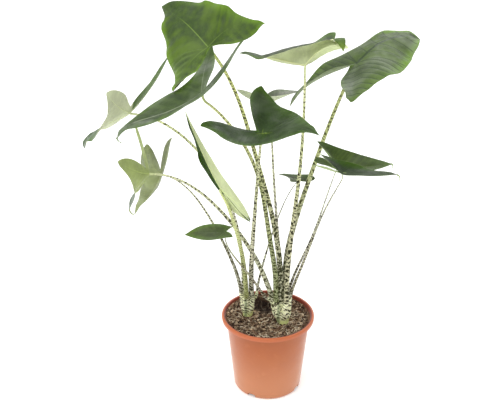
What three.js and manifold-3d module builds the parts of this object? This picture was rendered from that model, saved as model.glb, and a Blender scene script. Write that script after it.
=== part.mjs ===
// Potted zebrina alocasia: a nursery pot, the soil in it, two leaf-stalk crowns,
// and fourteen leaves, each with its own stalk and its own arrow-shaped blade.
// Millimetres, +Z up. Origin on the floor under the middle of the pot; the front is -Y.
import * as THREE from "three";
import { mergeVertices } from "three/addons/utils/BufferGeometryUtils.js";
import Module from "manifold-3d";

// ---------------------------------------------------------------- driving dimensions
const GAP = 0.3; // clearance between touching pieces

const POT_RIM_RADIUS = 95; // outside of the turned-out rim
const POT_RIM_TOP = 164.5;
const POT_RIM_DROP = 8.3; // height of the rim's hanging lip
const POT_MOUTH_RADIUS = 88.5; // inside edge of the rim
const POT_NECK_RADIUS = 84.8; // outside of the wall just below the rim
const POT_FOOT_RADIUS = 70; // outside of the wall just above the floor
const POT_WALL = 1.9;
const POT_FLOOR = 2.2;
const POT_FACETS = 40;
const FOOT_SLOTS = 4; // drain slots round the bottom edge
const FOOT_SLOT_WIDTH = 17;
const FOOT_SLOT_HEIGHT = 4.5;
const FOOT_SLOT_TURN = -29.5; // degrees from the front, to the left, of the first slot

const SOIL_TOP = 157.5;
const SOIL_LUMP = 1.2;

const CROWN_FOOT_Z = 136; // how deep the crowns are planted
const CROWN_SIDES = 22;
const CROWN_SHEATH = 0.9; // how far the crown's top reaches round each stalk
const CROWNS = {
  left: {
    top: 187.6,
    axis: [[136, -41.5, 10.5], [154, -41.5, 11], [175, -41.5, 13], [187.6, -41.8, 13.8]],
    radius: [[136, 7.5], [145, 9], [154, 9.6], [163, 11.2], [170, 13], [187.6, 15]],
  },
  right: {
    top: 186.6,
    axis: [[136, 30.5, -15], [154, 30.5, -15], [175, 27, -11], [186.6, 26.6, -9.8]],
    radius: [[136, 9], [145, 11], [154, 11.6], [163, 14.2], [172, 17], [186.6, 20]],
  },
};

const BLADE_THICK = 1.3; // in the middle of a blade
const BLADE_EDGE = 0.8; // at its margin

// Stalks, from the crown up to the underside of the blade: x, y, z, radius.
const STALKS = {
  crest: {
    crown: "right", sides: 8,
    path: [[26.7, -12.1, 187, 6.2], [25.6, -16, 205.2, 6.2], [25.5, -16.8, 211.3, 6.2], [25.3, -17.3, 223.7, 6.2], [23.7, -16, 261, 5.93], [21.4, -13.7, 292, 5.69], [17.2, -10, 329, 5.41], [12.2, -6.8, 359.6, 5.18], [4.5, -3.5, 396, 4.91], [-4.6, -0.6, 432.1, 4.64], [-22.7, 4.9, 498, 4.17], [-41, 10.8, 563.8, 3.71], [-50.1, 13.8, 593.4, 3.51], [-60.6, 16.8, 622.6, 3.32], [-73, 20, 651, 3.13], [-84.7, 22.6, 672.8, 2.99], [-91.1, 24, 683.2, 2.93], [-97.7, 25.8, 692.8, 2.87], [-112.2, 29.3, 711.3, 2.76]],
  },
  upper_left: {
    crown: "right", sides: 8,
    path: [[19.4, -23, 187, 5.4], [17.1, -23.7, 198.4, 5.4], [15.6, -24.8, 209.9, 5.4], [14.5, -26.8, 227.3, 5.39], [13.8, -29.4, 262.2, 5.09], [11.6, -31.4, 285.5, 4.89], [8.5, -33.6, 308.5, 4.69], [-0.9, -40.8, 371.8, 4.15], [-5.7, -45.3, 406.3, 3.86], [-10.7, -50.2, 440.7, 3.58], [-15.9, -54.6, 469.2, 3.34], [-22.7, -59.2, 497.2, 3.12], [-29.6, -63.1, 519.2, 2.94], [-38, -67.2, 540.7, 2.76], [-47.8, -71.4, 561.5, 2.59], [-59, -75.8, 581.6, 2.43], [-74.6, -81.5, 605.6, 2.23], [-88.5, -86.3, 623.8, 2.07], [-99.9, -90.2, 636.5, 1.96], [-107.7, -94.1, 644.6, 1.89], [-115, -98.5, 652.7, 1.83], [-117.5, -100.6, 657.1, 1.8], [-118.4, -102.7, 661.7, 1.77], [-118.1, -104.7, 666.6, 1.75]],
  },
  far_left: {
    crown: "left", sides: 8,
    path: [[-49.1, 21.4, 188, 4], [-50.7, 23.6, 197.8, 3.98], [-50.9, 24.2, 202.9, 3.95], [-51.1, 26.3, 246.9, 3.72], [-52.9, 28.3, 280, 3.54], [-56.7, 30.6, 312.8, 3.37], [-61.5, 32.8, 339.9, 3.23], [-69.5, 35.6, 371.9, 3.07], [-78.1, 38.2, 398, 2.93], [-84.1, 39.7, 413.4, 2.85], [-90.8, 41.4, 428.4, 2.77], [-103.4, 44.2, 452.8, 2.64], [-112, 45.9, 466.9, 2.56], [-121.2, 47.7, 480.5, 2.48], [-138.2, 50.8, 502.1, 2.35], [-157.2, 54, 521.8, 2.23], [-169.6, 56, 532.6, 2.16], [-178.3, 57.3, 539.3, 2.11], [-191.9, 59.4, 548.4, 2.04], [-201.4, 60.7, 553.8, 2], [-216.2, 62.9, 560.9, 1.93], [-226.4, 64.3, 564.9, 1.89], [-236.7, 65.6, 567.9, 1.85], [-246.9, 66.8, 569.9, 1.81], [-268, 69.3, 572, 1.75]],
  },
  mid_left_front: {
    crown: "right", sides: 8,
    path: [[14.3, -12.6, 187, 5.4], [13.4, -12.5, 196.1, 5.4], [12.5, -12.4, 200.5, 5.4], [8.2, -12, 213.3, 5.37], [-0, -12.4, 240, 5.08], [-9.7, -13.1, 266.1, 4.79], [-22.8, -14.5, 295.9, 4.46], [-37.4, -17, 324.9, 4.13], [-53.3, -20.7, 353.1, 3.81], [-70.4, -24.8, 380.5, 3.5], [-89.1, -28.6, 406.8, 3.19], [-106.6, -31.8, 428.3, 2.93], [-122.4, -34.5, 445.2, 2.73], [-139.5, -37.4, 460.7, 2.53], [-154.2, -39.8, 471.9, 2.37], [-169.9, -42.2, 481.5, 2.22], [-186.6, -44.8, 489, 2.08], [-195, -46.2, 491.7, 2.01], [-203.5, -47.6, 493.8, 1.95], [-221.2, -50.3, 495.9, 1.84]],
  },
  mid_left_rear: {
    crown: "left", sides: 8,
    path: [[-52.2, 12.9, 188, 4.2], [-53, 9.7, 196.9, 4.2], [-54.4, 8.6, 202.9, 4.15], [-54.8, 8.6, 206.4, 4.11], [-56.8, 9.7, 221.1, 3.95], [-59.7, 11.1, 235.7, 3.78], [-63.6, 12.8, 250, 3.62], [-68.2, 14.7, 264.1, 3.45], [-77.6, 18.4, 288.2, 3.17], [-91.5, 23.7, 318.3, 2.82], [-106.8, 29.5, 347.7, 2.48], [-121.4, 35, 373.1, 2.18], [-133.4, 39.3, 391.5, 1.97], [-144.5, 43.2, 406.1, 1.79], [-154.2, 46.4, 417, 1.66], [-164.9, 49.7, 426.8, 1.52], [-176.7, 53, 435.2, 1.4], [-189.2, 56.1, 441.7, 1.28], [-199.2, 58.3, 445.1, 1.2], [-213.2, 61.2, 447.9, 1.1]],
  },
  front_centre: {
    crown: "left", sides: 8,
    path: [[-34.2, 9, 188, 5.6], [-33.7, 9.4, 192.5, 5.6], [-33.4, 9.1, 196.8, 5.6], [-33.4, 7.6, 200.7, 5.6], [-33.5, 3.2, 208, 5.57], [-33.7, 1.5, 212.3, 5.52], [-34.6, -6.6, 247.3, 5.18], [-34.1, -18, 286.9, 4.81], [-32.7, -30.1, 326.4, 4.43], [-30.7, -42.3, 365.7, 4.07], [-28.1, -59.2, 414.4, 3.62], [-25.4, -80.3, 467, 3.15], [-22.8, -103.4, 518.7, 2.7], [-19.8, -128.3, 569.6, 2.3], [-16.6, -149.8, 608.9, 2.02]],
  },
  folded: {
    crown: "left", sides: 8,
    path: [[-45.3, 5, 188, 5.2], [-44.2, 4.6, 194.3, 5.2], [-44.5, 3.9, 200.3, 5.2], [-44.7, 2.6, 202.7, 5.2], [-44.4, -1.7, 206.4, 5.2], [-44.3, -3.2, 209, 5.17], [-44.3, -4.1, 212.2, 5.14], [-45.7, -9.1, 240.9, 4.91], [-47.9, -16.4, 272.8, 4.66], [-51.3, -26.2, 307.8, 4.38], [-56.1, -37.3, 342.2, 4.12], [-63.5, -51.8, 382.9, 3.81], [-74.1, -70.4, 429.3, 3.47], [-79.2, -78.9, 448.8, 3.33], [-88.3, -91.7, 473.3, 3.17], [-91.1, -96.4, 482.7, 3.13]],
  },
  top_centre: {
    crown: "right", sides: 8,
    path: [[32.7, -23.3, 187, 5.4], [34.9, -23.1, 197.7, 5.4], [35.8, -23.7, 209, 5.4], [36.4, -24.2, 260.5, 5.1], [38.9, -24.6, 306.3, 4.72], [42.4, -24.9, 346.2, 4.39], [48.1, -25.6, 403.2, 3.93], [53.6, -26.3, 460.3, 3.49], [58.4, -27.2, 528.9, 2.98], [60.5, -28.1, 586.1, 2.58], [61, -29.2, 649.1, 2.17], [60, -32.1, 693.9, 1.93]],
  },
  low_left: {
    crown: "right", sides: 6,
    path: [[10.1, -4.1, 187, 3], [4.6, -6.9, 200.9, 3], [2.9, -7.2, 202.2, 3], [-3.3, -8.1, 204.8, 2.99], [-4.9, -8.4, 206.5, 2.96], [-18.6, -12.9, 230.9, 2.63], [-40.5, -23.3, 270.7, 2.12], [-59.6, -33.5, 303, 1.71], [-70.3, -40.2, 322.6, 1.47], [-77.4, -45.7, 338.4, 1.3], [-81.8, -50.5, 352.2, 1.16], [-84, -55.2, 366.2, 1.03], [-84, -59.8, 380.7, 0.92]],
  },
  top_right: {
    crown: "right", sides: 8,
    path: [[39.9, -13.1, 187, 6.2], [41.1, -12.3, 198.1, 6.2], [41.1, -12.2, 203.8, 6.2], [35.9, -10.1, 238.5, 5.93], [34.8, -8.8, 256.1, 5.79], [34.9, -7.7, 273.7, 5.65], [36.1, -6.9, 291.3, 5.52], [38.9, -6.2, 314.7, 5.34], [43, -5.9, 337.9, 5.16], [47.8, -5.8, 360.9, 4.99], [57.9, -5.6, 400.9, 4.69], [72.2, -5, 451.9, 4.31], [82.1, -4.4, 485.9, 4.06], [93.9, -3.7, 525.3, 3.78], [110, -2.7, 575.8, 3.44], [123.7, -1.8, 614.7, 3.19], [136.5, -1.1, 647.6, 2.98], [141.3, -0.8, 658.2, 2.92], [157.1, 0.2, 688, 2.76]],
  },
  rear_centre: {
    crown: "right", sides: 8,
    path: [[25.6, 2.5, 187, 4], [25.7, 6.4, 205.1, 4], [24.7, 12.1, 246.5, 3.77], [23, 17.8, 278.4, 3.54], [20, 27, 319.1, 3.25], [15.9, 40.1, 368.3, 2.9], [11.2, 59.1, 430.4, 2.47], [9, 71, 465.5, 2.24], [7, 83.4, 500.5, 2.01], [4.3, 99.7, 543.8, 1.75], [-0.1, 114.7, 576.5, 1.56]],
  },
  right_upper: {
    crown: "right", sides: 6,
    path: [[33.9, 4.9, 187, 3.8], [39.1, 4.6, 196.9, 3.8], [42.6, 5.6, 203.1, 3.8], [44.7, 5.2, 210.4, 3.72], [48.2, 1.6, 230.4, 3.52], [53.8, -3.7, 254.1, 3.29], [68.4, -17, 304.3, 2.8], [79.4, -28.2, 342.7, 2.43], [88.8, -40.4, 381.3, 2.08], [99, -57.6, 431.3, 1.63], [109.4, -77.8, 484.8, 1.2], [117.6, -94.9, 525, 0.92]],
  },
  right_lower: {
    crown: "right", sides: 8,
    path: [[40.3, -1.9, 187, 4.2], [44.8, -0.9, 193, 4.2], [46.3, -1.2, 196.6, 4.15], [49.3, -5.6, 214.6, 3.98], [53.2, -13.3, 237.2, 3.77], [58.5, -24.1, 263.7, 3.51], [67.6, -43.3, 307.1, 3.1], [74.6, -59.4, 341.6, 2.77], [80.3, -74.2, 371.6, 2.5], [88, -96.5, 413.8, 2.11], [94.8, -115.4, 446.9, 1.81], [102.6, -135.3, 479.2, 1.52], [112.1, -158.8, 514.6, 1.22], [115.9, -169.9, 529.8, 1.1], [118, -178.6, 540.5, 1.01], [117.9, -184.4, 547.7, 0.96], [115.9, -190.2, 554.8, 0.92]],
  },
  small_rear: {
    crown: "left", sides: 6,
    path: [[-30.6, 17.8, 188, 2.8], [-29.5, 17.3, 190.1, 2.8], [-24.9, 15.1, 194.7, 2.79], [-24.1, 15.1, 197, 2.76], [-21.9, 17.8, 211.7, 2.63], [-18.6, 22.5, 229.2, 2.47], [-14.5, 28.2, 246.2, 2.32], [-8.9, 35.7, 265.5, 2.14], [5.4, 55.4, 308.1, 1.75], [19.5, 74.6, 343.8, 1.42], [33.7, 92.3, 372.9, 1.16], [46.5, 106, 392.5, 0.98], [62.1, 119.9, 409.5, 0.83]],
  },
};

// Blades: the middle surface of each, first where the stalk meets it, then rings of
// points going round from the tip, by the right lobe, the notch and the left lobe.
const BLADES = {
  crest: {
    rays: 28, rings: 4,
    net: [
      [-113.1, 28, 713.3],
      [-136.4, 61.7, 730.2], [-131.7, 58, 729.8], [-126.9, 54.4, 729.7], [-122.1, 50.8, 729.7], [-117.4, 47.1, 729.7], [-112.9, 43.2, 729.4], [-108.7, 39.1, 728.6], [-104.7, 34.9, 727.1], [-100.5, 31, 725.7], [-95.6, 27.4, 725.5], [-91, 23.7, 725.5], [-93.1, 22, 723.5], [-96.3, 21.1, 721.4], [-102.7, 21, 718.2], [-112.3, 25.1, 713.7], [-115.6, 13.9, 709.5], [-119.3, 8.7, 705.6], [-121.9, 6.3, 703.2], [-124.6, 5.4, 701.2], [-126, 11.5, 702.7], [-127.4, 17.4, 704.9], [-129.6, 23, 707.2], [-132.2, 28.5, 709.6], [-133.9, 34.2, 712.4], [-134.9, 39.9, 715.6], [-135.2, 45.5, 719], [-135.4, 51, 722.7], [-135.7, 56.4, 726.4],
      [-166.9, 106, 746.7], [-156.3, 97.3, 747.1], [-145.3, 89.1, 747.4], [-134.3, 80.9, 748.1], [-123.5, 72.5, 749], [-113.2, 63.2, 749.1], [-103.6, 53.4, 748.1], [-94.5, 43.5, 745.2], [-84.7, 34.6, 741.7], [-73.5, 26.7, 741], [-62.6, 18.3, 740], [-66.9, 14.6, 735.1], [-74.3, 12.5, 730.2], [-88.9, 12.1, 723.4], [-111.2, 21.3, 714.4], [-118.7, -3.9, 704.6], [-127.2, -15.8, 695.4], [-133.3, -21.1, 690], [-139.4, -23.1, 685.4], [-142, -9.1, 687.9], [-145.1, 4.3, 692.9], [-150.1, 17.1, 697.9], [-155.7, 30, 702.3], [-159.5, 43.1, 707.8], [-161.9, 56, 714.5], [-163, 68.7, 722], [-164, 81.2, 730.2], [-165.2, 93.4, 738.7],
      [-192.4, 153.3, 752], [-177.8, 138.8, 757.1], [-161, 125.8, 759.8], [-144.1, 112.7, 762.2], [-127.7, 98.9, 765], [-112.6, 83.7, 766.8], [-98.4, 67.6, 766.4], [-84.9, 51.3, 763.2], [-69, 38.5, 756.7], [-51.3, 26.6, 754.4], [-34.6, 13.5, 752.4], [-40.9, 8, 744.4], [-51.9, 5, 736.3], [-75.1, 3.6, 727.1], [-110.3, 17.8, 715.3], [-121.7, -21.2, 699.8], [-135.8, -39.3, 686.2], [-146.8, -47.1, 679.6], [-155.9, -49.9, 671.8], [-156.9, -27.5, 671.4], [-159.7, -5.6, 676.4], [-165.7, 15.5, 681.9], [-172.7, 36.5, 687.1], [-178.8, 56.7, 695.5], [-182.2, 76.7, 705.5], [-184.2, 96, 717.3], [-189.1, 113.1, 731.1], [-190.7, 132.6, 742.7],
      [-212.3, 195, 751.6], [-196.2, 174.5, 763.9], [-174.7, 156.7, 770.7], [-151, 140.7, 772.3], [-128.7, 123.2, 774.7], [-111, 102.2, 780.7], [-92.9, 80.8, 780.1], [-77.6, 56.2, 780.6], [-55, 41.9, 768.7], [-31.6, 27, 763.6], [-10.2, 9.8, 760.8], [-20.1, 1.8, 754.5], [-32.7, -0.9, 741.4], [-62.6, -3.1, 728.4], [-109.5, 14.7, 716], [-124, -35.8, 695.4], [-146.6, -58.9, 682.9], [-160.7, -68.9, 673.5], [-170, -72.9, 661], [-172.6, -43.6, 661.7], [-171.5, -13.5, 661.6], [-174.4, 16.3, 665], [-182.5, 44.4, 671.3], [-192.4, 70, 683.1], [-194.8, 97, 695.2], [-202.2, 119.5, 712.8], [-207.2, 142.6, 729.6], [-204.6, 170, 739.4],
    ],
  },
  upper_left: {
    rays: 28, rings: 4,
    net: [
      [-119.2, -104.8, 667.9],
      [-149.5, -117.3, 651.7], [-146.4, -113.1, 653.5], [-143.6, -108.7, 655.4], [-140.7, -104.4, 657.5], [-137.6, -100.5, 660.1], [-134, -97.4, 663], [-130, -95.2, 666.2], [-125.9, -93.6, 669.6], [-122.3, -91.9, 673.4], [-119, -89.9, 677.3], [-115.6, -88.3, 681.2], [-114.9, -90.6, 680.4], [-114.8, -93.3, 678.9], [-115.2, -97.9, 675.8], [-117.5, -104, 670], [-110, -105.5, 678.9], [-106.2, -108.1, 684.2], [-104.3, -110, 687.1], [-103.2, -112.3, 689.2], [-107, -114.8, 685.2], [-110.9, -116.7, 680.8], [-114.9, -118.2, 676.4], [-119, -119.8, 672.1], [-123.6, -121, 668.1], [-128.5, -121.5, 664.3], [-133.5, -121, 660.7], [-138.7, -119.9, 657.4], [-144, -118.6, 654.4],
      [-191.3, -133.1, 638], [-183.9, -123.5, 641.2], [-177, -113.6, 644.9], [-169.9, -104.1, 649.1], [-162.3, -95.4, 653.9], [-153.7, -88.4, 659.5], [-144.3, -83.3, 665.8], [-134.7, -79.6, 672.8], [-126.2, -75.7, 680.8], [-118.7, -71.1, 689.6], [-110.9, -67.8, 698.5], [-109, -72.9, 696.5], [-108.7, -79.1, 693], [-110, -89.5, 686.1], [-115.5, -103, 672.5], [-98.4, -106, 692.9], [-90, -111.9, 705.2], [-85.9, -116.2, 712], [-83.5, -121.3, 716.7], [-91.6, -127.3, 707.4], [-100.2, -131.8, 697.4], [-109.4, -135.2, 687.5], [-119.3, -138.7, 678.4], [-130.2, -141.3, 670.2], [-141.8, -142.4, 662.5], [-153.8, -141.2, 655.4], [-166, -138.8, 648.9], [-178.4, -135.9, 643],
      [-232.9, -148.4, 629.2], [-221.1, -133.8, 633.8], [-209.8, -118.8, 637.6], [-198.4, -104.1, 642.1], [-186.1, -90.4, 647.8], [-172.2, -79.3, 654.8], [-156.9, -71, 663.1], [-142, -65.2, 673.6], [-129, -59.2, 686.4], [-118, -52.7, 700.9], [-107, -48.6, 715.9], [-103.7, -56.4, 712.6], [-102.5, -65.6, 706.7], [-104.4, -81.6, 695.9], [-113.5, -102, 675], [-87.5, -106, 706.6], [-75.5, -114.9, 726.4], [-69.5, -121.5, 737], [-65.1, -129.5, 743.8], [-76.2, -139.4, 728.4], [-88.6, -146.6, 712.1], [-102.4, -152, 696.5], [-118.1, -157.3, 682.7], [-135.7, -161.3, 671], [-154.3, -162.7, 660], [-173.3, -160.7, 650], [-192.7, -156.8, 641.6], [-212.6, -152.3, 634.7],
      [-258.8, -159, 604.8], [-250.4, -143.1, 620.2], [-236.4, -123.6, 626.9], [-221.8, -104.2, 633.4], [-205.9, -86.2, 640.7], [-187.3, -71.4, 648.9], [-166.3, -60.2, 657.9], [-146.2, -52.3, 671.5], [-129.3, -44.6, 689.2], [-116.3, -37, 710], [-103.5, -33, 732], [-100.5, -43.4, 727.5], [-98.1, -54.7, 719.1], [-99, -75, 703.9], [-111.8, -101.2, 677.1], [-78.6, -105.8, 718.6], [-64.3, -117, 745.2], [-56.1, -125.7, 758.8], [-47.6, -135.5, 766], [-62.7, -149.2, 746], [-76.9, -158.8, 723.2], [-94.2, -166, 701.7], [-115, -173.2, 683.6], [-139.5, -178.3, 669.9], [-163.5, -180.1, 654.9], [-188.7, -177.2, 642.3], [-214.3, -171.6, 631.7], [-240.6, -165.2, 623.9],
    ],
  },
  far_left: {
    rays: 28, rings: 4,
    net: [
      [-269.2, 70, 573.4],
      [-298.3, 87.4, 553.9], [-292.5, 87.3, 556.6], [-286.7, 87.5, 559.2], [-280.9, 87.7, 561.9], [-275.3, 87.8, 564.9], [-270.1, 87.3, 568.5], [-265.4, 86.6, 572.8], [-261.2, 86.1, 577.6], [-257.3, 85.7, 582.6], [-253.7, 84.9, 587.9], [-250.4, 83.4, 593.1], [-252.2, 80.3, 592.3], [-254.9, 77.3, 590.3], [-260.1, 73, 586], [-268.4, 69.4, 576.4], [-270.4, 62.7, 584.1], [-272.4, 57.5, 587.4], [-273.8, 54.3, 588.6], [-275.3, 51.7, 588.6], [-276.3, 53.6, 583.3], [-277.2, 56.1, 578.2], [-278.9, 58.9, 573.5], [-281.9, 61.8, 569.6], [-285.3, 65.2, 566.4], [-288.4, 69.2, 563.7], [-291, 73.7, 561.3], [-293.4, 78.3, 558.9], [-295.7, 82.9, 556.5],
      [-335.3, 109.4, 529], [-322.4, 109.3, 535.5], [-309, 109.7, 541.1], [-295.6, 110, 546.7], [-282.7, 110.1, 553.2], [-271.1, 109.1, 561.8], [-261.2, 107.9, 572.4], [-251.7, 106.7, 583.4], [-242.8, 105.8, 594.8], [-234.6, 104, 606.7], [-227.3, 100.6, 618.7], [-231, 93.4, 616.7], [-236.8, 86.5, 611.9], [-248.2, 76.5, 601.9], [-267.5, 68.7, 580.2], [-271.9, 53.7, 597.8], [-276.2, 41.7, 605.3], [-279.5, 34.5, 607.9], [-282.9, 28.5, 607.7], [-285.1, 32.6, 595.5], [-287.1, 38.2, 583.8], [-290.9, 44.4, 573], [-297.7, 51, 564.1], [-305.5, 58.9, 557.3], [-312.7, 68, 551.3], [-318.6, 78.2, 545.8], [-324.1, 88.8, 540.4], [-329.5, 99.3, 534.9],
      [-366.5, 130, 499.5], [-350.7, 130.4, 514.3], [-330.2, 131, 523.2], [-309.4, 131.3, 531.1], [-290, 131.7, 542.2], [-273, 130.4, 556.3], [-259.6, 128.7, 574.1], [-244.8, 126.9, 590.7], [-231.2, 125.7, 608.3], [-219.1, 123, 626.9], [-208.2, 117.9, 645.5], [-213.2, 106.5, 641.9], [-220.8, 95.5, 633.8], [-236.8, 79.7, 617.2], [-266.6, 68.1, 583.9], [-272.8, 45.2, 611.2], [-279.9, 26.5, 622.5], [-285.2, 15.1, 626], [-290.1, 5.5, 625.1], [-292.1, 11.3, 606.1], [-295.8, 20.3, 588.5], [-302.5, 30.4, 572.5], [-312.7, 40.5, 558.4], [-323.5, 52.2, 546.1], [-333.2, 65.9, 535.1], [-342.5, 81.7, 526.6], [-351, 98.1, 518.4], [-358.5, 114.3, 509.2],
      [-378.8, 150.5, 467.9], [-373.4, 148.1, 494.5], [-348.4, 149.8, 509], [-320.8, 149.2, 517.4], [-297.5, 150.5, 534.6], [-275.6, 148.7, 552.9], [-260, 146.3, 577], [-240.3, 144.2, 597.9], [-223.7, 142.7, 621.3], [-209, 139.6, 645.7], [-195.3, 133.2, 669.4], [-200.7, 118.3, 664.8], [-209.7, 103.8, 653.8], [-227.2, 82.3, 630.4], [-265.9, 67.5, 587], [-273.4, 38, 622.7], [-284.1, 13.3, 636.5], [-290.9, -2, 640.5], [-296.7, -14.9, 638.9], [-297.3, -7.2, 614.8], [-301.2, 4.1, 591.4], [-312.1, 18.3, 571.8], [-324.6, 31.2, 552.2], [-334.9, 45.9, 532.5], [-346.4, 64.3, 517.1], [-361, 84.5, 508.2], [-366.7, 105.7, 493.3], [-372.8, 127.9, 480.2],
    ],
  },
  mid_left_front: {
    rays: 28, rings: 4,
    net: [
      [-222.7, -50, 496.2],
      [-236.5, -43.3, 475], [-234, -42.4, 478.3], [-231.4, -41.4, 481.5], [-228.9, -40.3, 484.7], [-226.6, -39.2, 488], [-225, -38.5, 491.8], [-224.3, -38, 495.9], [-224.5, -37.8, 500], [-225.2, -37.5, 504.2], [-226.1, -37.3, 508.3], [-227.1, -37.5, 512.3], [-226.9, -39.9, 511.6], [-226.4, -42.4, 509.8], [-225.4, -46.2, 506], [-223.5, -50.1, 498.2], [-227.7, -54.2, 503.3], [-230.1, -57.7, 505.5], [-231.5, -59.9, 506.3], [-232.4, -61.9, 506.2], [-231, -61.3, 502.7], [-229.7, -60.4, 499.1], [-228.9, -59.2, 495.4], [-229.2, -57.9, 491.7], [-230.1, -56.1, 488.4], [-231.3, -53.9, 485.4], [-232.5, -51.3, 482.7], [-233.8, -48.6, 480.2], [-235.1, -45.9, 477.6],
      [-254.3, -34.8, 448.3], [-249, -32.7, 456], [-243, -30.3, 463.1], [-236.8, -27.9, 470.1], [-231.1, -25.6, 477.4], [-227.2, -23.8, 485.9], [-226.3, -22.6, 495.3], [-227.4, -22.3, 504.8], [-229.2, -21.6, 514.2], [-231.3, -21.3, 523.5], [-233.8, -22, 532.6], [-233.1, -27.5, 531.1], [-231.8, -33.2, 527.2], [-229.3, -41.9, 518.6], [-224.5, -50.2, 500.6], [-234.2, -58.9, 512.5], [-239.8, -67, 517.5], [-242.8, -72.1, 519.4], [-245, -76.6, 519], [-241.7, -75.6, 510.8], [-238.6, -73.6, 502.7], [-236.6, -71.1, 494.3], [-237.2, -68.3, 485.9], [-239.4, -64.1, 478.4], [-242.2, -59, 471.7], [-245.2, -53.2, 465.7], [-248.2, -47, 459.9], [-251.2, -40.8, 454.2],
      [-266.2, -26, 420.5], [-262.4, -23.1, 434], [-254.1, -19.3, 445.7], [-243.9, -15.9, 455.7], [-235.1, -12.4, 467], [-228.6, -9.7, 479.9], [-229.4, -8.1, 494.4], [-231.6, -7.6, 509], [-234.1, -6.5, 523.5], [-237.4, -6, 537.9], [-241.7, -7.2, 551.8], [-240.7, -15.7, 549.4], [-238.2, -24.5, 543.6], [-233.4, -38, 530.8], [-225.5, -50.4, 502.9], [-240.6, -63.1, 521.6], [-249, -75.6, 529.6], [-254.1, -83.3, 532.1], [-257.9, -90.3, 530.9], [-251.9, -89.5, 518.4], [-246.6, -86.8, 505.8], [-243.4, -83, 492.9], [-243.6, -78.7, 479.8], [-246.4, -72.5, 467.8], [-250.4, -64.7, 457.1], [-254.7, -55.4, 447.7], [-259.1, -45.7, 438.7], [-263.2, -35.8, 429.8],
      [-261.8, -15.1, 397.1], [-268.8, -14.8, 413.3], [-264.1, -10, 431.1], [-249.3, -6.1, 442.9], [-239, -1.1, 458.3], [-229.8, 2.4, 474.8], [-233.5, 3.9, 493.5], [-236.3, 4.6, 512.4], [-238.5, 6.3, 531.4], [-242.8, 7, 550.1], [-248, 5.1, 568.3], [-248.6, -5.8, 564.5], [-244.7, -17.3, 557.2], [-237.1, -34.9, 541.1], [-226.4, -50.5, 504.9], [-245.7, -66.4, 529.6], [-257.1, -82.4, 539.9], [-264.7, -92.3, 542.2], [-270, -101.2, 539.8], [-261.3, -100.8, 524.3], [-252.1, -98.4, 508.8], [-247.5, -93.7, 491.6], [-245.7, -88.4, 473.8], [-248.8, -79.9, 457.6], [-254.6, -69.3, 443.6], [-259.9, -56.9, 431.1], [-264.6, -43.8, 419.2], [-265.5, -29.7, 407.3],
    ],
  },
  mid_left_rear: {
    rays: 28, rings: 4,
    net: [
      [-214.2, 62, 448.3],
      [-226.3, 68.8, 420.7], [-223.4, 69.4, 424.1], [-220.5, 70.5, 427.4], [-217.9, 71.7, 430.9], [-215.7, 72.8, 434.7], [-214, 73.5, 438.8], [-212.6, 73.6, 443.2], [-211.7, 73.3, 447.6], [-211.1, 73.1, 452], [-210.6, 73.7, 456.4], [-210.4, 74.1, 460.8], [-211, 72, 460.6], [-211.7, 69.8, 459.4], [-212.9, 66.1, 456.6], [-214.2, 62, 450.4], [-215.7, 58.5, 457.5], [-217, 55.5, 461.2], [-217.9, 53.6, 463], [-218.9, 51.9, 464.1], [-220.3, 52.5, 459.6], [-221.7, 53.4, 455.1], [-223.3, 54.4, 450.7], [-225.1, 55.5, 446.3], [-226.4, 57, 441.9], [-227, 59, 437.5], [-226.9, 61.3, 433.2], [-226.6, 63.8, 429], [-226.3, 66.3, 424.9],
      [-245.7, 80.6, 388.5], [-238.6, 81.2, 395.6], [-231.8, 83.2, 402.9], [-225.6, 85.6, 410.6], [-220.1, 87.8, 418.9], [-215.8, 88.9, 428], [-212.4, 88.9, 437.6], [-209.6, 87.8, 447.3], [-207.7, 87.3, 457.2], [-206.4, 88.4, 467.1], [-205.7, 89.2, 477.1], [-207.4, 84.5, 476.4], [-209, 79.4, 473.7], [-211.4, 71.2, 467.3], [-214.2, 62, 452.9], [-217.5, 54.5, 469.3], [-220.4, 47.6, 477.7], [-222.4, 43.4, 482], [-224.8, 39.8, 484.6], [-229, 42.4, 475.2], [-232.5, 45.8, 465.5], [-236.7, 49.5, 456.2], [-241, 53.7, 447.1], [-244, 58.2, 437.6], [-245.5, 62.6, 427.7], [-245.7, 66.7, 417.7], [-245.3, 71, 407.8], [-244.9, 75.6, 398],
      [-266.5, 96, 360.1], [-256, 94.2, 370.6], [-244.8, 96.6, 381.1], [-234.4, 99.6, 392.1], [-225.1, 102.4, 404.1], [-218.5, 104, 418], [-213.6, 103.8, 432.6], [-208.7, 102, 447.2], [-204.9, 101, 462.2], [-202.7, 102.8, 477.4], [-200.7, 103.5, 492.6], [-204, 96.6, 491.7], [-206.8, 88.8, 487.6], [-210.1, 76, 477.7], [-214.2, 62.1, 455.4], [-219.2, 50.9, 480.9], [-223, 40.5, 494], [-225.7, 34.5, 501], [-230.5, 30.6, 505.7], [-237.7, 38, 492.2], [-242.6, 46, 478.2], [-247.3, 54.8, 464.7], [-250.1, 65.1, 451.8], [-250.9, 74, 437.9], [-253.3, 80.6, 423], [-257.5, 84.8, 407.4], [-260.3, 88.2, 391.3], [-262.4, 91.5, 375.2],
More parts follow.
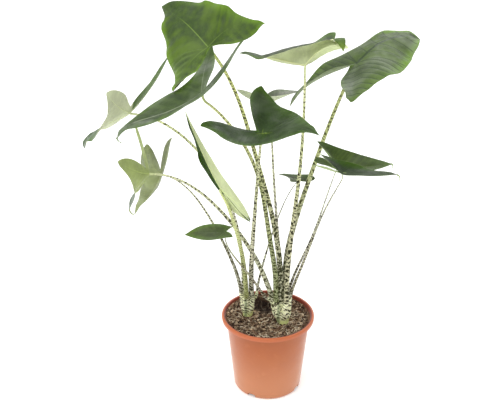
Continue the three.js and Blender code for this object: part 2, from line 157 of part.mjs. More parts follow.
      [-277.8, 114.9, 336.3], [-270.1, 105.9, 349.1], [-257.5, 108.7, 364], [-243.3, 112, 377.5], [-230.4, 115.1, 392.2], [-221.6, 116.9, 409.8], [-215.8, 116.5, 428.9], [-209, 114.1, 447.5], [-203.4, 112.9, 466.6], [-199.5, 115, 486.2], [-193.8, 114.8, 505.3], [-199.5, 106.5, 504.5], [-204.7, 96.8, 499.4], [-209.4, 80, 486.6], [-214.3, 62.1, 457.6], [-220.4, 48.1, 490.8], [-223.4, 34.9, 508.2], [-227.1, 28.9, 518.1], [-234.3, 27.7, 524.9], [-243.9, 37.1, 507.6], [-249.2, 49.2, 489.8], [-252.4, 63, 472.8], [-249.5, 77.7, 456.3], [-245.4, 88.3, 437.1], [-250.3, 97, 417.2], [-260.6, 103.2, 398.5], [-265.4, 107, 377.3], [-274.1, 109.5, 357.2],
    ],
  },
  front_centre: {
    rays: 28, rings: 4,
    net: [
      [-16.7, -150, 610.6],
      [3.2, -164.9, 619.5], [-1.1, -164.4, 617.6], [-5.4, -164.2, 615.7], [-9.7, -164.3, 613.8], [-14.1, -164.7, 612.3], [-18.7, -164.9, 611.3], [-23.3, -164, 611.1], [-27.5, -162.1, 611.7], [-31.5, -160.1, 612.9], [-35.5, -158.2, 614.5], [-39.3, -156, 616], [-37.4, -153.8, 615.6], [-34.5, -152, 614.9], [-28.8, -149.6, 613.6], [-18.9, -148.7, 611.7], [-20.8, -138.9, 617.7], [-20, -132.3, 620.3], [-18.9, -128.6, 621.4], [-17.1, -126, 621.8], [-14.1, -128.8, 619.7], [-11.2, -132, 617.8], [-8.2, -135.3, 616.4], [-5.3, -138.9, 615.7], [-3.3, -143, 615.7], [-2.4, -147.6, 616], [-1.8, -152.2, 616.6], [-0.6, -156.6, 617.5], [1.2, -160.8, 618.5],
      [28.3, -183.8, 631.3], [18.4, -182.7, 627.2], [8.7, -182.2, 622.8], [-1.1, -182.5, 618.2], [-11, -183.5, 614.4], [-21.4, -183.9, 611.9], [-31.8, -181.7, 611.3], [-41.4, -177.3, 612.7], [-50.5, -172.8, 615.9], [-59.4, -168.5, 619.9], [-67.8, -163.4, 624], [-63.5, -158.5, 623.2], [-56.9, -154.3, 621.3], [-44.2, -148.9, 617.6], [-21.7, -147, 613.1], [-26.3, -125, 627.2], [-24.7, -109.9, 632.9], [-22.3, -101.5, 635.3], [-17.9, -95.6, 636], [-10.9, -101.7, 630.9], [-4.3, -108.8, 626.4], [2.5, -116.3, 623.2], [9.1, -124.5, 621.8], [13.7, -134.1, 622.1], [15.5, -144.5, 623.4], [16.7, -154.8, 625.2], [19.6, -164.8, 627.2], [23.7, -174.4, 629.3],
      [53.5, -202.2, 638.2], [37.5, -200.4, 635.4], [22.3, -199.6, 629], [7.4, -200, 622.3], [-8, -201.5, 616.6], [-24, -202.2, 613.1], [-40, -198.8, 612], [-54.8, -192, 613.8], [-68.8, -185.2, 619.2], [-81.8, -178.8, 626.8], [-94.5, -170.8, 633], [-87.9, -163.1, 632.5], [-78, -156.5, 629.2], [-58.9, -148, 622], [-24.4, -145.4, 614.4], [-32.3, -111.8, 636.4], [-30.2, -88.2, 644.6], [-26, -75.3, 648.4], [-18.3, -66.4, 649.3], [-7.6, -75.4, 640.7], [2.4, -86.1, 633.1], [12.9, -97.8, 628.7], [23.1, -110.6, 627.4], [30, -125.4, 628.2], [32.5, -141.4, 631], [34.4, -157.4, 634.1], [39.4, -172.8, 636], [46.2, -187.6, 637.4],
      [74.6, -217.7, 632.2], [54.6, -215.6, 637], [34.4, -214.6, 632.7], [14.5, -215, 625.8], [-5.6, -216.8, 619.5], [-26.4, -217.5, 615.7], [-47, -213.2, 614.3], [-66.1, -204.5, 615.9], [-84.2, -195.8, 622.3], [-101.3, -187.2, 631.3], [-118.1, -175.5, 634.2], [-109.2, -167, 638.6], [-95.8, -158.5, 636.2], [-71.1, -147.1, 626.6], [-26.7, -144, 615.5], [-37.8, -100.6, 643.8], [-35.1, -69.8, 654.7], [-27.3, -53.3, 659.8], [-16.1, -41.9, 661], [-4.4, -53.3, 649.1], [8, -66.4, 638], [21.7, -81.7, 632.6], [34.8, -98.7, 632.4], [43.9, -117.9, 633.3], [46.9, -138.6, 637.6], [49.2, -159.4, 642.2], [56.7, -179.7, 641.9], [66.3, -199.2, 640.3],
    ],
  },
  folded: {
    rays: 28, rings: 4,
    net: [
      [-88, -95, 484.4],
      [-106.4, -84.1, 511.5], [-104.7, -83.1, 506.5], [-102.8, -81.9, 501.5], [-100.7, -81, 496.6], [-98.2, -80.8, 491.7], [-95.1, -81.8, 487.3], [-91.9, -83.9, 483.6], [-88.5, -86.4, 480.2], [-85, -88, 476.3], [-81.6, -89.7, 472.5], [-78.4, -92.4, 469.2], [-79.3, -93.4, 470.8], [-80.5, -94.2, 472.9], [-82.8, -95.3, 476.7], [-86.8, -95.6, 482.9], [-82.2, -100.1, 479.5], [-79.6, -103.6, 478.2], [-78.2, -105.6, 477.8], [-77.3, -107.5, 477.9], [-80.2, -106.4, 481.9], [-83.3, -104.6, 485.7], [-86.4, -102.9, 489.5], [-89.1, -102.3, 493.9], [-92, -101.1, 498.2], [-95, -98.8, 501.8], [-98, -95.6, 504.7], [-100.9, -91.9, 507.1], [-103.7, -88, 509.3],
      [-126.5, -68.5, 547.6], [-123, -66.3, 536], [-119.3, -63.9, 524.4], [-115, -62.3, 512.9], [-109.7, -62.2, 501.7], [-103.3, -64.5, 491.4], [-96.3, -69.6, 482.7], [-88.9, -75.5, 474.8], [-81.2, -79.1, 465.9], [-73.5, -83.2, 457.3], [-65.9, -89.2, 449.9], [-67.9, -91.6, 453.5], [-70.8, -93.4, 458.2], [-76.1, -95.7, 466.8], [-85.2, -96.3, 480.9], [-74.7, -106.5, 473.2], [-68.8, -114.3, 470.2], [-65.7, -119, 469.1], [-63.6, -123.2, 469.2], [-69.9, -120.8, 478.8], [-76.8, -116.6, 487.5], [-83.4, -112.4, 496.3], [-89.1, -110.7, 506.6], [-95, -107.7, 516.6], [-101.5, -102.2, 525], [-108.1, -94.9, 531.8], [-114.5, -86.5, 537.4], [-120.7, -77.5, 542.5],
      [-142.7, -51.9, 583.4], [-138.4, -49.1, 565.1], [-133, -45.9, 547.2], [-127.7, -44.1, 529.1], [-121.6, -44.7, 511.3], [-112.3, -48.5, 495.1], [-101.6, -56.3, 481.4], [-89.9, -65.1, 469.3], [-78.2, -70.8, 455.4], [-66, -77.3, 442.2], [-53.2, -86.4, 431.7], [-56.5, -90, 437.2], [-61.1, -92.8, 444.3], [-69.6, -96.2, 457.2], [-83.7, -97, 479], [-67.5, -112.5, 466.9], [-58.6, -124.6, 462], [-53.9, -131.8, 460.1], [-50.5, -138.1, 460.3], [-60, -134.6, 475.4], [-70.3, -127.9, 489.3], [-80.1, -121.2, 503.2], [-88.8, -118.3, 519.1], [-97.9, -113.5, 534.4], [-107.6, -105, 547.5], [-117.2, -93.4, 558.1], [-126.2, -80.3, 567], [-134.8, -66.2, 575.1],
      [-153.9, -36.5, 614.2], [-149.5, -34.2, 590.7], [-143.1, -30.3, 567.5], [-136.3, -27.9, 544], [-132.4, -30.2, 519.6], [-120.9, -35.4, 498.3], [-107.3, -45.4, 480.1], [-91.4, -56.5, 464.3], [-76, -64.2, 446.1], [-60.1, -73.1, 428.9], [-41.3, -85, 416.3], [-46.2, -89, 423.6], [-52.5, -92.4, 432.7], [-63.9, -96.8, 449.3], [-82.4, -97.6, 477.4], [-61.5, -117.6, 461.4], [-50.2, -133.2, 454.7], [-44.1, -142.5, 451.9], [-38.6, -150.2, 451.8], [-51.8, -146.1, 472], [-65.1, -137.6, 490.4], [-77.3, -128.5, 509.2], [-89.5, -124.9, 529.6], [-101.4, -118.7, 549.4], [-113.7, -107.5, 566.4], [-124.9, -91.8, 580.5], [-135.2, -73.9, 592.3], [-144.8, -55, 603.1],
    ],
  },
  top_centre: {
    rays: 28, rings: 4,
    net: [
      [61.1, -30, 695],
      [37.7, -11.5, 695.4], [41.3, -13.1, 693.9], [45.1, -14.2, 692.6], [49.1, -15, 691.6], [53.2, -15.6, 691.4], [57.4, -16.3, 692], [61.3, -17.3, 693.4], [65, -18.2, 695.4], [68.5, -18.3, 697.9], [71.9, -18.2, 700.6], [75.2, -18.3, 703.3], [74.7, -20.8, 703.2], [73.3, -23.5, 702.4], [69.9, -27.6, 700.5], [62.7, -31, 696.3], [67, -35.8, 702.3], [69.4, -38.1, 706.6], [70.9, -39.1, 709], [72.1, -39.4, 711.1], [70.7, -35.2, 709.3], [68.8, -30.9, 707.7], [65.9, -27.1, 706.8], [62.1, -24, 706.5], [57.7, -21.7, 705.9], [53.3, -19.8, 704.6], [49, -18.1, 702.6], [45, -16.3, 700.1], [41.3, -14.2, 697.6],
      [5.9, 8.7, 697.6], [14.5, 6.3, 694.2], [23.1, 4.4, 691], [32.2, 3.3, 689], [41.7, 2.5, 689.5], [50.8, 0.9, 692.2], [59.4, -1.5, 695.7], [68.1, -3.4, 699.4], [76.4, -3.5, 704.3], [84.1, -3.1, 710.2], [91.8, -3.4, 715.8], [91.1, -9.1, 715], [88, -15.3, 712.9], [80.7, -24.5, 708], [64.7, -32.2, 697.8], [75, -43.4, 710.8], [81, -48.5, 720.3], [84.8, -50.7, 725.6], [88.2, -51, 730], [86, -41.3, 724.8], [81.1, -31.6, 722.1], [72.5, -24.1, 721.8], [62, -19.5, 722.2], [51.2, -15.6, 721.1], [40.9, -11.4, 718.2], [31.5, -6.8, 713.7], [22.8, -2, 708.2], [14.3, 2.9, 702.4],
      [-28.4, 20.3, 700.6], [-14, 20.7, 697.2], [0.1, 20.4, 692.8], [14.9, 20.2, 690.5], [29.3, 18.9, 693.6], [41.6, 13.9, 700.2], [52.3, 6.4, 707.2], [65.9, 4.6, 712], [79.4, 8.5, 716.5], [91.8, 10, 724.4], [104.8, 11, 730.9], [105, 2.4, 728.3], [101.3, -7.1, 724.1], [91, -21.6, 715.5], [66.8, -33.5, 699], [83.4, -51.3, 717.4], [94.7, -59.4, 729.4], [102.7, -62.5, 735.4], [110.4, -62.2, 739.9], [104.9, -46.7, 734.4], [92.2, -34.7, 736.1], [74.6, -31.3, 735.5], [57.1, -29.7, 732.3], [40.2, -26.1, 727.5], [24.3, -20.2, 721.5], [9.8, -11.8, 715], [-3.5, -2.2, 708.4], [-15.9, 8.3, 701.9],
      [-56.4, 30.2, 701.4], [-37.5, 33.1, 703.3], [-18.2, 34.6, 698.8], [0.6, 34.6, 693.9], [18.8, 32.1, 699.1], [33.5, 23.9, 708.3], [46, 12.4, 717.3], [63.7, 10.5, 723.6], [81.2, 17.9, 727.7], [97.4, 20.3, 737.8], [115.3, 24.7, 741.6], [116.5, 13.1, 739.2], [112.5, 0.2, 733.6], [99.7, -19.1, 722], [68.7, -34.6, 700], [91, -58.4, 721.6], [108.1, -68.8, 732.7], [120.1, -72, 736.3], [130.8, -70.8, 736.8], [122.6, -50.5, 739.8], [99.2, -45.5, 744.3], [76.3, -44.4, 738.2], [54, -42.8, 731.2], [32.6, -38.1, 723.6], [12.8, -30.1, 714.2], [-5.8, -18.8, 705.3], [-24.1, -4.9, 698.1], [-41.9, 11.5, 702.9],
    ],
  },
  low_left: {
    rays: 22, rings: 3,
    net: [
      [-84.3, -60, 381.9],
      [-102.1, -55.5, 378.8], [-98.8, -54.9, 379.8], [-95.6, -54.1, 380.9], [-92.4, -53.4, 381.7], [-89.1, -53.3, 382.3], [-85.8, -54.2, 382.6], [-82.6, -55.4, 382.7], [-80.5, -54.9, 383.2], [-80.5, -55.7, 383.3], [-81, -57.2, 383.3], [-82, -58.8, 383], [-83.6, -60.2, 382.2], [-81.9, -62.3, 382.5], [-81.2, -64.5, 382.6], [-80.9, -66.3, 382.6], [-81, -67.3, 382.5], [-83.2, -66.3, 381.9], [-86.8, -65.7, 381], [-90.4, -65.1, 380.1], [-93.7, -63.2, 379.4], [-96.5, -60.7, 379.1], [-99.2, -58, 378.9],
      [-135.7, -46.6, 372.9], [-126.5, -45.2, 376.5], [-117.3, -43.1, 379.7], [-107.8, -40.8, 382.1], [-98, -40.4, 383.4], [-88.5, -43, 384.5], [-79.4, -46.6, 384.6], [-73, -45, 384.6], [-72.9, -47.3, 385.2], [-74.5, -51.7, 385.5], [-77.6, -56.5, 385.1], [-82.2, -60.6, 382.8], [-77.4, -66.9, 383.7], [-75.2, -73.1, 383.9], [-74.3, -78.5, 384.1], [-74.7, -81.3, 384.1], [-81.2, -78.3, 382.6], [-91.7, -76.7, 379.9], [-102.2, -74.7, 377.4], [-111.6, -69.2, 375.3], [-119.6, -61.8, 374], [-127.4, -53.9, 373.3],
      [-162.3, -37, 363.5], [-149.7, -36.2, 372.8], [-135.8, -33.6, 379.5], [-120.9, -29.9, 382.3], [-105.4, -29.1, 383.5], [-90.5, -33.2, 384.6], [-76.7, -39.1, 383.7], [-67.1, -37, 381.5], [-66.4, -40.3, 383.5], [-68.7, -47, 386], [-73.8, -54.4, 386.8], [-81, -60.9, 383.3], [-73.5, -70.8, 384.6], [-70.1, -80.5, 385.3], [-68.8, -88.8, 386.2], [-69.4, -93, 387.3], [-79.7, -88.6, 384.1], [-96, -86.1, 379.7], [-112.5, -82.9, 375.9], [-127.1, -74.4, 372.4], [-139.4, -62.6, 369.1], [-150.8, -49.8, 365.9],
    ],
  },
  top_right: {
    rays: 28, rings: 4,
    net: [
      [155.7, 0, 690.7],
      [182.8, 24.3, 710], [180.8, 17.9, 708], [178.9, 11.4, 706.2], [177, 4.8, 704.6], [175, -1.6, 702.8], [172.3, -7.7, 700.7], [168.8, -13.1, 698.1], [164.3, -17.3, 694.9], [159.9, -21.5, 691.6], [155.3, -25.6, 688.5], [150.3, -29.2, 685.5], [149, -25.8, 685.6], [148.7, -21.5, 686], [149.1, -13.8, 687.2], [152.8, -2.1, 690], [139.2, -2.1, 686.2], [131.8, -0.1, 682.3], [128, 1.6, 679.8], [125.7, 3.8, 677.5], [131, 7.9, 679], [136.4, 11.7, 681.5], [141.5, 15.3, 684.8], [146.4, 18.8, 688.6], [151.8, 20.9, 692.7], [157.6, 21.9, 696.7], [163.7, 22.4, 700.5], [169.9, 22.8, 703.9], [176.3, 23.4, 707],
      [222.4, 55.8, 723.2], [217.4, 41.2, 719.6], [212.6, 26.5, 715.8], [207.9, 11.8, 712.8], [202.8, -2.9, 709.9], [196.4, -16.9, 706.5], [187.6, -29.3, 702.5], [176.5, -39.2, 697.7], [165.7, -48.8, 691.4], [155, -58.1, 684.8], [143.3, -66.2, 678.5], [140.3, -58.6, 678.8], [139.4, -48.8, 679.8], [140.7, -31.2, 682.3], [149, -4.7, 689.2], [118.4, -4.8, 680.1], [101.9, -0.5, 670.5], [93.5, 3.2, 664.3], [88.4, 8.1, 658.6], [100.4, 17.7, 662.6], [112.6, 26.4, 668.3], [124.1, 34.7, 675.9], [135.4, 42.9, 683.8], [148.5, 47.9, 691.8], [162.4, 50.3, 699.6], [176.8, 51.5, 707], [191.6, 52.4, 713.7], [206.8, 53.7, 719.4],
      [261.8, 87.4, 719.8], [253.9, 64.8, 717.9], [245.5, 43.2, 711.6], [237.2, 21.5, 705.9], [230.1, -1.4, 704.2], [220.6, -23.4, 701.5], [207.2, -42.9, 697.3], [189.9, -59.4, 695.4], [172.5, -74.7, 688.6], [155.2, -89.4, 680.4], [137.4, -101.9, 670.7], [132.7, -90.4, 673.1], [130.4, -75.2, 674.7], [132.1, -48.1, 678], [145.5, -7.2, 688.5], [98.8, -7.9, 673], [74.7, -1.9, 655.3], [63, 3.5, 644.3], [56.9, 10.5, 633.8], [72.2, 26.6, 644], [89.8, 40.4, 654.8], [106.9, 53.3, 667.5], [125.2, 66.1, 678.5], [146.5, 73.9, 688.7], [168.5, 77.6, 699.9], [190.2, 79.5, 711.8], [213.1, 81.1, 720.8], [237.6, 83.6, 723.3],
      [288.6, 117.3, 704.4], [282.1, 86.9, 709.9], [274, 57.2, 706.7], [260.5, 31.1, 695.8], [252.2, 1, 695.7], [240.5, -27.8, 694.1], [223.1, -53.2, 688.3], [201.6, -75.9, 690.9], [178.6, -96.5, 684.6], [154.9, -116, 676.8], [132.6, -131.5, 661], [127.7, -117.9, 668.4], [124.4, -98.4, 672.1], [124.1, -62.3, 675.1], [142.4, -9.4, 688], [82.8, -10.8, 665.6], [53.2, -3.8, 639.9], [41.1, 2.4, 622.1], [37.2, 10.2, 605.7], [49.5, 32.8, 625.9], [71.1, 51.9, 642.2], [91.3, 68.8, 662.1], [116.6, 85.7, 673.8], [145.6, 95.8, 684.6], [174.4, 100.6, 699.2], [200.9, 103.2, 718.1], [231.8, 105.5, 725.1], [264.2, 108.9, 723.4],
    ],
  },
  rear_centre: {
    rays: 22, rings: 3,
    net: [
      [-0.3, 115, 577.5],
      [14.4, 122.7, 583.6], [11.7, 118.3, 582], [8.7, 113.8, 581.7], [4.9, 109.9, 582.6], [0.5, 107, 584.2], [-4.4, 104.9, 585.7], [-9.7, 103.7, 586.5], [-13.2, 103.3, 586.7], [-12.8, 105.1, 585.3], [-10.7, 108.1, 582.8], [-7.5, 111.5, 580.1], [-1.7, 114.7, 577.7], [-2.9, 115.9, 577.5], [-4.2, 117.2, 577.7], [-4.9, 118.4, 578.1], [-5.1, 119, 578.4], [-3.1, 118.5, 578.8], [-0.4, 119.3, 580.1], [2, 120.9, 581.3], [4.9, 122, 582.1], [8.1, 122.4, 582.5], [11.2, 122.5, 582.9],
      [42.2, 138.4, 593], [34.6, 124.8, 590.3], [25.6, 111.7, 590.5], [14.5, 100.4, 593], [1.7, 91.4, 596.7], [-12.5, 85.2, 600.7], [-27.9, 82.2, 603.7], [-38.3, 81.7, 604.8], [-36.9, 86.7, 600.4], [-30.8, 95.3, 593.1], [-21.3, 104.8, 585.2], [-4.5, 114.2, 578], [-7.9, 117.5, 577.4], [-11.6, 121.3, 578.1], [-13.9, 124.7, 579.4], [-14.3, 126.5, 580.7], [-8.5, 124.8, 582.1], [-1, 126.6, 586.4], [6.1, 131.8, 589.5], [14.4, 135.6, 590.8], [23.6, 137.3, 591.1], [32.9, 137.9, 591.8],
      [64.8, 154.4, 589.2], [54.6, 131.5, 594.6], [40, 110.6, 598.3], [22.7, 92, 601.4], [2.7, 76.3, 604.7], [-19.9, 66.9, 611.2], [-44.2, 64.6, 619], [-61, 65.4, 621.8], [-58.3, 72.6, 614.5], [-48.2, 85, 602.4], [-33.1, 99.3, 589.5], [-6.9, 113.8, 578.3], [-12.2, 118.8, 577.2], [-18, 124.6, 578.4], [-21.5, 129.9, 580.9], [-22, 132.7, 583.3], [-13.2, 129.8, 585.6], [-1.7, 132.5, 592.5], [9.4, 141.2, 596.4], [22.6, 148.1, 596.5], [36.9, 151.6, 594.4], [51.3, 152.8, 592.4],
    ],
  },
  right_upper: {
    rays: 22, rings: 3,
    net: [
      [117.9, -95, 526.2],
      [139, -99.5, 528.7], [134.3, -100.8, 527.9], [129.7, -102.3, 527.3], [124.9, -103.6, 527.1], [120, -104, 527.6], [115.2, -103.9, 529], [110.8, -104, 531.3], [108.1, -103.8, 533.1], [108.7, -102.1, 533], [110.5, -99.4, 531.9], [113.2, -96.6, 530.2], [116.7, -94.7, 527.6], [114.3, -90.2, 531.1], [112.6, -85.6, 532.3], [111.6, -81.6, 532.7], [111.6, -79.4, 532.3], [114.3, -80.8, 530.8], [118.5, -83.4, 529.3], [122.9, -86.2, 528.6], [127, -89.4, 528.5], [131, -92.8, 528.5], [134.9, -96.2, 528.5],
      [179.2, -108.1, 535.1], [165.7, -111.6, 532.2], [152.2, -116, 530.2], [138.3, -119.7, 529.7], [124.1, -120.9, 531], [110.4, -120.5, 535.2], [97.4, -120.8, 541.4], [89.6, -120.1, 546.7], [91.5, -115.2, 546.7], [96.9, -107.5, 543.5], [104.2, -99.5, 537.9], [114.6, -94, 530.4], [107.6, -81.3, 540.7], [101.6, -68, 543.8], [98.3, -56.3, 544.3], [98.5, -50, 543.1], [107.1, -53.9, 540.1], [119.6, -61.9, 537.2], [132, -70.4, 536], [144.2, -79.4, 535.4], [155.7, -89.3, 535.1], [167.2, -99.1, 534.9],
      [213, -116, 542.4], [192.3, -121.3, 536.7], [171.3, -127.8, 534.3], [149.8, -133.1, 534.3], [128.1, -134.7, 536.3], [107.3, -133.8, 543.2], [86, -135.5, 549.6], [73.3, -134.5, 556.3], [77.3, -127.2, 558.3], [86.4, -114.6, 554.6], [97, -101.9, 545], [113, -93.5, 532.8], [101.7, -73.8, 548.8], [91.1, -53.3, 552.8], [86.6, -34.6, 553.6], [87.1, -24.8, 550.8], [101, -32, 550.9], [120.2, -45.1, 547.6], [139.3, -58.3, 545.5], [158.2, -71.8, 543.8], [176, -87, 543.7], [193.9, -102.1, 543.8],
    ],
  },
  right_lower: {
    rays: 22, rings: 3,
    net: [
      [116.1, -190, 556.4],
      [136.4, -193.6, 557.3], [131.8, -195.2, 557.6], [127.1, -197, 557.9], [122.4, -198.2, 558.3], [117.5, -198.5, 558.8], [112.6, -198.1, 559.8], [107.9, -197.8, 561], [104.7, -197.2, 561.8], [105.3, -195.7, 561.1], [107.4, -193.5, 559.9], [110.4, -191.2, 558.5], [114.6, -189.7, 557], [111.8, -186.4, 558.7], [110.2, -182.9, 559.6], [109.3, -179.8, 560], [109.4, -178.1, 559.9], [112.1, -179, 558.7], [116.4, -180.9, 557.3], [120.8, -182.5, 556.4], [125.2, -184.5, 556], [129.1, -187.4, 556.2], [132.7, -190.5, 556.7],
      [175.3, -200.2, 560], [161.7, -205.2, 560.6], [148.2, -210.2, 561.4], [134.4, -213.9, 562.5], [120.1, -214.9, 563.4], [106.3, -213.3, 567.1], [92.6, -212.1, 571.2], [83.4, -210.7, 572.9], [85, -206.3, 570.9], [90.9, -199.9, 567], [99.4, -193.4, 562.4], [111.8, -189, 558.1], [103.8, -179.6, 563.4], [99, -169.4, 565.8], [96.2, -160.5, 566.6], [96.2, -155.5, 566.2], [104.4, -158.1, 562.9], [116.9, -163.5, 559.5], [130, -168.2, 557.6], [142.5, -174.2, 555.9], [153.9, -182.3, 556.1], [164.5, -191.3, 558],
      [208, -206, 559.3], [187.4, -213.7, 561.9], [166.4, -221.5, 564], [144.7, -226.9, 566.9], [122.3, -228.6, 568.1], [101.5, -225.7, 575.1], [80.4, -223.2, 582.4], [65.7, -221.7, 583.9], [68, -215.1, 580.1], [77, -204.9, 573.8], [90.1, -195.1, 565.9], [109.5, -188.5, 559.1], [97, -173.8, 567.5], [88.7, -158.1, 570.3], [84.1, -144.1, 570.7], [83.9, -136.4, 569], [97.6, -140.2, 565.7], [117.6, -148.7, 562.5], [138, -156.3, 560.4], [157.4, -165.3, 555.5], [175.2, -178.1, 555.7], [191.7, -192, 559.5],
    ],
  },
  small_rear: {
    rays: 22, rings: 3,
    net: [
      [62.2, 120, 410.9],
      [53.6, 130.3, 409.9], [56.3, 129.1, 410], [59.1, 128.1, 410.2], [61.8, 127.1, 410.6], [64.3, 125.7, 411.2], [66.4, 123.8, 411.6], [68.8, 122.1, 411.6], [70.4, 121.1, 411.4], [69.7, 120.3, 411.1], [68, 119.5, 410.8], [65.6, 118.9, 410.7], [62.8, 119.3, 410.9], [62.3, 116.6, 411.4], [61, 114.8, 412.1], [59.6, 113.6, 412.8], [58.7, 113.3, 413.2], [58.3, 115.1, 413], [57.7, 117.7, 412.7], [56.3, 120.1, 412.5], [55.5, 122.6, 411.8], [54.9, 125.2, 411.1], [54.4, 127.7, 410.4],
      [37.2, 149.9, 407.8], [45, 146.5, 408.3], [53, 143.7, 409], [61, 140.7, 410.2], [68.3, 136.6, 412.1], [74.2, 130.8, 414], [81.3, 126.1, 414.1], [86, 123.6, 412.4], [84.1, 121.4, 411.2], [79, 118.8, 410.2], [72.2, 117, 409.9], [63.9, 117.8, 410.7], [62.2, 110.2, 412.4], [58.5, 104.8, 414.6], [54.4, 101.4, 416.5], [51.7, 100.6, 417.6], [51, 105.8, 417.4], [49.2, 113.5, 416.8], [45.4, 120.4, 416.2], [42.8, 127.6, 414.1], [41.2, 135, 411.6], [39.5, 142.5, 409.5],
      [22.9, 165.3, 402.6], [34.9, 161.3, 408.1], [47.8, 157, 408.7], [60.4, 152.4, 409.9], [71.9, 145.9, 412.6], [80.9, 136.7, 416.7], [91.9, 129.6, 417], [98.3, 128.2, 411.1], [95.8, 124.4, 409.7], [88.3, 119.2, 408.5], [77.8, 115.6, 409], [64.9, 116.7, 410.6], [62.2, 104.6, 413.3], [56.1, 96.3, 416.6], [49.4, 91, 419.2], [44.9, 89.9, 420.5], [44.5, 98, 421.2], [41.9, 109.9, 420.2], [36, 120.7, 419.6], [32, 132, 416.3], [29.3, 143.4, 412.3], [26.3, 154.4, 407.2],
    ],
  },
};

// ---------------------------------------------------------------- helpers
const wasm = await Module();
wasm.setup();

const plastic = new THREE.MeshStandardMaterial({ color: 0xc46f46, roughness: 0.62, metalness: 0 });
const peat = new THREE.MeshStandardMaterial({ color: 0x4a382b, roughness: 1, metalness: 0 });
const crownSkin = new THREE.MeshStandardMaterial({ color: 0xb9bd8a, roughness: 0.6, metalness: 0 });
const stalkSkin = new THREE.MeshStandardMaterial({ color: 0xa9ad76, roughness: 0.55, metalness: 0 });
const bladeSkin = new THREE.MeshStandardMaterial({ color: 0x3d5f2a, roughness: 0.45, metalness: 0 });

function solidFrom(points, faces) {
  const geometry = new THREE.BufferGeometry();
  const flat = new Float32Array(faces.length * 9);
  faces.forEach((f, i) => f.forEach((v, j) => flat.set(points[v], i * 9 + j * 3)));
  geometry.setAttribute("position", new THREE.BufferAttribute(flat, 3));
  return geometry;
}

function toManifold(geometry) {
  const plain = geometry.clone();
  plain.deleteAttribute("normal");
  plain.deleteAttribute("uv");
  const merged = mergeVertices(plain, 1e-3);
  return new wasm.Manifold(
    new wasm.Mesh({
      numProp: 3,
      vertProperties: merged.attributes.position.array,
      triVerts: new Uint32Array(merged.index.array),
    }),
  );
}

function fromManifold(solid) {
  const mesh = solid.getMesh();
  const geometry = new THREE.BufferGeometry();
  const n = mesh.numProp;
  const xyz = new Float32Array((mesh.vertProperties.length / n) * 3);
  for (let i = 0; i < xyz.length / 3; i++)
    for (let k = 0; k < 3; k++) xyz[i * 3 + k] = mesh.vertProperties[i * n + k];
  geometry.setAttribute("position", new THREE.BufferAttribute(xyz, 3));
  geometry.setIndex(new THREE.BufferAttribute(new Uint32Array(mesh.triVerts), 1));
  return geometry.toNonIndexed();
}

function largest(solid) {
  const bits = solid.decompose();
  bits.sort((a, b) => b.volume() - a.volume());
  return bits[0];
}

function interpolate(table, z, column = 1) {
  if (z <= table[0][0]) return table[0][column];
  for (let i = 1; i < table.length; i++) {
    if (z <= table[i][0]) {
      const u = (z - table[i - 1][0]) / (table[i][0] - table[i - 1][0]);
      return table[i - 1][column] * (1 - u) + table[i][column] * u;
    }
  }
  return table[table.length - 1][column];
}

const ease = (u) => {
  const t = Math.min(1, Math.max(0, u));
  return t * t * (3 - 2 * t);
};

const part = new THREE.Group();
function add(name, geometry, material) {
  geometry.computeVertexNormals();
  const mesh = new THREE.Mesh(geometry, material);
  mesh.name = name;
  part.add(mesh);
}

// ---------------------------------------------------------------- pot
function ringSolid(profile, facets) {
  // profile: closed polygon of [radius, z], going round so that the solid faces out
  const points = [];
  const faces = [];
  const n = profile.length;
  const axisFirst = profile[0][0] === 0;
  const axisLast = profile[n - 1][0] === 0;
  const ids = profile.map(([r, z]) => {
    if (r === 0) {
      points.push([0, 0, z]);
      return [points.length - 1];
    }
    const ring = [];
    for (let k = 0; k < facets; k++) {
      const a = (k / facets) * 2 * Math.PI;
      points.push([r * Math.cos(a), r * Math.sin(a), z]);
      ring.push(points.length - 1);
    }
    return ring;
  });
  const last = axisFirst && axisLast ? n - 1 : n;
  for (let i = 0; i < last; i++) {
    const a = ids[i];
    const b = ids[(i + 1) % n];
    for (let k = 0; k < facets; k++) {
      const l = (k + 1) % facets;
      if (a.length === 1 && b.length === 1) continue;
      if (a.length === 1) faces.push([a[0], b[l], b[k]]);
      else if (b.length === 1) faces.push([a[k], a[l], b[0]]);
      else faces.push([a[k], a[l], b[l]], [a[k], b[l], b[k]]);
    }
  }
  return solidFrom(points, faces);
}

const wallSlope = (POT_NECK_RADIUS - POT_FOOT_RADIUS) / (150 - 5);
const wallOutside = (z) => POT_FOOT_RADIUS + wallSlope * (z - 5);
const wallInside = (z) => wallOutside(z) - POT_WALL;
const lipFoot = POT_RIM_TOP - POT_RIM_DROP;

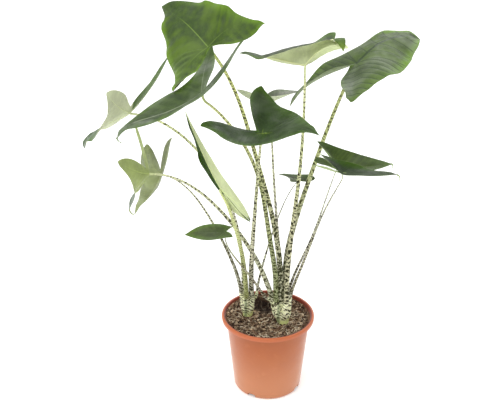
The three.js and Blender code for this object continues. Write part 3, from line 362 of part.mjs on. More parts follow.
const potProfile = [
  [0, 0],
  [POT_FOOT_RADIUS - 5.4, 0],
  [POT_FOOT_RADIUS - 2.4, 0.7],
  [POT_FOOT_RADIUS - 0.6, 2.4],
  [POT_FOOT_RADIUS, 5],
  [wallOutside(55), 55],
  [wallOutside(105), 105],
  [POT_NECK_RADIUS, 150],
  [POT_MOUTH_RADIUS - 1.8, 153.4],
  [POT_MOUTH_RADIUS + 0.4, 156.2],
  [POT_MOUTH_RADIUS + 1.7, 159.5],
  [POT_MOUTH_RADIUS + 2.4, 161.6],
  [POT_RIM_RADIUS - 2.6, 162.2],
  [POT_RIM_RADIUS - 1.9, 161.3],
  [POT_RIM_RADIUS - 1.9, lipFoot + 0.6],
  [POT_RIM_RADIUS - 1.1, lipFoot],
  [POT_RIM_RADIUS - 0.3, lipFoot + 0.5],
  [POT_RIM_RADIUS, 161.2],
  [POT_RIM_RADIUS - 0.6, 163.4],
  [POT_RIM_RADIUS - 2.2, POT_RIM_TOP],
  [POT_MOUTH_RADIUS + 1.9, POT_RIM_TOP],
  [POT_MOUTH_RADIUS + 0.6, 163.9],
  [POT_MOUTH_RADIUS, 162.6],
  [POT_MOUTH_RADIUS - 0.4, 160],
  [POT_MOUTH_RADIUS - 1.3, 157.4],
  [POT_MOUTH_RADIUS - 3.2, 154.5],
  [wallInside(151), 151],
  [wallInside(105), 105],
  [wallInside(55), 55],
  [wallInside(6), 6],
  [wallInside(6) - 2.4, POT_FLOOR + 0.5],
  [wallInside(6) - 5, POT_FLOOR],
  [0, POT_FLOOR],
];
let pot = toManifold(ringSolid(potProfile, POT_FACETS));
for (let i = 0; i < FOOT_SLOTS; i++) {
  const turn = ((FOOT_SLOT_TURN + (i * 360) / FOOT_SLOTS) * Math.PI) / 180;
  const slot = new THREE.BoxGeometry(12, FOOT_SLOT_WIDTH, FOOT_SLOT_HEIGHT + 1);
  slot.translate(POT_FOOT_RADIUS - 0.5, 0, FOOT_SLOT_HEIGHT / 2 - 0.5);
  slot.rotateZ(-Math.PI / 2 + turn);
  pot = pot.subtract(toManifold(slot));
}
add("pot", fromManifold(pot), plastic);

// ---------------------------------------------------------------- crowns
function crownRadius(side, z, angle) {
  const spec = CROWNS[side];
  const base = interpolate(spec.radius, z);
  const w = ease((z - 160) / (spec.top - 162));
  if (w === 0) return base;
  const cx = interpolate(spec.axis, spec.top, 1);
  const cy = interpolate(spec.axis, spec.top, 2);
  const dx = Math.cos(angle);
  const dy = Math.sin(angle);
  let reach = 4;
  for (const stalk of Object.values(STALKS)) {
    if (stalk.crown !== side) continue;
    const [x, y, , r] = stalk.path[0];
    const px = x - cx;
    const py = y - cy;
    const R = r + CROWN_SHEATH;
    const along = px * dx + py * dy;
    const off = px * dy - py * dx;
    if (Math.abs(off) < R) reach = Math.max(reach, along + Math.sqrt(R * R - off * off));
  }
  return base * (1 - w) + reach * w;
}

function crownGeometry(side, grow) {
  const spec = CROWNS[side];
  const sides = CROWN_SIDES;
  const levels = [CROWN_FOOT_Z - grow, 145, 154, 163, 171, 179, spec.top + (grow ? 10 : 0)];
  const points = [];
  const rings = levels.map((z) => {
    const zz = Math.min(z, spec.top);
    const cx = interpolate(spec.axis, zz, 1);
    const cy = interpolate(spec.axis, zz, 2);
    const ring = [];
    for (let k = 0; k < sides; k++) {
      const a = (k / sides) * 2 * Math.PI;
      const r = crownRadius(side, zz, a) + grow;
      points.push([cx + r * Math.cos(a), cy + r * Math.sin(a), z]);
      ring.push(points.length - 1);
    }
    return ring;
  });
  const faces = [];
  for (let i = 0; i + 1 < rings.length; i++)
    for (let k = 0; k < sides; k++) {
      const l = (k + 1) % sides;
      faces.push([rings[i][k], rings[i][l], rings[i + 1][l]], [rings[i][k], rings[i + 1][l], rings[i + 1][k]]);
    }
  const cap = (ring, z, up) => {
    const x = ring.reduce((s, v) => s + points[v][0], 0) / sides;
    const y = ring.reduce((s, v) => s + points[v][1], 0) / sides;
    points.push([x, y, z]);
    const c = points.length - 1;
    for (let k = 0; k < sides; k++) {
      const l = (k + 1) % sides;
      faces.push(up ? [ring[k], ring[l], c] : [ring[l], ring[k], c]);
    }
  };
  cap(rings[0], levels[0] - 2.5, false);
  cap(rings[rings.length - 1], levels[levels.length - 1], true);
  return solidFrom(points, faces);
}
for (const side of Object.keys(CROWNS)) add(`crown_${side}`, crownGeometry(side, 0), crownSkin);

// ---------------------------------------------------------------- soil
const soilTop = (x, y) =>
  SOIL_TOP +
  SOIL_LUMP * (0.5 * Math.sin(x * 0.11 + 1.3) * Math.cos(y * 0.13 - 0.4) + 0.35 * Math.sin(x * 0.23 - y * 0.19) + 0.3 * Math.cos(y * 0.31 + x * 0.07));
{
  const facets = 36;
  const points = [];
  const faces = [];
  const ring = (r, z) => {
    const ids = [];
    for (let k = 0; k < facets; k++) {
      const a = (k / facets) * 2 * Math.PI;
      const x = r * Math.cos(a);
      const y = r * Math.sin(a);
      points.push([x, y, z === null ? soilTop(x, y) : z]);
      ids.push(points.length - 1);
    }
    return ids;
  };
  const inside = (z) => (wallInside(z) - GAP - 0.1) * Math.cos(Math.PI / POT_FACETS);
  const rings = [
    ring(inside(6) - 6, POT_FLOOR + GAP),
    ring(inside(7) - 0.6, 7),
    ring(inside(150) - 0.2, 150.6),
    ring(POT_MOUTH_RADIUS - 4.4, 154.7),
    ring(POT_MOUTH_RADIUS - 2.5, 157.2),
    ring(POT_MOUTH_RADIUS - 5, null),
    ring(62, null),
    ring(40, null),
    ring(19, null),
  ];
  for (let i = 0; i + 1 < rings.length; i++)
    for (let k = 0; k < facets; k++) {
      const l = (k + 1) % facets;
      faces.push([rings[i][k], rings[i][l], rings[i + 1][l]], [rings[i][k], rings[i + 1][l], rings[i + 1][k]]);
    }
  points.push([0, 0, POT_FLOOR + GAP], [0, 0, soilTop(0, 0)]);
  const bottom = points.length - 2;
  const top = points.length - 1;
  for (let k = 0; k < facets; k++) {
    const l = (k + 1) % facets;
    faces.push([rings[0][l], rings[0][k], bottom], [rings[rings.length - 1][k], rings[rings.length - 1][l], top]);
  }
  let soil = toManifold(solidFrom(points, faces));
  for (const side of Object.keys(CROWNS)) soil = soil.subtract(toManifold(crownGeometry(side, GAP + 0.05)));
  add("potting_soil", fromManifold(soil), peat);
}

// ---------------------------------------------------------------- blades
const V = (a) => new THREE.Vector3(...a);

function bladeGeometry({ rays, rings, net }, middle, edge) {
  const pts = net.map(V);
  const id = (r, k) => 1 + r * rays + (k % rays);
  const tris = [];
  for (let k = 0; k < rays; k++) tris.push([0, id(0, k), id(0, k + 1)]);
  for (let r = 0; r + 1 < rings; r++)
    for (let k = 0; k < rays; k++) tris.push([id(r, k), id(r + 1, k), id(r + 1, k + 1)], [id(r, k), id(r + 1, k + 1), id(r, k + 1)]);
  const normals = pts.map(() => new THREE.Vector3());
  const ab = new THREE.Vector3();
  const ac = new THREE.Vector3();
  for (const [a, b, c] of tris) {
    ab.subVectors(pts[b], pts[a]);
    ac.subVectors(pts[c], pts[a]);
    const n = ab.cross(ac).negate(); // towards the upper side
    normals[a].add(n);
    normals[b].add(n);
    normals[c].add(n);
  }
  const points = [];
  const half = (i) => {
    if (i === 0) return middle / 2;
    const r = Math.floor((i - 1) / rays);
    return (middle + (edge - middle) * (r / (rings - 1))) / 2;
  };
  for (const s of [1, -1])
    pts.forEach((p, i) => {
      const q = p.clone().addScaledVector(normals[i].clone().normalize(), s * half(i));
      points.push([q.x, q.y, q.z]);
    });
  const n = pts.length;
  const faces = [];
  for (const [a, b, c] of tris) faces.push([a, c, b], [a + n, b + n, c + n]);
  for (let k = 0; k < rays; k++) {
    const a = id(rings - 1, k);
    const b = id(rings - 1, k + 1);
    faces.push([a, b, b + n], [a, b + n, a + n]);
  }
  return solidFrom(points, faces);
}

const facing = (solid, geometry) => {
  // turn the faces round if the net ran the other way
  if (solid.volume() >= 0) return geometry;
  const p = geometry.attributes.position.array;
  for (let i = 0; i < p.length; i += 9)
    for (let k = 0; k < 3; k++) [p[i + 3 + k], p[i + 6 + k]] = [p[i + 6 + k], p[i + 3 + k]];
  return geometry;
};

for (const [name, blade] of Object.entries(BLADES)) {
  const geometry = bladeGeometry(blade, BLADE_THICK, BLADE_EDGE);
  add(`blade_${name}`, facing(toManifold(geometry), geometry), bladeSkin);
}

// ---------------------------------------------------------------- stalks
function stalkGeometry({ path, sides }, overrun) {
  const pts = path.map((p) => new THREE.Vector3(p[0], p[1], p[2]));
  const radii = path.map((p) => p[3]);
  const n = pts.length;
  const tangents = pts.map((p, i) =>
    pts[Math.min(n - 1, i + 1)].clone().sub(pts[Math.max(0, i - 1)]).normalize(),
  );
  pts[n - 1].addScaledVector(tangents[n - 1], overrun);
  tangents[0].set(0, 0, 1); // the foot is cut level
  let side = new THREE.Vector3(1, 0, 0);
  const points = [];
  const rings = pts.map((p, i) => {
    side.addScaledVector(tangents[i], -side.dot(tangents[i])).normalize();
    const other = new THREE.Vector3().crossVectors(tangents[i], side);
    const ring = [];
    for (let k = 0; k < sides; k++) {
      const a = (k / sides) * 2 * Math.PI;
      const q = p.clone().addScaledVector(side, radii[i] * Math.cos(a)).addScaledVector(other, radii[i] * Math.sin(a));
      points.push([q.x, q.y, q.z]);
      ring.push(points.length - 1);
    }
    return ring;
  });
  const faces = [];
  for (let i = 0; i + 1 < n; i++)
    for (let k = 0; k < sides; k++) {
      const l = (k + 1) % sides;
      faces.push([rings[i][k], rings[i][l], rings[i + 1][l]], [rings[i][k], rings[i + 1][l], rings[i + 1][k]]);
    }
  for (let k = 1; k + 1 < sides; k++) {
    faces.push([rings[0][0], rings[0][k + 1], rings[0][k]]);
    faces.push([rings[n - 1][0], rings[n - 1][k], rings[n - 1][k + 1]]);
  }
  return solidFrom(points, faces);
}

for (const [name, stalk] of Object.entries(STALKS)) {
  const grown = BLADE_THICK + 2 * GAP + 0.1;
  const geometry = bladeGeometry(BLADES[name], grown, grown);
  const keepOut = toManifold(facing(toManifold(geometry), geometry));
  const solid = toManifold(stalkGeometry(stalk, 1.0)).subtract(keepOut);
  add(`stalk_${name}`, fromManifold(largest(solid)), stalkSkin);
}

export default part;
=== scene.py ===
# Looks of the potted zebrina alocasia: a nursery pot, the soil in it, two crowns, and fourteen leaves.
import math
import random

import bmesh
import bpy
import numpy as np
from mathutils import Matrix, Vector, noise


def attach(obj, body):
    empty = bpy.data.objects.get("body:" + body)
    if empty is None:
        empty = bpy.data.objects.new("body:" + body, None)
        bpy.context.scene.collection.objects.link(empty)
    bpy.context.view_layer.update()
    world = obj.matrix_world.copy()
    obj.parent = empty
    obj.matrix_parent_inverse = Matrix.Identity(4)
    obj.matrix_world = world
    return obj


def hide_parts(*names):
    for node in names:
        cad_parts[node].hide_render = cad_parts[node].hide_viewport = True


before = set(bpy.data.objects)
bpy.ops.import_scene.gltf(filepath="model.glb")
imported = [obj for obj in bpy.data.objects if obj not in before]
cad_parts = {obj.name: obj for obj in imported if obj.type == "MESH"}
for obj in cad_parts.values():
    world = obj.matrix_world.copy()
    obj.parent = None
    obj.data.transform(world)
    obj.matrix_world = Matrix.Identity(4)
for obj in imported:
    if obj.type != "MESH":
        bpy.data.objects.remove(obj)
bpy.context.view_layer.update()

MM = 0.001

# The middle surface of each blade, in tenths of a millimetre: first where the stalk meets it, then 8 rings of 62 points.
NETS = {
    "crest": [
        -1131,280,7133,-1236,434,7210,-1225,426,7209,-1215,417,7208,-1204,409,7208,-1193,401,7207,-1182,392,7207,-1171,384,7207,-1160,376,7207,-1150,368,7207,-1139,359,7207,-1129,350,7206,-1119,341,7204,-1110,331,7202,-1101,322,7199,-1092,312,7195,-1084,302,7191,-1073,294,7189,-1063,285,7188,-1052,277,7188,-1041,269,7189,-1031,260,7188,-1034,255,7184,-1040,253,7180,-1047,250,7175,-1055,249,7170,-1064,248,7165,-1074,248,7160,-1084,248,7155,-1095,250,7150,-1106,253,7145,
        -1117,259,7140,-1127,267,7135,-1129,251,7132,-1133,238,7127,-1137,226,7122,-1142,216,7116,-1148,207,7110,-1154,199,7104,-1160,192,7098,-1166,186,7092,-1172,181,7087,-1178,178,7082,-1184,177,7078,-1188,191,7081,-1190,205,7085,-1193,219,7089,-1196,232,7094,-1200,246,7099,-1206,258,7105,-1212,271,7110,-1218,284,7116,-1222,296,7122,-1225,309,7129,-1228,322,7136,-1229,335,7143,-1230,348,7151,-1231,360,7159,-1231,373,7167,-1231,385,7176,-1232,398,7184,-1233,410,7193,
        -1234,422,7201,-1364,617,7302,-1340,599,7300,-1317,580,7298,-1293,562,7297,-1269,544,7297,-1245,526,7296,-1221,508,7297,-1197,490,7297,-1174,471,7297,-1151,452,7296,-1129,432,7294,-1108,412,7291,-1087,391,7286,-1067,370,7279,-1047,349,7271,-1028,328,7262,-1005,310,7257,-981,292,7255,-956,274,7255,-932,257,7256,-910,237,7255,-917,226,7245,-931,220,7235,-946,215,7225,-963,211,7214,-983,209,7203,-1004,209,7193,-1027,210,7182,-1051,214,7171,-1076,221,7160,
        -1100,234,7149,-1123,251,7137,-1127,217,7130,-1134,188,7121,-1144,162,7109,-1156,139,7095,-1168,120,7082,-1181,102,7069,-1193,87,7056,-1206,74,7044,-1219,63,7032,-1232,55,7021,-1246,54,7012,-1255,84,7018,-1260,115,7027,-1266,145,7037,-1274,174,7049,-1284,203,7061,-1296,230,7072,-1310,258,7084,-1322,285,7096,-1331,314,7110,-1339,342,7124,-1345,370,7140,-1349,399,7156,-1351,427,7173,-1352,455,7190,-1353,482,7208,-1354,510,7227,-1355,537,7245,-1357,564,7264,
        -1360,591,7283,-1517,834,7399,-1478,803,7396,-1440,772,7395,-1401,743,7394,-1362,713,7394,-1323,683,7394,-1283,654,7395,-1244,625,7396,-1206,594,7398,-1168,563,7397,-1132,530,7395,-1096,496,7391,-1062,461,7385,-1029,427,7374,-996,392,7361,-964,359,7345,-926,328,7337,-886,299,7333,-845,271,7333,-805,242,7333,-769,210,7329,-780,192,7313,-801,182,7296,-826,174,7279,-854,168,7262,-886,165,7244,-921,164,7227,-959,166,7210,-999,171,7194,-1040,184,7177,
        -1080,205,7160,-1117,232,7140,-1125,177,7130,-1137,129,7114,-1153,87,7093,-1172,50,7071,-1192,18,7048,-1212,-11,7027,-1233,-36,7006,-1254,-57,6986,-1276,-74,6967,-1297,-88,6949,-1319,-90,6934,-1332,-40,6941,-1341,10,6957,-1350,59,6974,-1363,106,6993,-1380,153,7013,-1400,197,7032,-1423,242,7050,-1442,287,7069,-1458,333,7090,-1471,380,7113,-1481,427,7137,-1488,473,7162,-1492,519,7190,-1495,565,7218,-1496,611,7247,-1499,656,7277,-1502,700,7308,-1505,745,7339,
        -1510,789,7369,-1669,1060,7467,-1616,1016,7472,-1563,973,7471,-1508,932,7473,-1453,891,7474,-1398,850,7477,-1343,809,7481,-1289,768,7486,-1235,725,7490,-1183,680,7493,-1132,632,7491,-1083,583,7488,-1036,534,7481,-991,483,7469,-945,435,7452,-901,388,7430,-847,346,7417,-792,307,7412,-735,267,7410,-678,227,7409,-626,183,7400,-640,160,7375,-669,146,7351,-703,134,7326,-743,125,7302,-787,120,7279,-836,119,7256,-889,121,7234,-945,129,7213,-1005,147,7195,
        -1061,177,7173,-1112,213,7144,-1124,137,7129,-1140,70,7107,-1162,11,7078,-1187,-39,7046,-1215,-84,7014,-1244,-123,6984,-1272,-158,6954,-1303,-187,6927,-1333,-211,6900,-1363,-229,6877,-1394,-231,6854,-1411,-162,6864,-1420,-91,6879,-1434,-23,6904,-1451,43,6929,-1473,108,6956,-1501,171,6979,-1530,236,6999,-1557,300,7023,-1577,366,7049,-1595,431,7078,-1609,496,7110,-1619,560,7145,-1625,624,7182,-1630,687,7220,-1635,749,7261,-1640,812,7302,-1647,873,7345,-1652,934,7387,
        -1660,997,7427,-1812,1299,7510,-1744,1242,7519,-1677,1186,7528,-1607,1133,7533,-1537,1080,7540,-1466,1026,7547,-1396,972,7557,-1326,918,7566,-1259,861,7576,-1193,801,7581,-1130,737,7585,-1069,673,7582,-1009,607,7577,-952,541,7562,-894,478,7543,-835,420,7512,-767,366,7496,-695,314,7487,-622,264,7484,-548,214,7478,-480,158,7465,-498,129,7432,-533,112,7399,-577,96,7367,-628,85,7336,-685,78,7307,-749,75,7281,-817,77,7254,-892,87,7232,-968,109,7211,
        -1042,148,7186,-1107,195,7149,-1122,97,7129,-1143,11,7100,-1170,-64,7062,-1203,-129,7021,-1239,-185,6981,-1276,-236,6941,-1316,-279,6905,-1355,-316,6870,-1397,-346,6840,-1437,-369,6810,-1475,-371,6778,-1486,-279,6775,-1498,-188,6795,-1509,-97,6818,-1531,-11,6849,-1556,74,6879,-1588,159,6903,-1625,242,6926,-1653,328,6952,-1680,412,6984,-1702,496,7020,-1720,579,7062,-1733,662,7105,-1742,743,7152,-1751,822,7203,-1759,900,7256,-1774,975,7312,-1785,1052,7366,-1792,1132,7418,
        -1803,1213,7469,-1924,1533,7520,-1858,1457,7558,-1778,1388,7571,-1695,1323,7588,-1610,1258,7598,-1525,1193,7608,-1441,1127,7622,-1359,1059,7638,-1277,989,7650,-1201,915,7663,-1126,837,7668,-1055,756,7669,-984,676,7664,-918,592,7653,-849,513,7632,-772,451,7588,-690,385,7567,-604,323,7554,-513,266,7544,-424,206,7536,-346,135,7524,-366,100,7485,-409,80,7444,-458,64,7400,-519,50,7363,-588,40,7327,-666,36,7296,-751,36,7271,-841,48,7245,-935,75,7227,
        -1024,122,7198,-1103,178,7153,-1121,60,7129,-1146,-43,7094,-1178,-134,7048,-1217,-212,6998,-1261,-280,6949,-1310,-341,6906,-1358,-393,6862,-1415,-436,6831,-1468,-471,6796,-1515,-498,6758,-1559,-499,6718,-1573,-389,6714,-1569,-275,6714,-1582,-165,6739,-1597,-56,6764,-1623,50,6795,-1657,155,6819,-1691,261,6840,-1727,365,6871,-1759,467,6910,-1788,567,6955,-1807,668,7003,-1822,767,7055,-1831,866,7111,-1842,960,7173,-1871,1043,7243,-1891,1131,7311,-1898,1229,7368,-1907,1326,7427,
        -1914,1430,7473,-2030,1749,7521,-1954,1660,7566,-1878,1571,7616,-1780,1495,7636,-1680,1421,7655,-1580,1346,7666,-1477,1274,7673,-1382,1195,7692,-1292,1111,7716,-1206,1023,7733,-1119,934,7740,-1036,840,7738,-962,739,7745,-889,639,7737,-811,539,7723,-716,476,7659,-619,402,7632,-516,335,7608,-411,269,7594,-311,195,7596,-223,113,7583,-247,71,7539,-296,50,7490,-352,32,7439,-418,20,7386,-498,9,7345,-587,2,7307,-686,2,7278,-794,12,7260,-903,44,7241,
        -1007,97,7209,-1099,162,7157,-1120,25,7129,-1149,-94,7089,-1185,-198,7034,-1229,-288,6976,-1283,-367,6921,-1340,-437,6871,-1413,-496,6842,-1479,-545,6806,-1538,-586,6762,-1592,-617,6717,-1631,-619,6661,-1657,-491,6667,-1653,-359,6666,-1644,-226,6662,-1660,-98,6689,-1676,32,6710,-1704,159,6732,-1742,284,6754,-1781,405,6790,-1821,522,6836,-1859,636,6890,-1882,753,6946,-1889,873,7001,-1898,987,7067,-1940,1079,7150,-1977,1174,7234,-1982,1286,7300,-1989,1400,7364,-1988,1519,7415,
        -1994,1639,7466,-2123,1950,7516,-2046,1845,7579,-1962,1745,7639,-1862,1650,7686,-1747,1567,7707,-1629,1487,7719,-1510,1407,7723,-1392,1327,7720,-1287,1232,7747,-1211,1122,7800,-1110,1022,7807,-1010,923,7789,-929,808,7801,-867,681,7817,-776,562,7806,-661,502,7720,-550,419,7687,-434,344,7657,-316,270,7636,-204,187,7641,-102,98,7608,-145,40,7600,-201,18,7545,-254,5,7475,-327,-9,7414,-413,-18,7359,-515,-27,7318,-626,-31,7284,-748,-20,7264,-874,15,7254,
        -991,75,7218,-1095,147,7160,-1118,-6,7130,-1151,-140,7083,-1191,-257,7021,-1240,-358,6954,-1301,-447,6892,-1384,-523,6861,-1466,-589,6829,-1542,-643,6785,-1607,-689,6735,-1660,-726,6676,-1700,-729,6610,-1734,-585,6620,-1726,-436,6617,-1715,-286,6609,-1715,-135,6616,-1726,14,6634,-1744,163,6650,-1780,308,6672,-1825,444,6713,-1878,573,6768,-1924,700,6831,-1943,835,6890,-1948,970,6952,-1972,1092,7033,-2022,1195,7128,-2070,1299,7218,-2072,1426,7296,-2046,1566,7336,-2046,1700,7394,
        -2079,1826,7455,
    ],
    "upper_left": [
        -1192,-1048,6679,-1328,-1105,6604,-1321,-1095,6608,-1314,-1085,6612,-1308,-1075,6616,-1301,-1065,6621,-1295,-1056,6626,-1288,-1046,6631,-1282,-1037,6636,-1274,-1028,6642,-1267,-1021,6649,-1258,-1014,6655,-1249,-1009,6663,-1240,-1004,6670,-1231,-1000,6678,-1222,-997,6686,-1213,-993,6694,-1206,-989,6703,-1198,-984,6712,-1191,-979,6721,-1184,-975,6730,-1175,-972,6739,-1173,-977,6738,-1172,-983,6736,-1172,-989,6732,-1172,-995,6729,-1172,-1002,6725,-1173,-1009,6720,-1174,-1016,6715,-1175,-1023,6709,-1178,-1031,6702,
        -1181,-1038,6695,-1184,-1044,6689,-1174,-1044,6700,-1165,-1045,6711,-1157,-1048,6720,-1150,-1051,6729,-1143,-1055,6738,-1138,-1059,6746,-1132,-1063,6753,-1128,-1067,6760,-1124,-1072,6767,-1121,-1076,6772,-1119,-1082,6776,-1127,-1088,6767,-1136,-1093,6758,-1145,-1098,6748,-1154,-1102,6738,-1163,-1106,6728,-1172,-1109,6717,-1181,-1113,6708,-1191,-1116,6698,-1201,-1119,6688,-1211,-1122,6679,-1222,-1123,6670,-1233,-1124,6661,-1244,-1123,6653,-1256,-1122,6645,-1268,-1119,6637,-1279,-1116,6630,-1291,-1113,6623,-1303,-1110,6617,
        -1316,-1107,6610,-1495,-1173,6517,-1479,-1152,6526,-1464,-1131,6535,-1450,-1109,6544,-1436,-1087,6554,-1421,-1065,6564,-1407,-1044,6575,-1392,-1024,6587,-1376,-1005,6601,-1358,-988,6615,-1340,-974,6630,-1320,-962,6645,-1300,-952,6662,-1279,-943,6679,-1259,-936,6696,-1240,-929,6715,-1223,-919,6734,-1206,-909,6753,-1190,-899,6773,-1174,-889,6793,-1156,-883,6812,-1151,-893,6810,-1149,-906,6804,-1148,-919,6797,-1148,-933,6789,-1148,-947,6780,-1150,-963,6769,-1152,-979,6758,-1156,-995,6745,-1161,-1011,6731,
        -1168,-1026,6715,-1175,-1040,6700,-1152,-1039,6726,-1133,-1042,6748,-1115,-1047,6769,-1100,-1055,6789,-1086,-1063,6808,-1073,-1072,6826,-1062,-1081,6842,-1052,-1091,6857,-1043,-1100,6871,-1036,-1110,6884,-1032,-1123,6892,-1051,-1137,6873,-1070,-1148,6852,-1089,-1158,6830,-1109,-1167,6808,-1129,-1175,6786,-1149,-1182,6764,-1169,-1191,6743,-1190,-1198,6721,-1213,-1205,6701,-1236,-1210,6681,-1260,-1214,6662,-1285,-1215,6643,-1310,-1214,6625,-1335,-1210,6607,-1361,-1205,6590,-1387,-1199,6574,-1414,-1193,6559,-1440,-1186,6544,
        -1467,-1179,6531,-1700,-1253,6439,-1674,-1218,6452,-1649,-1183,6465,-1625,-1147,6480,-1601,-1111,6495,-1577,-1076,6511,-1552,-1042,6528,-1526,-1009,6547,-1499,-979,6567,-1470,-952,6589,-1438,-929,6611,-1405,-909,6636,-1371,-892,6660,-1337,-879,6686,-1303,-866,6713,-1271,-854,6742,-1242,-838,6772,-1215,-822,6803,-1189,-805,6835,-1162,-790,6867,-1133,-780,6898,-1124,-797,6894,-1120,-817,6884,-1118,-839,6873,-1118,-861,6860,-1119,-885,6845,-1122,-911,6828,-1126,-937,6809,-1133,-963,6789,-1141,-989,6766,
        -1154,-1013,6738,-1165,-1035,6713,-1127,-1033,6754,-1095,-1037,6791,-1067,-1046,6826,-1042,-1058,6859,-1019,-1072,6890,-999,-1086,6919,-980,-1101,6947,-964,-1116,6972,-950,-1132,6995,-938,-1148,7015,-932,-1169,7028,-961,-1193,6997,-993,-1211,6962,-1024,-1227,6927,-1056,-1242,6892,-1089,-1255,6856,-1122,-1267,6821,-1156,-1281,6787,-1192,-1292,6754,-1230,-1304,6722,-1269,-1312,6691,-1309,-1318,6661,-1351,-1320,6632,-1392,-1318,6603,-1435,-1312,6577,-1477,-1304,6550,-1521,-1295,6525,-1565,-1285,6501,-1609,-1273,6479,
        -1654,-1263,6457,-1913,-1331,6380,-1875,-1283,6393,-1839,-1235,6412,-1805,-1185,6429,-1770,-1136,6449,-1735,-1088,6468,-1699,-1041,6491,-1662,-995,6513,-1623,-954,6539,-1581,-916,6565,-1537,-884,6595,-1490,-856,6625,-1443,-833,6658,-1394,-814,6692,-1347,-796,6728,-1302,-779,6767,-1262,-757,6808,-1224,-734,6852,-1187,-711,6896,-1150,-690,6941,-1109,-678,6985,-1096,-702,6979,-1090,-729,6965,-1087,-759,6949,-1087,-791,6930,-1089,-824,6909,-1093,-859,6886,-1100,-895,6861,-1108,-932,6833,-1122,-968,6800,
        -1139,-1002,6762,-1155,-1030,6725,-1102,-1026,6782,-1057,-1031,6833,-1018,-1043,6882,-984,-1060,6929,-953,-1079,6973,-926,-1099,7014,-900,-1119,7052,-879,-1140,7088,-859,-1162,7120,-843,-1185,7148,-835,-1213,7167,-874,-1247,7123,-916,-1273,7074,-959,-1296,7025,-1002,-1318,6974,-1047,-1336,6925,-1094,-1352,6875,-1142,-1371,6829,-1193,-1387,6784,-1247,-1402,6743,-1302,-1413,6702,-1360,-1421,6664,-1418,-1424,6625,-1478,-1420,6590,-1538,-1412,6554,-1599,-1401,6522,-1660,-1388,6489,-1722,-1374,6460,-1784,-1359,6430,
        -1848,-1344,6405,-2130,-1410,6337,-2081,-1349,6355,-2032,-1288,6371,-1987,-1225,6392,-1940,-1162,6411,-1894,-1101,6434,-1847,-1040,6456,-1799,-982,6483,-1747,-928,6509,-1693,-879,6541,-1633,-837,6573,-1573,-801,6611,-1511,-771,6649,-1448,-747,6691,-1388,-723,6737,-1330,-702,6787,-1279,-673,6840,-1231,-645,6898,-1185,-616,6956,-1139,-592,7016,-1087,-578,7073,-1069,-608,7066,-1060,-642,7047,-1056,-680,7025,-1054,-720,7001,-1057,-763,6974,-1063,-807,6944,-1071,-854,6912,-1084,-901,6876,-1102,-948,6835,
        -1125,-989,6786,-1144,-1025,6738,-1076,-1020,6811,-1020,-1025,6876,-970,-1039,6940,-927,-1061,7000,-889,-1085,7057,-854,-1110,7111,-824,-1136,7161,-796,-1162,7207,-772,-1190,7248,-751,-1219,7285,-738,-1257,7307,-785,-1302,7247,-838,-1336,7184,-890,-1367,7118,-945,-1394,7053,-1001,-1418,6988,-1061,-1438,6925,-1123,-1463,6866,-1189,-1483,6810,-1259,-1502,6758,-1333,-1516,6709,-1408,-1525,6662,-1485,-1528,6617,-1562,-1524,6572,-1641,-1512,6532,-1720,-1498,6492,-1800,-1481,6457,-1880,-1463,6421,-1963,-1444,6390,
        -2045,-1426,6360,-2329,-1484,6292,-2272,-1411,6320,-2211,-1338,6338,-2155,-1263,6355,-2098,-1188,6376,-2041,-1114,6397,-1984,-1041,6421,-1924,-970,6447,-1861,-904,6478,-1793,-844,6510,-1722,-793,6548,-1646,-748,6587,-1569,-710,6631,-1493,-681,6682,-1420,-652,6736,-1351,-627,6798,-1290,-592,6864,-1233,-559,6935,-1180,-527,7009,-1125,-499,7083,-1070,-486,7159,-1049,-523,7149,-1037,-564,7126,-1027,-608,7097,-1025,-656,7067,-1025,-706,7033,-1033,-760,6997,-1044,-816,6959,-1060,-873,6916,-1084,-928,6866,
        -1112,-978,6808,-1135,-1020,6750,-1053,-1014,6837,-984,-1019,6915,-925,-1036,6992,-875,-1060,7066,-829,-1089,7136,-791,-1118,7203,-755,-1149,7264,-724,-1182,7320,-695,-1215,7370,-668,-1250,7413,-651,-1295,7438,-705,-1351,7365,-762,-1394,7284,-823,-1432,7203,-886,-1466,7121,-953,-1495,7042,-1024,-1520,6965,-1099,-1549,6893,-1181,-1573,6827,-1267,-1596,6766,-1357,-1613,6710,-1449,-1623,6654,-1543,-1627,6600,-1637,-1621,6548,-1733,-1607,6500,-1830,-1589,6458,-1927,-1568,6416,-2027,-1546,6382,-2126,-1523,6347,
        -2228,-1503,6321,-2486,-1552,6193,-2424,-1469,6230,-2366,-1385,6271,-2301,-1299,6294,-2238,-1212,6322,-2172,-1126,6348,-2107,-1041,6378,-2038,-959,6408,-1965,-882,6441,-1886,-813,6479,-1801,-751,6518,-1712,-699,6562,-1619,-654,6606,-1529,-619,6663,-1444,-585,6729,-1364,-556,6802,-1294,-516,6880,-1231,-480,6966,-1170,-443,7054,-1118,-418,7152,-1055,-405,7242,-1032,-448,7231,-1020,-495,7202,-1008,-545,7168,-998,-597,7129,-998,-655,7089,-1003,-716,7045,-1016,-781,7001,-1039,-847,6953,-1067,-911,6896,
        -1100,-967,6828,-1126,-1016,6761,-1031,-1008,6861,-952,-1014,6951,-884,-1032,7041,-826,-1060,7127,-779,-1091,7212,-736,-1125,7290,-696,-1161,7362,-659,-1198,7426,-624,-1238,7483,-592,-1278,7533,-561,-1329,7554,-627,-1395,7472,-693,-1445,7377,-755,-1491,7277,-827,-1530,7181,-901,-1565,7085,-983,-1594,6994,-1072,-1629,6912,-1166,-1657,6834,-1269,-1684,6767,-1378,-1702,6706,-1485,-1714,6642,-1592,-1718,6576,-1702,-1710,6516,-1815,-1693,6464,-1928,-1672,6416,-2043,-1647,6373,-2160,-1621,6337,-2279,-1592,6308,
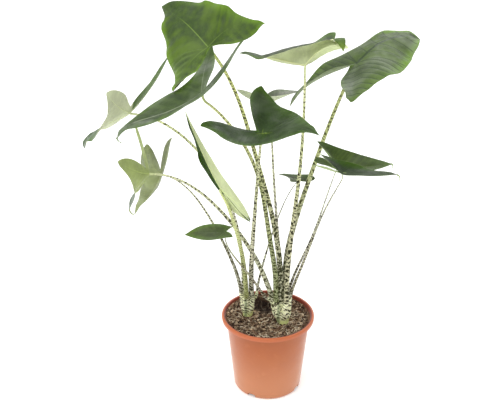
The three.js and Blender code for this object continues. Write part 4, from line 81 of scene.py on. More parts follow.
        -2401,-1569,6283,-2588,-1590,6048,-2569,-1526,6155,-2504,-1431,6202,-2436,-1334,6238,-2364,-1236,6269,-2292,-1139,6301,-2218,-1042,6334,-2141,-950,6370,-2059,-862,6407,-1969,-784,6446,-1873,-714,6489,-1771,-654,6535,-1663,-602,6579,-1559,-563,6641,-1462,-523,6715,-1373,-490,6801,-1293,-446,6892,-1224,-406,6992,-1163,-370,7100,-1107,-343,7212,-1035,-330,7320,-1018,-382,7308,-1005,-434,7275,-993,-489,7235,-981,-547,7191,-972,-608,7140,-977,-677,7090,-990,-750,7039,-1016,-824,6985,-1051,-894,6923,
        -1089,-958,6847,-1118,-1012,6771,-1011,-1003,6884,-922,-1009,6985,-846,-1029,7085,-786,-1058,7186,-734,-1093,7282,-687,-1130,7371,-643,-1170,7452,-600,-1212,7524,-561,-1257,7588,-513,-1298,7638,-476,-1355,7660,-554,-1430,7569,-627,-1492,7460,-695,-1544,7346,-769,-1588,7232,-851,-1629,7122,-942,-1660,7017,-1042,-1702,6924,-1150,-1732,6836,-1269,-1764,6764,-1395,-1783,6699,-1515,-1798,6625,-1635,-1801,6549,-1759,-1792,6481,-1887,-1772,6423,-2014,-1746,6366,-2143,-1716,6317,-2274,-1685,6274,-2406,-1652,6239,
        -2506,-1611,6156,
    ],
    "far_left": [
        -2692,700,5734,-2824,779,5645,-2811,779,5651,-2798,779,5658,-2785,779,5664,-2772,780,5670,-2758,780,5676,-2745,781,5682,-2733,781,5689,-2720,781,5696,-2708,780,5704,-2696,779,5712,-2685,777,5722,-2675,776,5732,-2665,774,5742,-2656,773,5753,-2647,772,5765,-2638,771,5776,-2630,770,5788,-2622,768,5800,-2614,765,5812,-2607,761,5824,-2610,754,5824,-2615,747,5820,-2621,740,5816,-2628,734,5811,-2635,727,5806,-2643,720,5799,-2651,714,5792,-2660,708,5783,-2670,703,5774,
        -2679,700,5762,-2688,697,5748,-2690,691,5758,-2692,683,5767,-2695,675,5776,-2698,667,5783,-2701,658,5788,-2704,650,5793,-2707,643,5798,-2710,635,5801,-2713,629,5803,-2716,622,5805,-2720,617,5803,-2722,620,5791,-2724,626,5779,-2726,631,5768,-2729,637,5757,-2732,644,5746,-2737,650,5735,-2743,656,5726,-2750,663,5717,-2758,670,5710,-2765,678,5703,-2772,687,5696,-2779,696,5690,-2785,706,5684,-2791,717,5679,-2796,727,5673,-2802,738,5668,-2807,748,5662,-2813,759,5657,
        -2818,769,5651,-2983,874,5539,-2954,873,5553,-2925,873,5566,-2896,874,5579,-2867,875,5592,-2838,876,5605,-2809,877,5619,-2781,878,5633,-2753,878,5649,-2726,875,5666,-2701,873,5685,-2677,869,5706,-2654,866,5728,-2632,863,5751,-2612,861,5776,-2592,859,5801,-2573,857,5826,-2554,853,5852,-2537,849,5879,-2519,844,5905,-2504,834,5931,-2511,818,5930,-2522,803,5923,-2535,788,5914,-2549,773,5903,-2565,759,5890,-2582,744,5876,-2601,730,5860,-2621,717,5842,-2642,706,5820,
        -2663,698,5795,-2684,694,5764,-2688,680,5785,-2692,663,5807,-2698,645,5826,-2704,627,5841,-2711,609,5853,-2718,591,5864,-2724,575,5874,-2731,558,5881,-2738,543,5886,-2745,529,5889,-2753,517,5886,-2759,525,5859,-2763,536,5833,-2767,549,5808,-2772,561,5782,-2780,575,5758,-2789,589,5735,-2804,603,5715,-2819,618,5696,-2836,634,5679,-2853,652,5664,-2869,671,5650,-2884,692,5637,-2897,714,5625,-2910,737,5613,-2922,760,5601,-2934,783,5589,-2945,806,5577,-2957,829,5565,
        -2970,852,5552,-3169,984,5416,-3122,983,5439,-3075,983,5461,-3027,985,5482,-2979,986,5502,-2931,988,5523,-2883,989,5544,-2836,990,5567,-2790,990,5591,-2747,987,5620,-2706,982,5652,-2667,977,5687,-2630,972,5724,-2596,967,5763,-2562,963,5803,-2530,961,5844,-2498,957,5886,-2468,951,5928,-2439,944,5971,-2411,935,6015,-2386,919,6057,-2397,893,6056,-2415,868,6044,-2435,844,6029,-2458,819,6010,-2483,795,5990,-2511,771,5966,-2542,748,5939,-2575,727,5909,-2609,709,5875,
        -2644,697,5834,-2679,691,5783,-2687,668,5818,-2694,641,5854,-2702,612,5884,-2712,582,5909,-2723,552,5930,-2733,523,5948,-2744,496,5963,-2756,469,5974,-2767,444,5982,-2779,421,5988,-2791,401,5982,-2800,413,5938,-2807,432,5895,-2814,451,5852,-2822,472,5811,-2833,494,5771,-2850,517,5734,-2872,539,5699,-2899,565,5670,-2926,591,5643,-2955,621,5620,-2981,652,5597,-3006,686,5576,-3028,723,5557,-3049,760,5537,-3069,798,5518,-3088,836,5498,-3108,874,5479,-3127,912,5458,
        -3148,948,5438,-3353,1094,5290,-3290,1093,5325,-3224,1093,5355,-3158,1095,5384,-3090,1097,5411,-3023,1098,5438,-2956,1100,5467,-2891,1102,5497,-2827,1101,5532,-2766,1097,5572,-2711,1091,5618,-2660,1085,5669,-2612,1079,5724,-2564,1073,5778,-2517,1067,5834,-2472,1064,5890,-2428,1058,5948,-2386,1050,6007,-2346,1040,6067,-2307,1028,6128,-2273,1006,6187,-2286,968,6184,-2310,934,6167,-2337,899,6145,-2368,865,6119,-2402,831,6089,-2441,798,6056,-2482,765,6019,-2528,736,5977,-2577,712,5929,
        -2625,696,5873,-2675,687,5802,-2687,656,5851,-2695,620,5902,-2706,579,5943,-2719,537,5978,-2733,496,6007,-2747,456,6032,-2762,417,6053,-2779,380,6068,-2795,345,6079,-2811,312,6085,-2829,285,6077,-2841,301,6015,-2851,326,5955,-2860,353,5896,-2871,382,5838,-2887,413,5783,-2909,444,5730,-2941,476,5683,-2977,510,5641,-3016,548,5606,-3055,589,5573,-3092,633,5542,-3127,680,5513,-3158,730,5485,-3186,782,5458,-3214,835,5431,-3241,888,5404,-3268,940,5377,-3295,993,5349,
        -3324,1043,5320,-3531,1201,5154,-3451,1201,5200,-3370,1202,5245,-3285,1204,5281,-3199,1206,5315,-3113,1208,5350,-3027,1210,5386,-2944,1213,5426,-2863,1212,5472,-2787,1208,5525,-2719,1201,5587,-2659,1194,5658,-2599,1187,5729,-2539,1179,5799,-2479,1172,5869,-2420,1168,5942,-2364,1161,6015,-2312,1151,6092,-2260,1138,6168,-2212,1122,6247,-2168,1094,6323,-2185,1046,6319,-2212,1000,6294,-2245,956,6266,-2281,910,6230,-2324,867,6191,-2371,824,6147,-2424,782,6099,-2481,744,6044,-2543,714,5983,
        -2607,694,5912,-2670,684,5821,-2686,645,5884,-2696,600,5949,-2708,547,6003,-2724,493,6047,-2742,440,6084,-2760,388,6117,-2781,338,6142,-2802,290,6162,-2824,245,6174,-2845,202,6181,-2866,167,6169,-2878,185,6088,-2890,217,6011,-2903,253,5936,-2918,290,5863,-2939,331,5793,-2969,372,5727,-3009,412,5666,-3055,456,5613,-3104,504,5565,-3152,555,5519,-3199,611,5479,-3240,670,5438,-3280,734,5402,-3317,801,5368,-3354,869,5335,-3389,937,5301,-3424,1005,5267,-3458,1072,5231,
        -3495,1137,5194,-3665,1300,4995,-3605,1301,5089,-3507,1304,5143,-3406,1308,5191,-3302,1310,5232,-3196,1309,5267,-3094,1313,5311,-2995,1316,5362,-2900,1317,5422,-2807,1311,5483,-2730,1304,5563,-2664,1296,5653,-2596,1287,5741,-2522,1277,5824,-2448,1269,5907,-2377,1265,5992,-2312,1257,6083,-2249,1245,6174,-2191,1230,6269,-2133,1212,6363,-2082,1179,6455,-2100,1120,6449,-2132,1065,6419,-2166,1009,6381,-2208,955,6338,-2252,900,6287,-2308,848,6233,-2368,797,6172,-2437,752,6107,-2513,716,6033,
        -2589,693,5948,-2666,681,5839,-2686,635,5915,-2697,580,5993,-2710,517,6059,-2728,452,6112,-2749,388,6157,-2774,325,6194,-2799,265,6225,-2826,206,6246,-2852,151,6260,-2877,98,6266,-2901,55,6251,-2913,77,6155,-2921,113,6061,-2937,156,5971,-2958,203,5885,-2986,253,5802,-3025,304,5725,-3074,353,5651,-3127,405,5584,-3180,460,5518,-3235,522,5461,-3283,587,5402,-3332,659,5351,-3380,737,5307,-3425,817,5266,-3467,899,5225,-3510,981,5184,-3546,1062,5137,-3585,1143,5092,
        -3624,1222,5044,-3764,1395,4835,-3699,1396,4944,-3631,1401,5052,-3515,1405,5105,-3396,1407,5155,-3273,1405,5193,-3153,1407,5240,-3040,1412,5302,-2938,1415,5380,-2830,1408,5450,-2743,1400,5545,-2675,1390,5654,-2598,1379,5756,-2511,1369,5850,-2423,1359,5943,-2342,1355,6043,-2268,1345,6148,-2202,1333,6257,-2135,1316,6366,-2070,1296,6475,-2009,1258,6579,-2031,1190,6573,-2065,1127,6538,-2104,1062,6494,-2146,997,6440,-2196,934,6380,-2249,870,6311,-2318,811,6242,-2396,759,6164,-2484,718,6079,
        -2574,692,5981,-2662,677,5855,-2686,625,5943,-2698,562,6034,-2710,490,6110,-2730,414,6172,-2759,339,6223,-2787,267,6266,-2820,196,6298,-2852,128,6322,-2881,62,6336,-2910,2,6343,-2937,-49,6327,-2938,-26,6214,-2948,17,6106,-2962,64,6001,-2987,119,5901,-3029,181,5810,-3076,241,5722,-3132,298,5636,-3189,356,5552,-3248,420,5473,-3296,489,5391,-3353,565,5322,-3404,650,5260,-3461,739,5211,-3519,831,5167,-3569,926,5120,-3601,1020,5059,-3643,1114,5004,-3680,1209,4948,
        -3728,1299,4892,-3788,1505,4679,-3812,1474,4822,-3734,1481,4945,-3617,1495,5031,-3484,1498,5090,-3341,1488,5117,-3208,1492,5174,-3085,1501,5252,-2975,1505,5346,-2850,1497,5418,-2756,1487,5529,-2688,1475,5656,-2600,1463,5770,-2502,1452,5875,-2403,1442,5979,-2312,1437,6091,-2237,1427,6213,-2164,1413,6336,-2090,1396,6457,-2016,1374,6578,-1953,1332,6694,-1968,1254,6687,-2007,1183,6648,-2051,1112,6598,-2097,1038,6538,-2146,965,6467,-2205,894,6389,-2272,823,6304,-2359,765,6217,-2458,720,6121,
        -2559,691,6011,-2659,675,5870,-2686,616,5969,-2697,546,6071,-2710,465,6157,-2734,380,6227,-2766,295,6284,-2804,213,6329,-2841,133,6365,-2876,54,6389,-2909,-20,6405,-2936,-92,6407,-2967,-149,6389,-2965,-123,6265,-2973,-72,6148,-2989,-19,6029,-3012,41,5914,-3063,112,5814,-3121,183,5718,-3184,246,5620,-3246,312,5522,-3299,381,5420,-3349,459,5325,-3407,547,5243,-3464,643,5171,-3544,742,5132,-3610,845,5082,-3634,950,5004,-3667,1057,4933,-3693,1169,4866,-3728,1279,4802,
        -3752,1395,4742,
    ],
    "mid_left_front": [
        -2227,-500,4962,-2289,-470,4865,-2283,-468,4873,-2278,-466,4880,-2272,-463,4888,-2266,-461,4895,-2260,-458,4902,-2255,-456,4909,-2250,-453,4917,-2245,-451,4925,-2241,-449,4933,-2237,-448,4942,-2235,-446,4951,-2234,-445,4960,-2234,-445,4970,-2235,-444,4979,-2236,-443,4989,-2238,-443,4998,-2240,-442,5007,-2242,-442,5017,-2244,-441,5026,-2246,-442,5035,-2246,-448,5034,-2245,-453,5032,-2244,-459,5028,-2243,-464,5024,-2242,-470,5019,-2240,-476,5013,-2239,-482,5006,-2237,-488,4999,-2235,-493,4991,
        -2233,-497,4981,-2230,-500,4971,-2235,-504,4978,-2240,-509,4984,-2245,-514,4990,-2249,-519,4994,-2253,-525,4998,-2257,-530,5001,-2261,-536,5004,-2264,-541,5006,-2267,-546,5008,-2269,-550,5009,-2271,-555,5007,-2268,-554,4999,-2265,-552,4991,-2261,-549,4983,-2259,-547,4975,-2257,-544,4967,-2255,-541,4959,-2256,-539,4950,-2257,-536,4942,-2258,-532,4934,-2260,-528,4926,-2263,-523,4919,-2266,-518,4913,-2268,-512,4906,-2271,-506,4900,-2274,-500,4895,-2277,-494,4889,-2280,-488,4883,-2283,-481,4877,
        -2286,-475,4871,-2365,-433,4750,-2353,-429,4767,-2340,-424,4783,-2327,-419,4799,-2314,-414,4815,-2301,-409,4831,-2289,-403,4847,-2277,-397,4863,-2266,-392,4880,-2257,-388,4898,-2250,-385,4918,-2245,-382,4938,-2243,-380,4959,-2243,-379,4980,-2245,-378,5000,-2248,-376,5021,-2252,-375,5042,-2256,-374,5062,-2261,-373,5083,-2266,-372,5103,-2271,-375,5123,-2271,-387,5122,-2269,-399,5116,-2267,-411,5108,-2264,-424,5098,-2261,-437,5087,-2258,-449,5074,-2254,-462,5060,-2251,-475,5044,-2246,-486,5026,
        -2241,-495,5005,-2235,-501,4982,-2245,-510,4997,-2257,-519,5011,-2267,-530,5023,-2277,-542,5033,-2286,-554,5042,-2294,-566,5049,-2301,-577,5055,-2308,-588,5060,-2315,-599,5063,-2320,-610,5065,-2324,-619,5062,-2317,-617,5044,-2310,-613,5027,-2303,-608,5009,-2297,-604,4991,-2293,-598,4973,-2289,-592,4954,-2291,-586,4936,-2292,-579,4917,-2296,-571,4900,-2301,-561,4884,-2307,-551,4869,-2313,-539,4854,-2319,-526,4840,-2325,-513,4827,-2331,-500,4814,-2338,-486,4802,-2345,-473,4789,-2351,-459,4776,
        -2358,-446,4764,-2456,-390,4618,-2435,-383,4645,-2415,-376,4671,-2393,-367,4697,-2372,-359,4723,-2350,-350,4748,-2329,-341,4774,-2309,-332,4800,-2289,-324,4828,-2274,-317,4858,-2261,-311,4889,-2255,-306,4922,-2252,-303,4956,-2254,-301,4991,-2258,-300,5025,-2264,-298,5058,-2270,-295,5092,-2278,-294,5126,-2286,-293,5159,-2295,-293,5192,-2303,-297,5225,-2302,-317,5224,-2299,-336,5213,-2295,-357,5201,-2290,-377,5185,-2285,-398,5167,-2279,-419,5146,-2273,-441,5123,-2267,-461,5097,-2259,-479,5067,
        -2250,-492,5033,-2240,-502,4994,-2258,-513,5019,-2277,-529,5043,-2294,-547,5063,-2310,-566,5079,-2324,-586,5093,-2337,-605,5105,-2350,-624,5115,-2361,-643,5122,-2372,-661,5128,-2381,-678,5131,-2387,-693,5126,-2375,-691,5097,-2363,-685,5068,-2352,-678,5039,-2342,-669,5009,-2334,-661,4980,-2329,-651,4949,-2329,-643,4918,-2333,-630,4889,-2340,-617,4861,-2349,-601,4834,-2358,-583,4809,-2369,-564,4786,-2379,-543,4764,-2390,-522,4743,-2400,-500,4722,-2411,-477,4701,-2422,-455,4681,-2433,-433,4660,
        -2444,-412,4639,-2543,-348,4483,-2518,-338,4523,-2490,-327,4560,-2460,-315,4596,-2430,-303,4631,-2398,-291,4666,-2368,-279,4701,-2338,-267,4736,-2311,-256,4774,-2287,-246,4814,-2272,-238,4859,-2263,-231,4905,-2263,-226,4953,-2266,-224,5001,-2274,-223,5048,-2282,-219,5095,-2292,-216,5142,-2302,-214,5189,-2313,-213,5235,-2325,-213,5281,-2338,-220,5326,-2336,-247,5325,-2331,-275,5311,-2325,-303,5293,-2318,-332,5272,-2310,-361,5247,-2302,-390,5218,-2293,-419,5186,-2284,-448,5150,-2273,-472,5108,
        -2260,-491,5060,-2245,-502,5006,-2271,-517,5041,-2297,-536,5075,-2321,-562,5102,-2342,-589,5125,-2362,-617,5145,-2381,-644,5161,-2398,-670,5175,-2414,-696,5186,-2428,-721,5194,-2442,-744,5197,-2450,-766,5190,-2435,-764,5149,-2417,-756,5108,-2401,-747,5068,-2386,-736,5027,-2375,-724,4985,-2366,-711,4943,-2368,-699,4901,-2372,-683,4859,-2382,-663,4821,-2394,-641,4784,-2408,-617,4749,-2422,-590,4717,-2437,-562,4686,-2452,-532,4657,-2467,-501,4628,-2482,-470,4599,-2497,-439,4571,-2512,-408,4542,
        -2528,-378,4513,-2622,-304,4345,-2592,-291,4396,-2562,-277,4448,-2524,-261,4494,-2485,-247,4539,-2445,-232,4583,-2404,-217,4626,-2366,-201,4672,-2330,-188,4719,-2301,-175,4772,-2278,-165,4827,-2273,-156,4888,-2276,-150,4949,-2284,-148,5010,-2293,-146,5070,-2304,-142,5130,-2316,-138,5191,-2330,-135,5250,-2344,-134,5310,-2361,-134,5369,-2377,-143,5426,-2376,-178,5424,-2368,-214,5407,-2360,-250,5385,-2349,-286,5358,-2339,-323,5326,-2326,-361,5290,-2314,-399,5249,-2301,-435,5203,-2286,-467,5149,
        -2270,-489,5088,-2250,-503,5018,-2284,-521,5063,-2318,-545,5106,-2348,-576,5143,-2375,-611,5172,-2400,-647,5197,-2424,-681,5219,-2446,-715,5237,-2467,-748,5251,-2486,-780,5259,-2504,-810,5264,-2515,-838,5252,-2493,-837,5200,-2471,-828,5147,-2448,-817,5095,-2429,-803,5043,-2413,-789,4990,-2403,-772,4936,-2403,-758,4881,-2408,-736,4829,-2420,-712,4778,-2435,-684,4731,-2452,-652,4687,-2470,-619,4644,-2489,-582,4604,-2507,-543,4567,-2527,-504,4530,-2547,-464,4494,-2567,-424,4458,-2587,-383,4421,
        -2607,-344,4384,-2662,-260,4205,-2660,-248,4278,-2624,-231,4340,-2589,-211,4403,-2541,-193,4457,-2489,-177,4506,-2439,-159,4557,-2393,-141,4612,-2351,-124,4670,-2312,-110,4731,-2286,-97,4799,-2284,-86,4872,-2294,-81,4944,-2304,-78,5017,-2316,-76,5090,-2328,-70,5163,-2341,-65,5235,-2356,-62,5308,-2374,-60,5379,-2393,-61,5450,-2417,-72,5518,-2417,-115,5515,-2407,-157,5494,-2395,-201,5468,-2382,-245,5436,-2366,-290,5399,-2351,-335,5356,-2334,-380,5308,-2317,-424,5252,-2299,-461,5187,
        -2279,-487,5113,-2255,-504,5029,-2296,-524,5083,-2337,-552,5135,-2373,-589,5179,-2406,-631,5216,-2436,-674,5247,-2464,-715,5274,-2490,-756,5296,-2517,-795,5311,-2541,-833,5321,-2564,-869,5323,-2579,-903,5309,-2552,-902,5245,-2519,-895,5184,-2491,-882,5121,-2466,-868,5058,-2447,-850,4994,-2434,-830,4929,-2432,-813,4862,-2436,-787,4798,-2446,-759,4736,-2464,-725,4678,-2482,-687,4623,-2504,-647,4571,-2525,-601,4523,-2547,-554,4477,-2568,-505,4431,-2591,-457,4387,-2611,-407,4342,-2632,-358,4298,
        -2646,-308,4252,-2664,-212,4073,-2666,-200,4156,-2670,-186,4238,-2631,-164,4310,-2597,-143,4384,-2534,-125,4439,-2468,-108,4491,-2418,-85,4556,-2371,-65,4624,-2327,-48,4696,-2291,-34,4772,-2299,-23,4856,-2314,-18,4940,-2327,-15,5024,-2340,-12,5108,-2351,-4,5192,-2364,2,5276,-2381,6,5360,-2402,8,5442,-2428,6,5524,-2455,-7,5602,-2457,-56,5598,-2447,-105,5573,-2432,-156,5544,-2414,-207,5508,-2395,-259,5466,-2374,-311,5417,-2354,-364,5361,-2331,-413,5297,-2311,-455,5222,
        -2287,-485,5137,-2260,-504,5039,-2307,-528,5102,-2354,-559,5162,-2396,-600,5214,-2433,-648,5257,-2466,-697,5294,-2499,-745,5325,-2533,-791,5349,-2564,-836,5367,-2595,-880,5374,-2623,-922,5377,-2639,-959,5358,-2608,-962,5284,-2569,-954,5214,-2526,-944,5146,-2497,-928,5073,-2473,-909,4997,-2458,-885,4922,-2453,-867,4843,-2450,-837,4767,-2460,-804,4694,-2480,-764,4626,-2502,-720,4561,-2528,-671,4501,-2553,-618,4445,-2576,-562,4391,-2600,-505,4338,-2622,-448,4286,-2646,-390,4234,-2656,-330,4181,
        -2673,-273,4126,-2618,-151,3971,-2684,-164,4040,-2688,-148,4133,-2677,-124,4225,-2641,-100,4311,-2570,-80,4373,-2493,-61,4429,-2442,-34,4506,-2390,-11,4583,-2341,8,4664,-2298,24,4748,-2314,34,4842,-2335,39,4935,-2350,42,5030,-2363,46,5124,-2373,56,5219,-2385,63,5314,-2404,68,5407,-2428,70,5501,-2455,68,5593,-2480,51,5683,-2498,-2,5672,-2486,-58,5645,-2468,-115,5612,-2447,-173,5572,-2423,-231,5526,-2398,-290,5472,-2371,-349,5411,-2346,-404,5339,-2321,-450,5254,
        -2295,-483,5158,-2264,-505,5049,-2318,-531,5119,-2370,-565,5187,-2417,-611,5245,-2457,-664,5296,-2494,-719,5338,-2533,-772,5372,-2571,-824,5399,-2612,-874,5415,-2647,-923,5422,-2681,-970,5420,-2700,-1012,5398,-2666,-1016,5315,-2613,-1008,5243,-2564,-998,5168,-2521,-984,5088,-2493,-965,5003,-2475,-937,4916,-2465,-917,4825,-2457,-884,4738,-2463,-846,4653,-2488,-799,4576,-2517,-749,4503,-2546,-693,4436,-2574,-633,4372,-2599,-569,4311,-2623,-503,4251,-2646,-438,4192,-2648,-367,4132,-2655,-297,4073,
        -2631,-221,4027,
    ],
    "mid_left_rear": [
        -2142,620,4483,-2195,650,4357,-2189,651,4364,-2182,653,4372,-2176,655,4380,-2169,658,4387,-2163,660,4395,-2158,663,4403,-2152,666,4412,-2148,668,4420,-2143,670,4430,-2140,671,4439,-2136,672,4449,-2134,672,4459,-2132,672,4469,-2130,671,4479,-2129,670,4489,-2128,671,4499,-2127,672,4509,-2126,673,4520,-2125,675,4530,-2124,675,4540,-2126,671,4540,-2127,666,4538,-2129,661,4536,-2131,656,4533,-2132,650,4529,-2134,645,4525,-2136,639,4520,-2138,634,4515,-2139,628,4508,
        -2141,624,4500,-2142,620,4492,-2144,617,4502,-2145,613,4510,-2147,609,4518,-2149,604,4525,-2151,599,4531,-2153,595,4536,-2155,590,4541,-2157,586,4546,-2159,582,4550,-2161,578,4553,-2164,574,4555,-2167,574,4545,-2170,576,4534,-2173,578,4524,-2176,580,4514,-2179,582,4503,-2183,584,4493,-2187,586,4483,-2191,589,4473,-2194,592,4463,-2196,596,4453,-2198,600,4443,-2199,605,4433,-2199,610,4423,-2198,615,4413,-2197,621,4404,-2197,627,4394,-2196,633,4385,-2195,638,4376,
        -2195,644,4366,-2263,688,4207,-2248,691,4224,-2234,694,4241,-2219,699,4257,-2205,705,4274,-2192,710,4291,-2179,717,4309,-2168,723,4328,-2157,728,4347,-2148,732,4367,-2140,735,4388,-2132,736,4410,-2126,736,4432,-2121,734,4453,-2117,733,4476,-2114,730,4498,-2111,731,4520,-2109,733,4542,-2106,737,4564,-2104,740,4586,-2104,741,4608,-2107,731,4609,-2110,720,4606,-2114,709,4600,-2117,698,4594,-2121,686,4586,-2125,674,4576,-2129,661,4566,-2132,649,4553,-2136,638,4539,
        -2139,628,4522,-2142,620,4504,-2145,613,4525,-2148,605,4543,-2152,595,4560,-2157,585,4575,-2161,575,4588,-2165,565,4601,-2170,555,4612,-2175,545,4622,-2179,536,4630,-2184,528,4638,-2189,519,4641,-2197,521,4619,-2203,525,4596,-2210,529,4574,-2217,534,4551,-2224,539,4529,-2233,544,4507,-2243,549,4485,-2251,555,4463,-2258,562,4441,-2264,570,4419,-2268,580,4397,-2270,590,4375,-2270,602,4353,-2269,613,4332,-2267,625,4311,-2266,638,4290,-2264,650,4269,-2263,663,4249,
        -2263,676,4228,-2355,740,4041,-2330,745,4068,-2306,750,4095,-2282,758,4122,-2258,766,4149,-2236,775,4177,-2215,785,4205,-2195,794,4236,-2177,802,4267,-2161,808,4300,-2147,812,4333,-2134,813,4368,-2123,812,4403,-2114,809,4438,-2105,805,4474,-2099,801,4510,-2094,802,4546,-2089,805,4582,-2085,811,4618,-2082,816,4654,-2080,816,4690,-2086,800,4691,-2091,783,4685,-2097,765,4676,-2103,746,4665,-2109,726,4652,-2115,707,4637,-2121,686,4619,-2127,667,4599,-2133,648,4575,
        -2138,633,4547,-2142,620,4517,-2147,609,4551,-2152,596,4582,-2159,581,4610,-2166,564,4634,-2173,547,4656,-2180,531,4676,-2187,515,4694,-2195,499,4710,-2202,485,4725,-2210,471,4737,-2219,457,4743,-2234,462,4708,-2245,470,4672,-2256,479,4636,-2268,488,4600,-2282,498,4564,-2298,508,4530,-2314,518,4495,-2329,530,4461,-2341,542,4425,-2351,557,4390,-2358,573,4354,-2362,589,4318,-2363,607,4282,-2361,624,4247,-2359,643,4212,-2357,662,4177,-2354,681,4143,-2352,701,4109,
        -2352,720,4075,-2457,806,3885,-2420,806,3919,-2386,812,3956,-2351,821,3992,-2318,832,4029,-2285,843,4067,-2256,856,4106,-2226,867,4146,-2201,878,4189,-2178,885,4234,-2158,889,4280,-2140,891,4328,-2124,889,4376,-2108,884,4424,-2096,878,4473,-2085,871,4522,-2077,873,4572,-2069,877,4622,-2064,884,4671,-2059,891,4721,-2057,892,4771,-2066,869,4773,-2074,845,4764,-2082,820,4752,-2090,794,4737,-2097,767,4719,-2106,740,4697,-2114,712,4673,-2122,684,4645,-2130,658,4611,
        -2136,637,4572,-2142,620,4529,-2148,606,4578,-2156,589,4621,-2165,568,4659,-2175,545,4693,-2185,521,4724,-2194,498,4752,-2204,476,4777,-2214,455,4800,-2224,434,4820,-2235,416,4838,-2248,398,4846,-2271,408,4800,-2290,424,4752,-2307,440,4703,-2325,458,4655,-2344,477,4608,-2367,495,4562,-2389,517,4517,-2410,537,4471,-2425,561,4425,-2440,582,4376,-2449,605,4327,-2455,626,4277,-2458,646,4227,-2457,667,4177,-2456,687,4127,-2453,710,4078,-2451,731,4028,-2449,756,3980,
        -2453,780,3932,-2568,875,3736,-2521,875,3779,-2474,877,3823,-2429,889,3869,-2383,900,3914,-2341,914,3961,-2299,927,4008,-2261,941,4059,-2226,953,4112,-2197,962,4169,-2171,967,4228,-2148,968,4288,-2127,966,4349,-2108,959,4411,-2089,951,4472,-2074,942,4534,-2061,944,4598,-2051,950,4661,-2043,958,4725,-2037,966,4789,-2034,967,4852,-2046,939,4855,-2058,908,4844,-2068,876,4829,-2078,843,4809,-2088,808,4785,-2097,773,4758,-2107,737,4727,-2117,701,4690,-2127,668,4647,
        -2135,642,4597,-2142,620,4542,-2150,603,4605,-2161,582,4660,-2172,555,4709,-2184,525,4753,-2196,495,4792,-2208,466,4828,-2219,439,4861,-2231,411,4891,-2244,387,4917,-2257,363,4940,-2280,346,4953,-2312,370,4898,-2336,394,4838,-2359,422,4778,-2381,450,4718,-2404,480,4660,-2428,514,4604,-2454,548,4549,-2469,587,4494,-2488,620,4436,-2497,655,4377,-2511,683,4315,-2521,708,4252,-2529,729,4187,-2538,746,4121,-2540,766,4054,-2544,783,3988,-2544,805,3923,-2548,825,3858,
        -2553,851,3796,-2665,960,3601,-2616,939,3653,-2560,942,3706,-2503,952,3757,-2448,966,3811,-2395,979,3865,-2344,996,3921,-2293,1010,3978,-2251,1024,4041,-2214,1034,4108,-2185,1040,4180,-2160,1041,4253,-2136,1038,4326,-2109,1029,4399,-2087,1020,4472,-2066,1009,4546,-2049,1010,4622,-2036,1017,4698,-2027,1028,4774,-2020,1038,4851,-2007,1035,4926,-2025,1003,4930,-2040,966,4917,-2055,928,4899,-2068,888,4876,-2079,846,4848,-2091,804,4814,-2101,760,4777,-2113,717,4733,-2124,678,4681,
        -2134,646,4620,-2142,621,4554,-2152,600,4629,-2165,575,4696,-2179,543,4755,-2192,509,4809,-2206,472,4856,-2217,438,4900,-2230,405,4940,-2242,375,4977,-2257,345,5010,-2277,325,5041,-2305,306,5057,-2346,341,4992,-2377,380,4922,-2403,418,4851,-2426,460,4782,-2449,503,4713,-2473,548,4647,-2487,602,4584,-2501,651,4518,-2499,698,4450,-2509,740,4379,-2516,775,4304,-2533,806,4230,-2557,829,4153,-2575,848,4074,-2593,864,3994,-2603,882,3913,-2616,896,3832,-2624,915,3752,
        -2646,933,3675,-2741,1042,3473,-2688,1018,3533,-2641,1006,3602,-2576,1017,3660,-2510,1027,3717,-2449,1043,3780,-2389,1059,3843,-2331,1076,3909,-2274,1089,3976,-2233,1101,4054,-2199,1107,4136,-2172,1108,4221,-2146,1104,4306,-2116,1094,4389,-2087,1083,4473,-2062,1070,4558,-2041,1072,4645,-2024,1080,4732,-2012,1092,4820,-1993,1100,4907,-1975,1096,4993,-1997,1059,4998,-2022,1020,4985,-2040,976,4964,-2059,930,4938,-2073,882,4905,-2086,832,4867,-2098,781,4823,-2109,731,4772,-2121,686,4712,
        -2133,650,4641,-2143,621,4566,-2154,598,4652,-2169,568,4729,-2185,533,4798,-2200,493,4860,-2211,453,4916,-2224,413,4967,-2233,376,5015,-2247,341,5057,-2266,315,5099,-2288,292,5135,-2327,288,5156,-2376,328,5082,-2410,374,5002,-2438,424,4922,-2462,475,4842,-2482,531,4764,-2501,591,4689,-2508,656,4618,-2499,717,4542,-2494,772,4462,-2484,816,4375,-2493,857,4288,-2524,894,4203,-2556,922,4116,-2594,944,4028,-2620,963,3936,-2640,978,3842,-2659,994,3748,-2696,1002,3658,
        -2726,1020,3567,-2778,1149,3363,-2753,1070,3409,-2701,1059,3491,-2650,1075,3575,-2575,1087,3640,-2500,1102,3703,-2433,1120,3775,-2367,1137,3846,-2304,1151,3922,-2252,1163,4006,-2216,1169,4098,-2186,1170,4193,-2158,1165,4289,-2122,1154,4381,-2090,1141,4475,-2060,1127,4569,-2034,1129,4666,-2014,1138,4763,-1995,1150,4862,-1972,1159,4960,-1938,1148,5053,-1965,1109,5059,-1995,1065,5045,-2026,1020,5024,-2047,968,4994,-2068,914,4957,-2082,858,4914,-2094,800,4866,-2106,744,4808,-2119,694,4740,
        -2132,654,4661,-2143,621,4576,-2156,595,4673,-2173,563,4760,-2191,524,4837,-2204,481,4908,-2216,435,4971,-2224,391,5029,-2234,349,5082,-2250,318,5135,-2271,289,5181,-2300,282,5227,-2343,277,5249,-2399,323,5168,-2439,371,5076,-2469,429,4987,-2492,492,4898,-2510,559,4812,-2524,630,4728,-2514,708,4649,-2495,777,4563,-2470,835,4470,-2454,883,4371,-2463,928,4268,-2503,970,4172,-2559,1008,4083,-2606,1032,3985,-2632,1052,3880,-2654,1070,3773,-2697,1085,3672,-2741,1095,3572,
        -2763,1121,3469,
    ],
    "front_centre": [
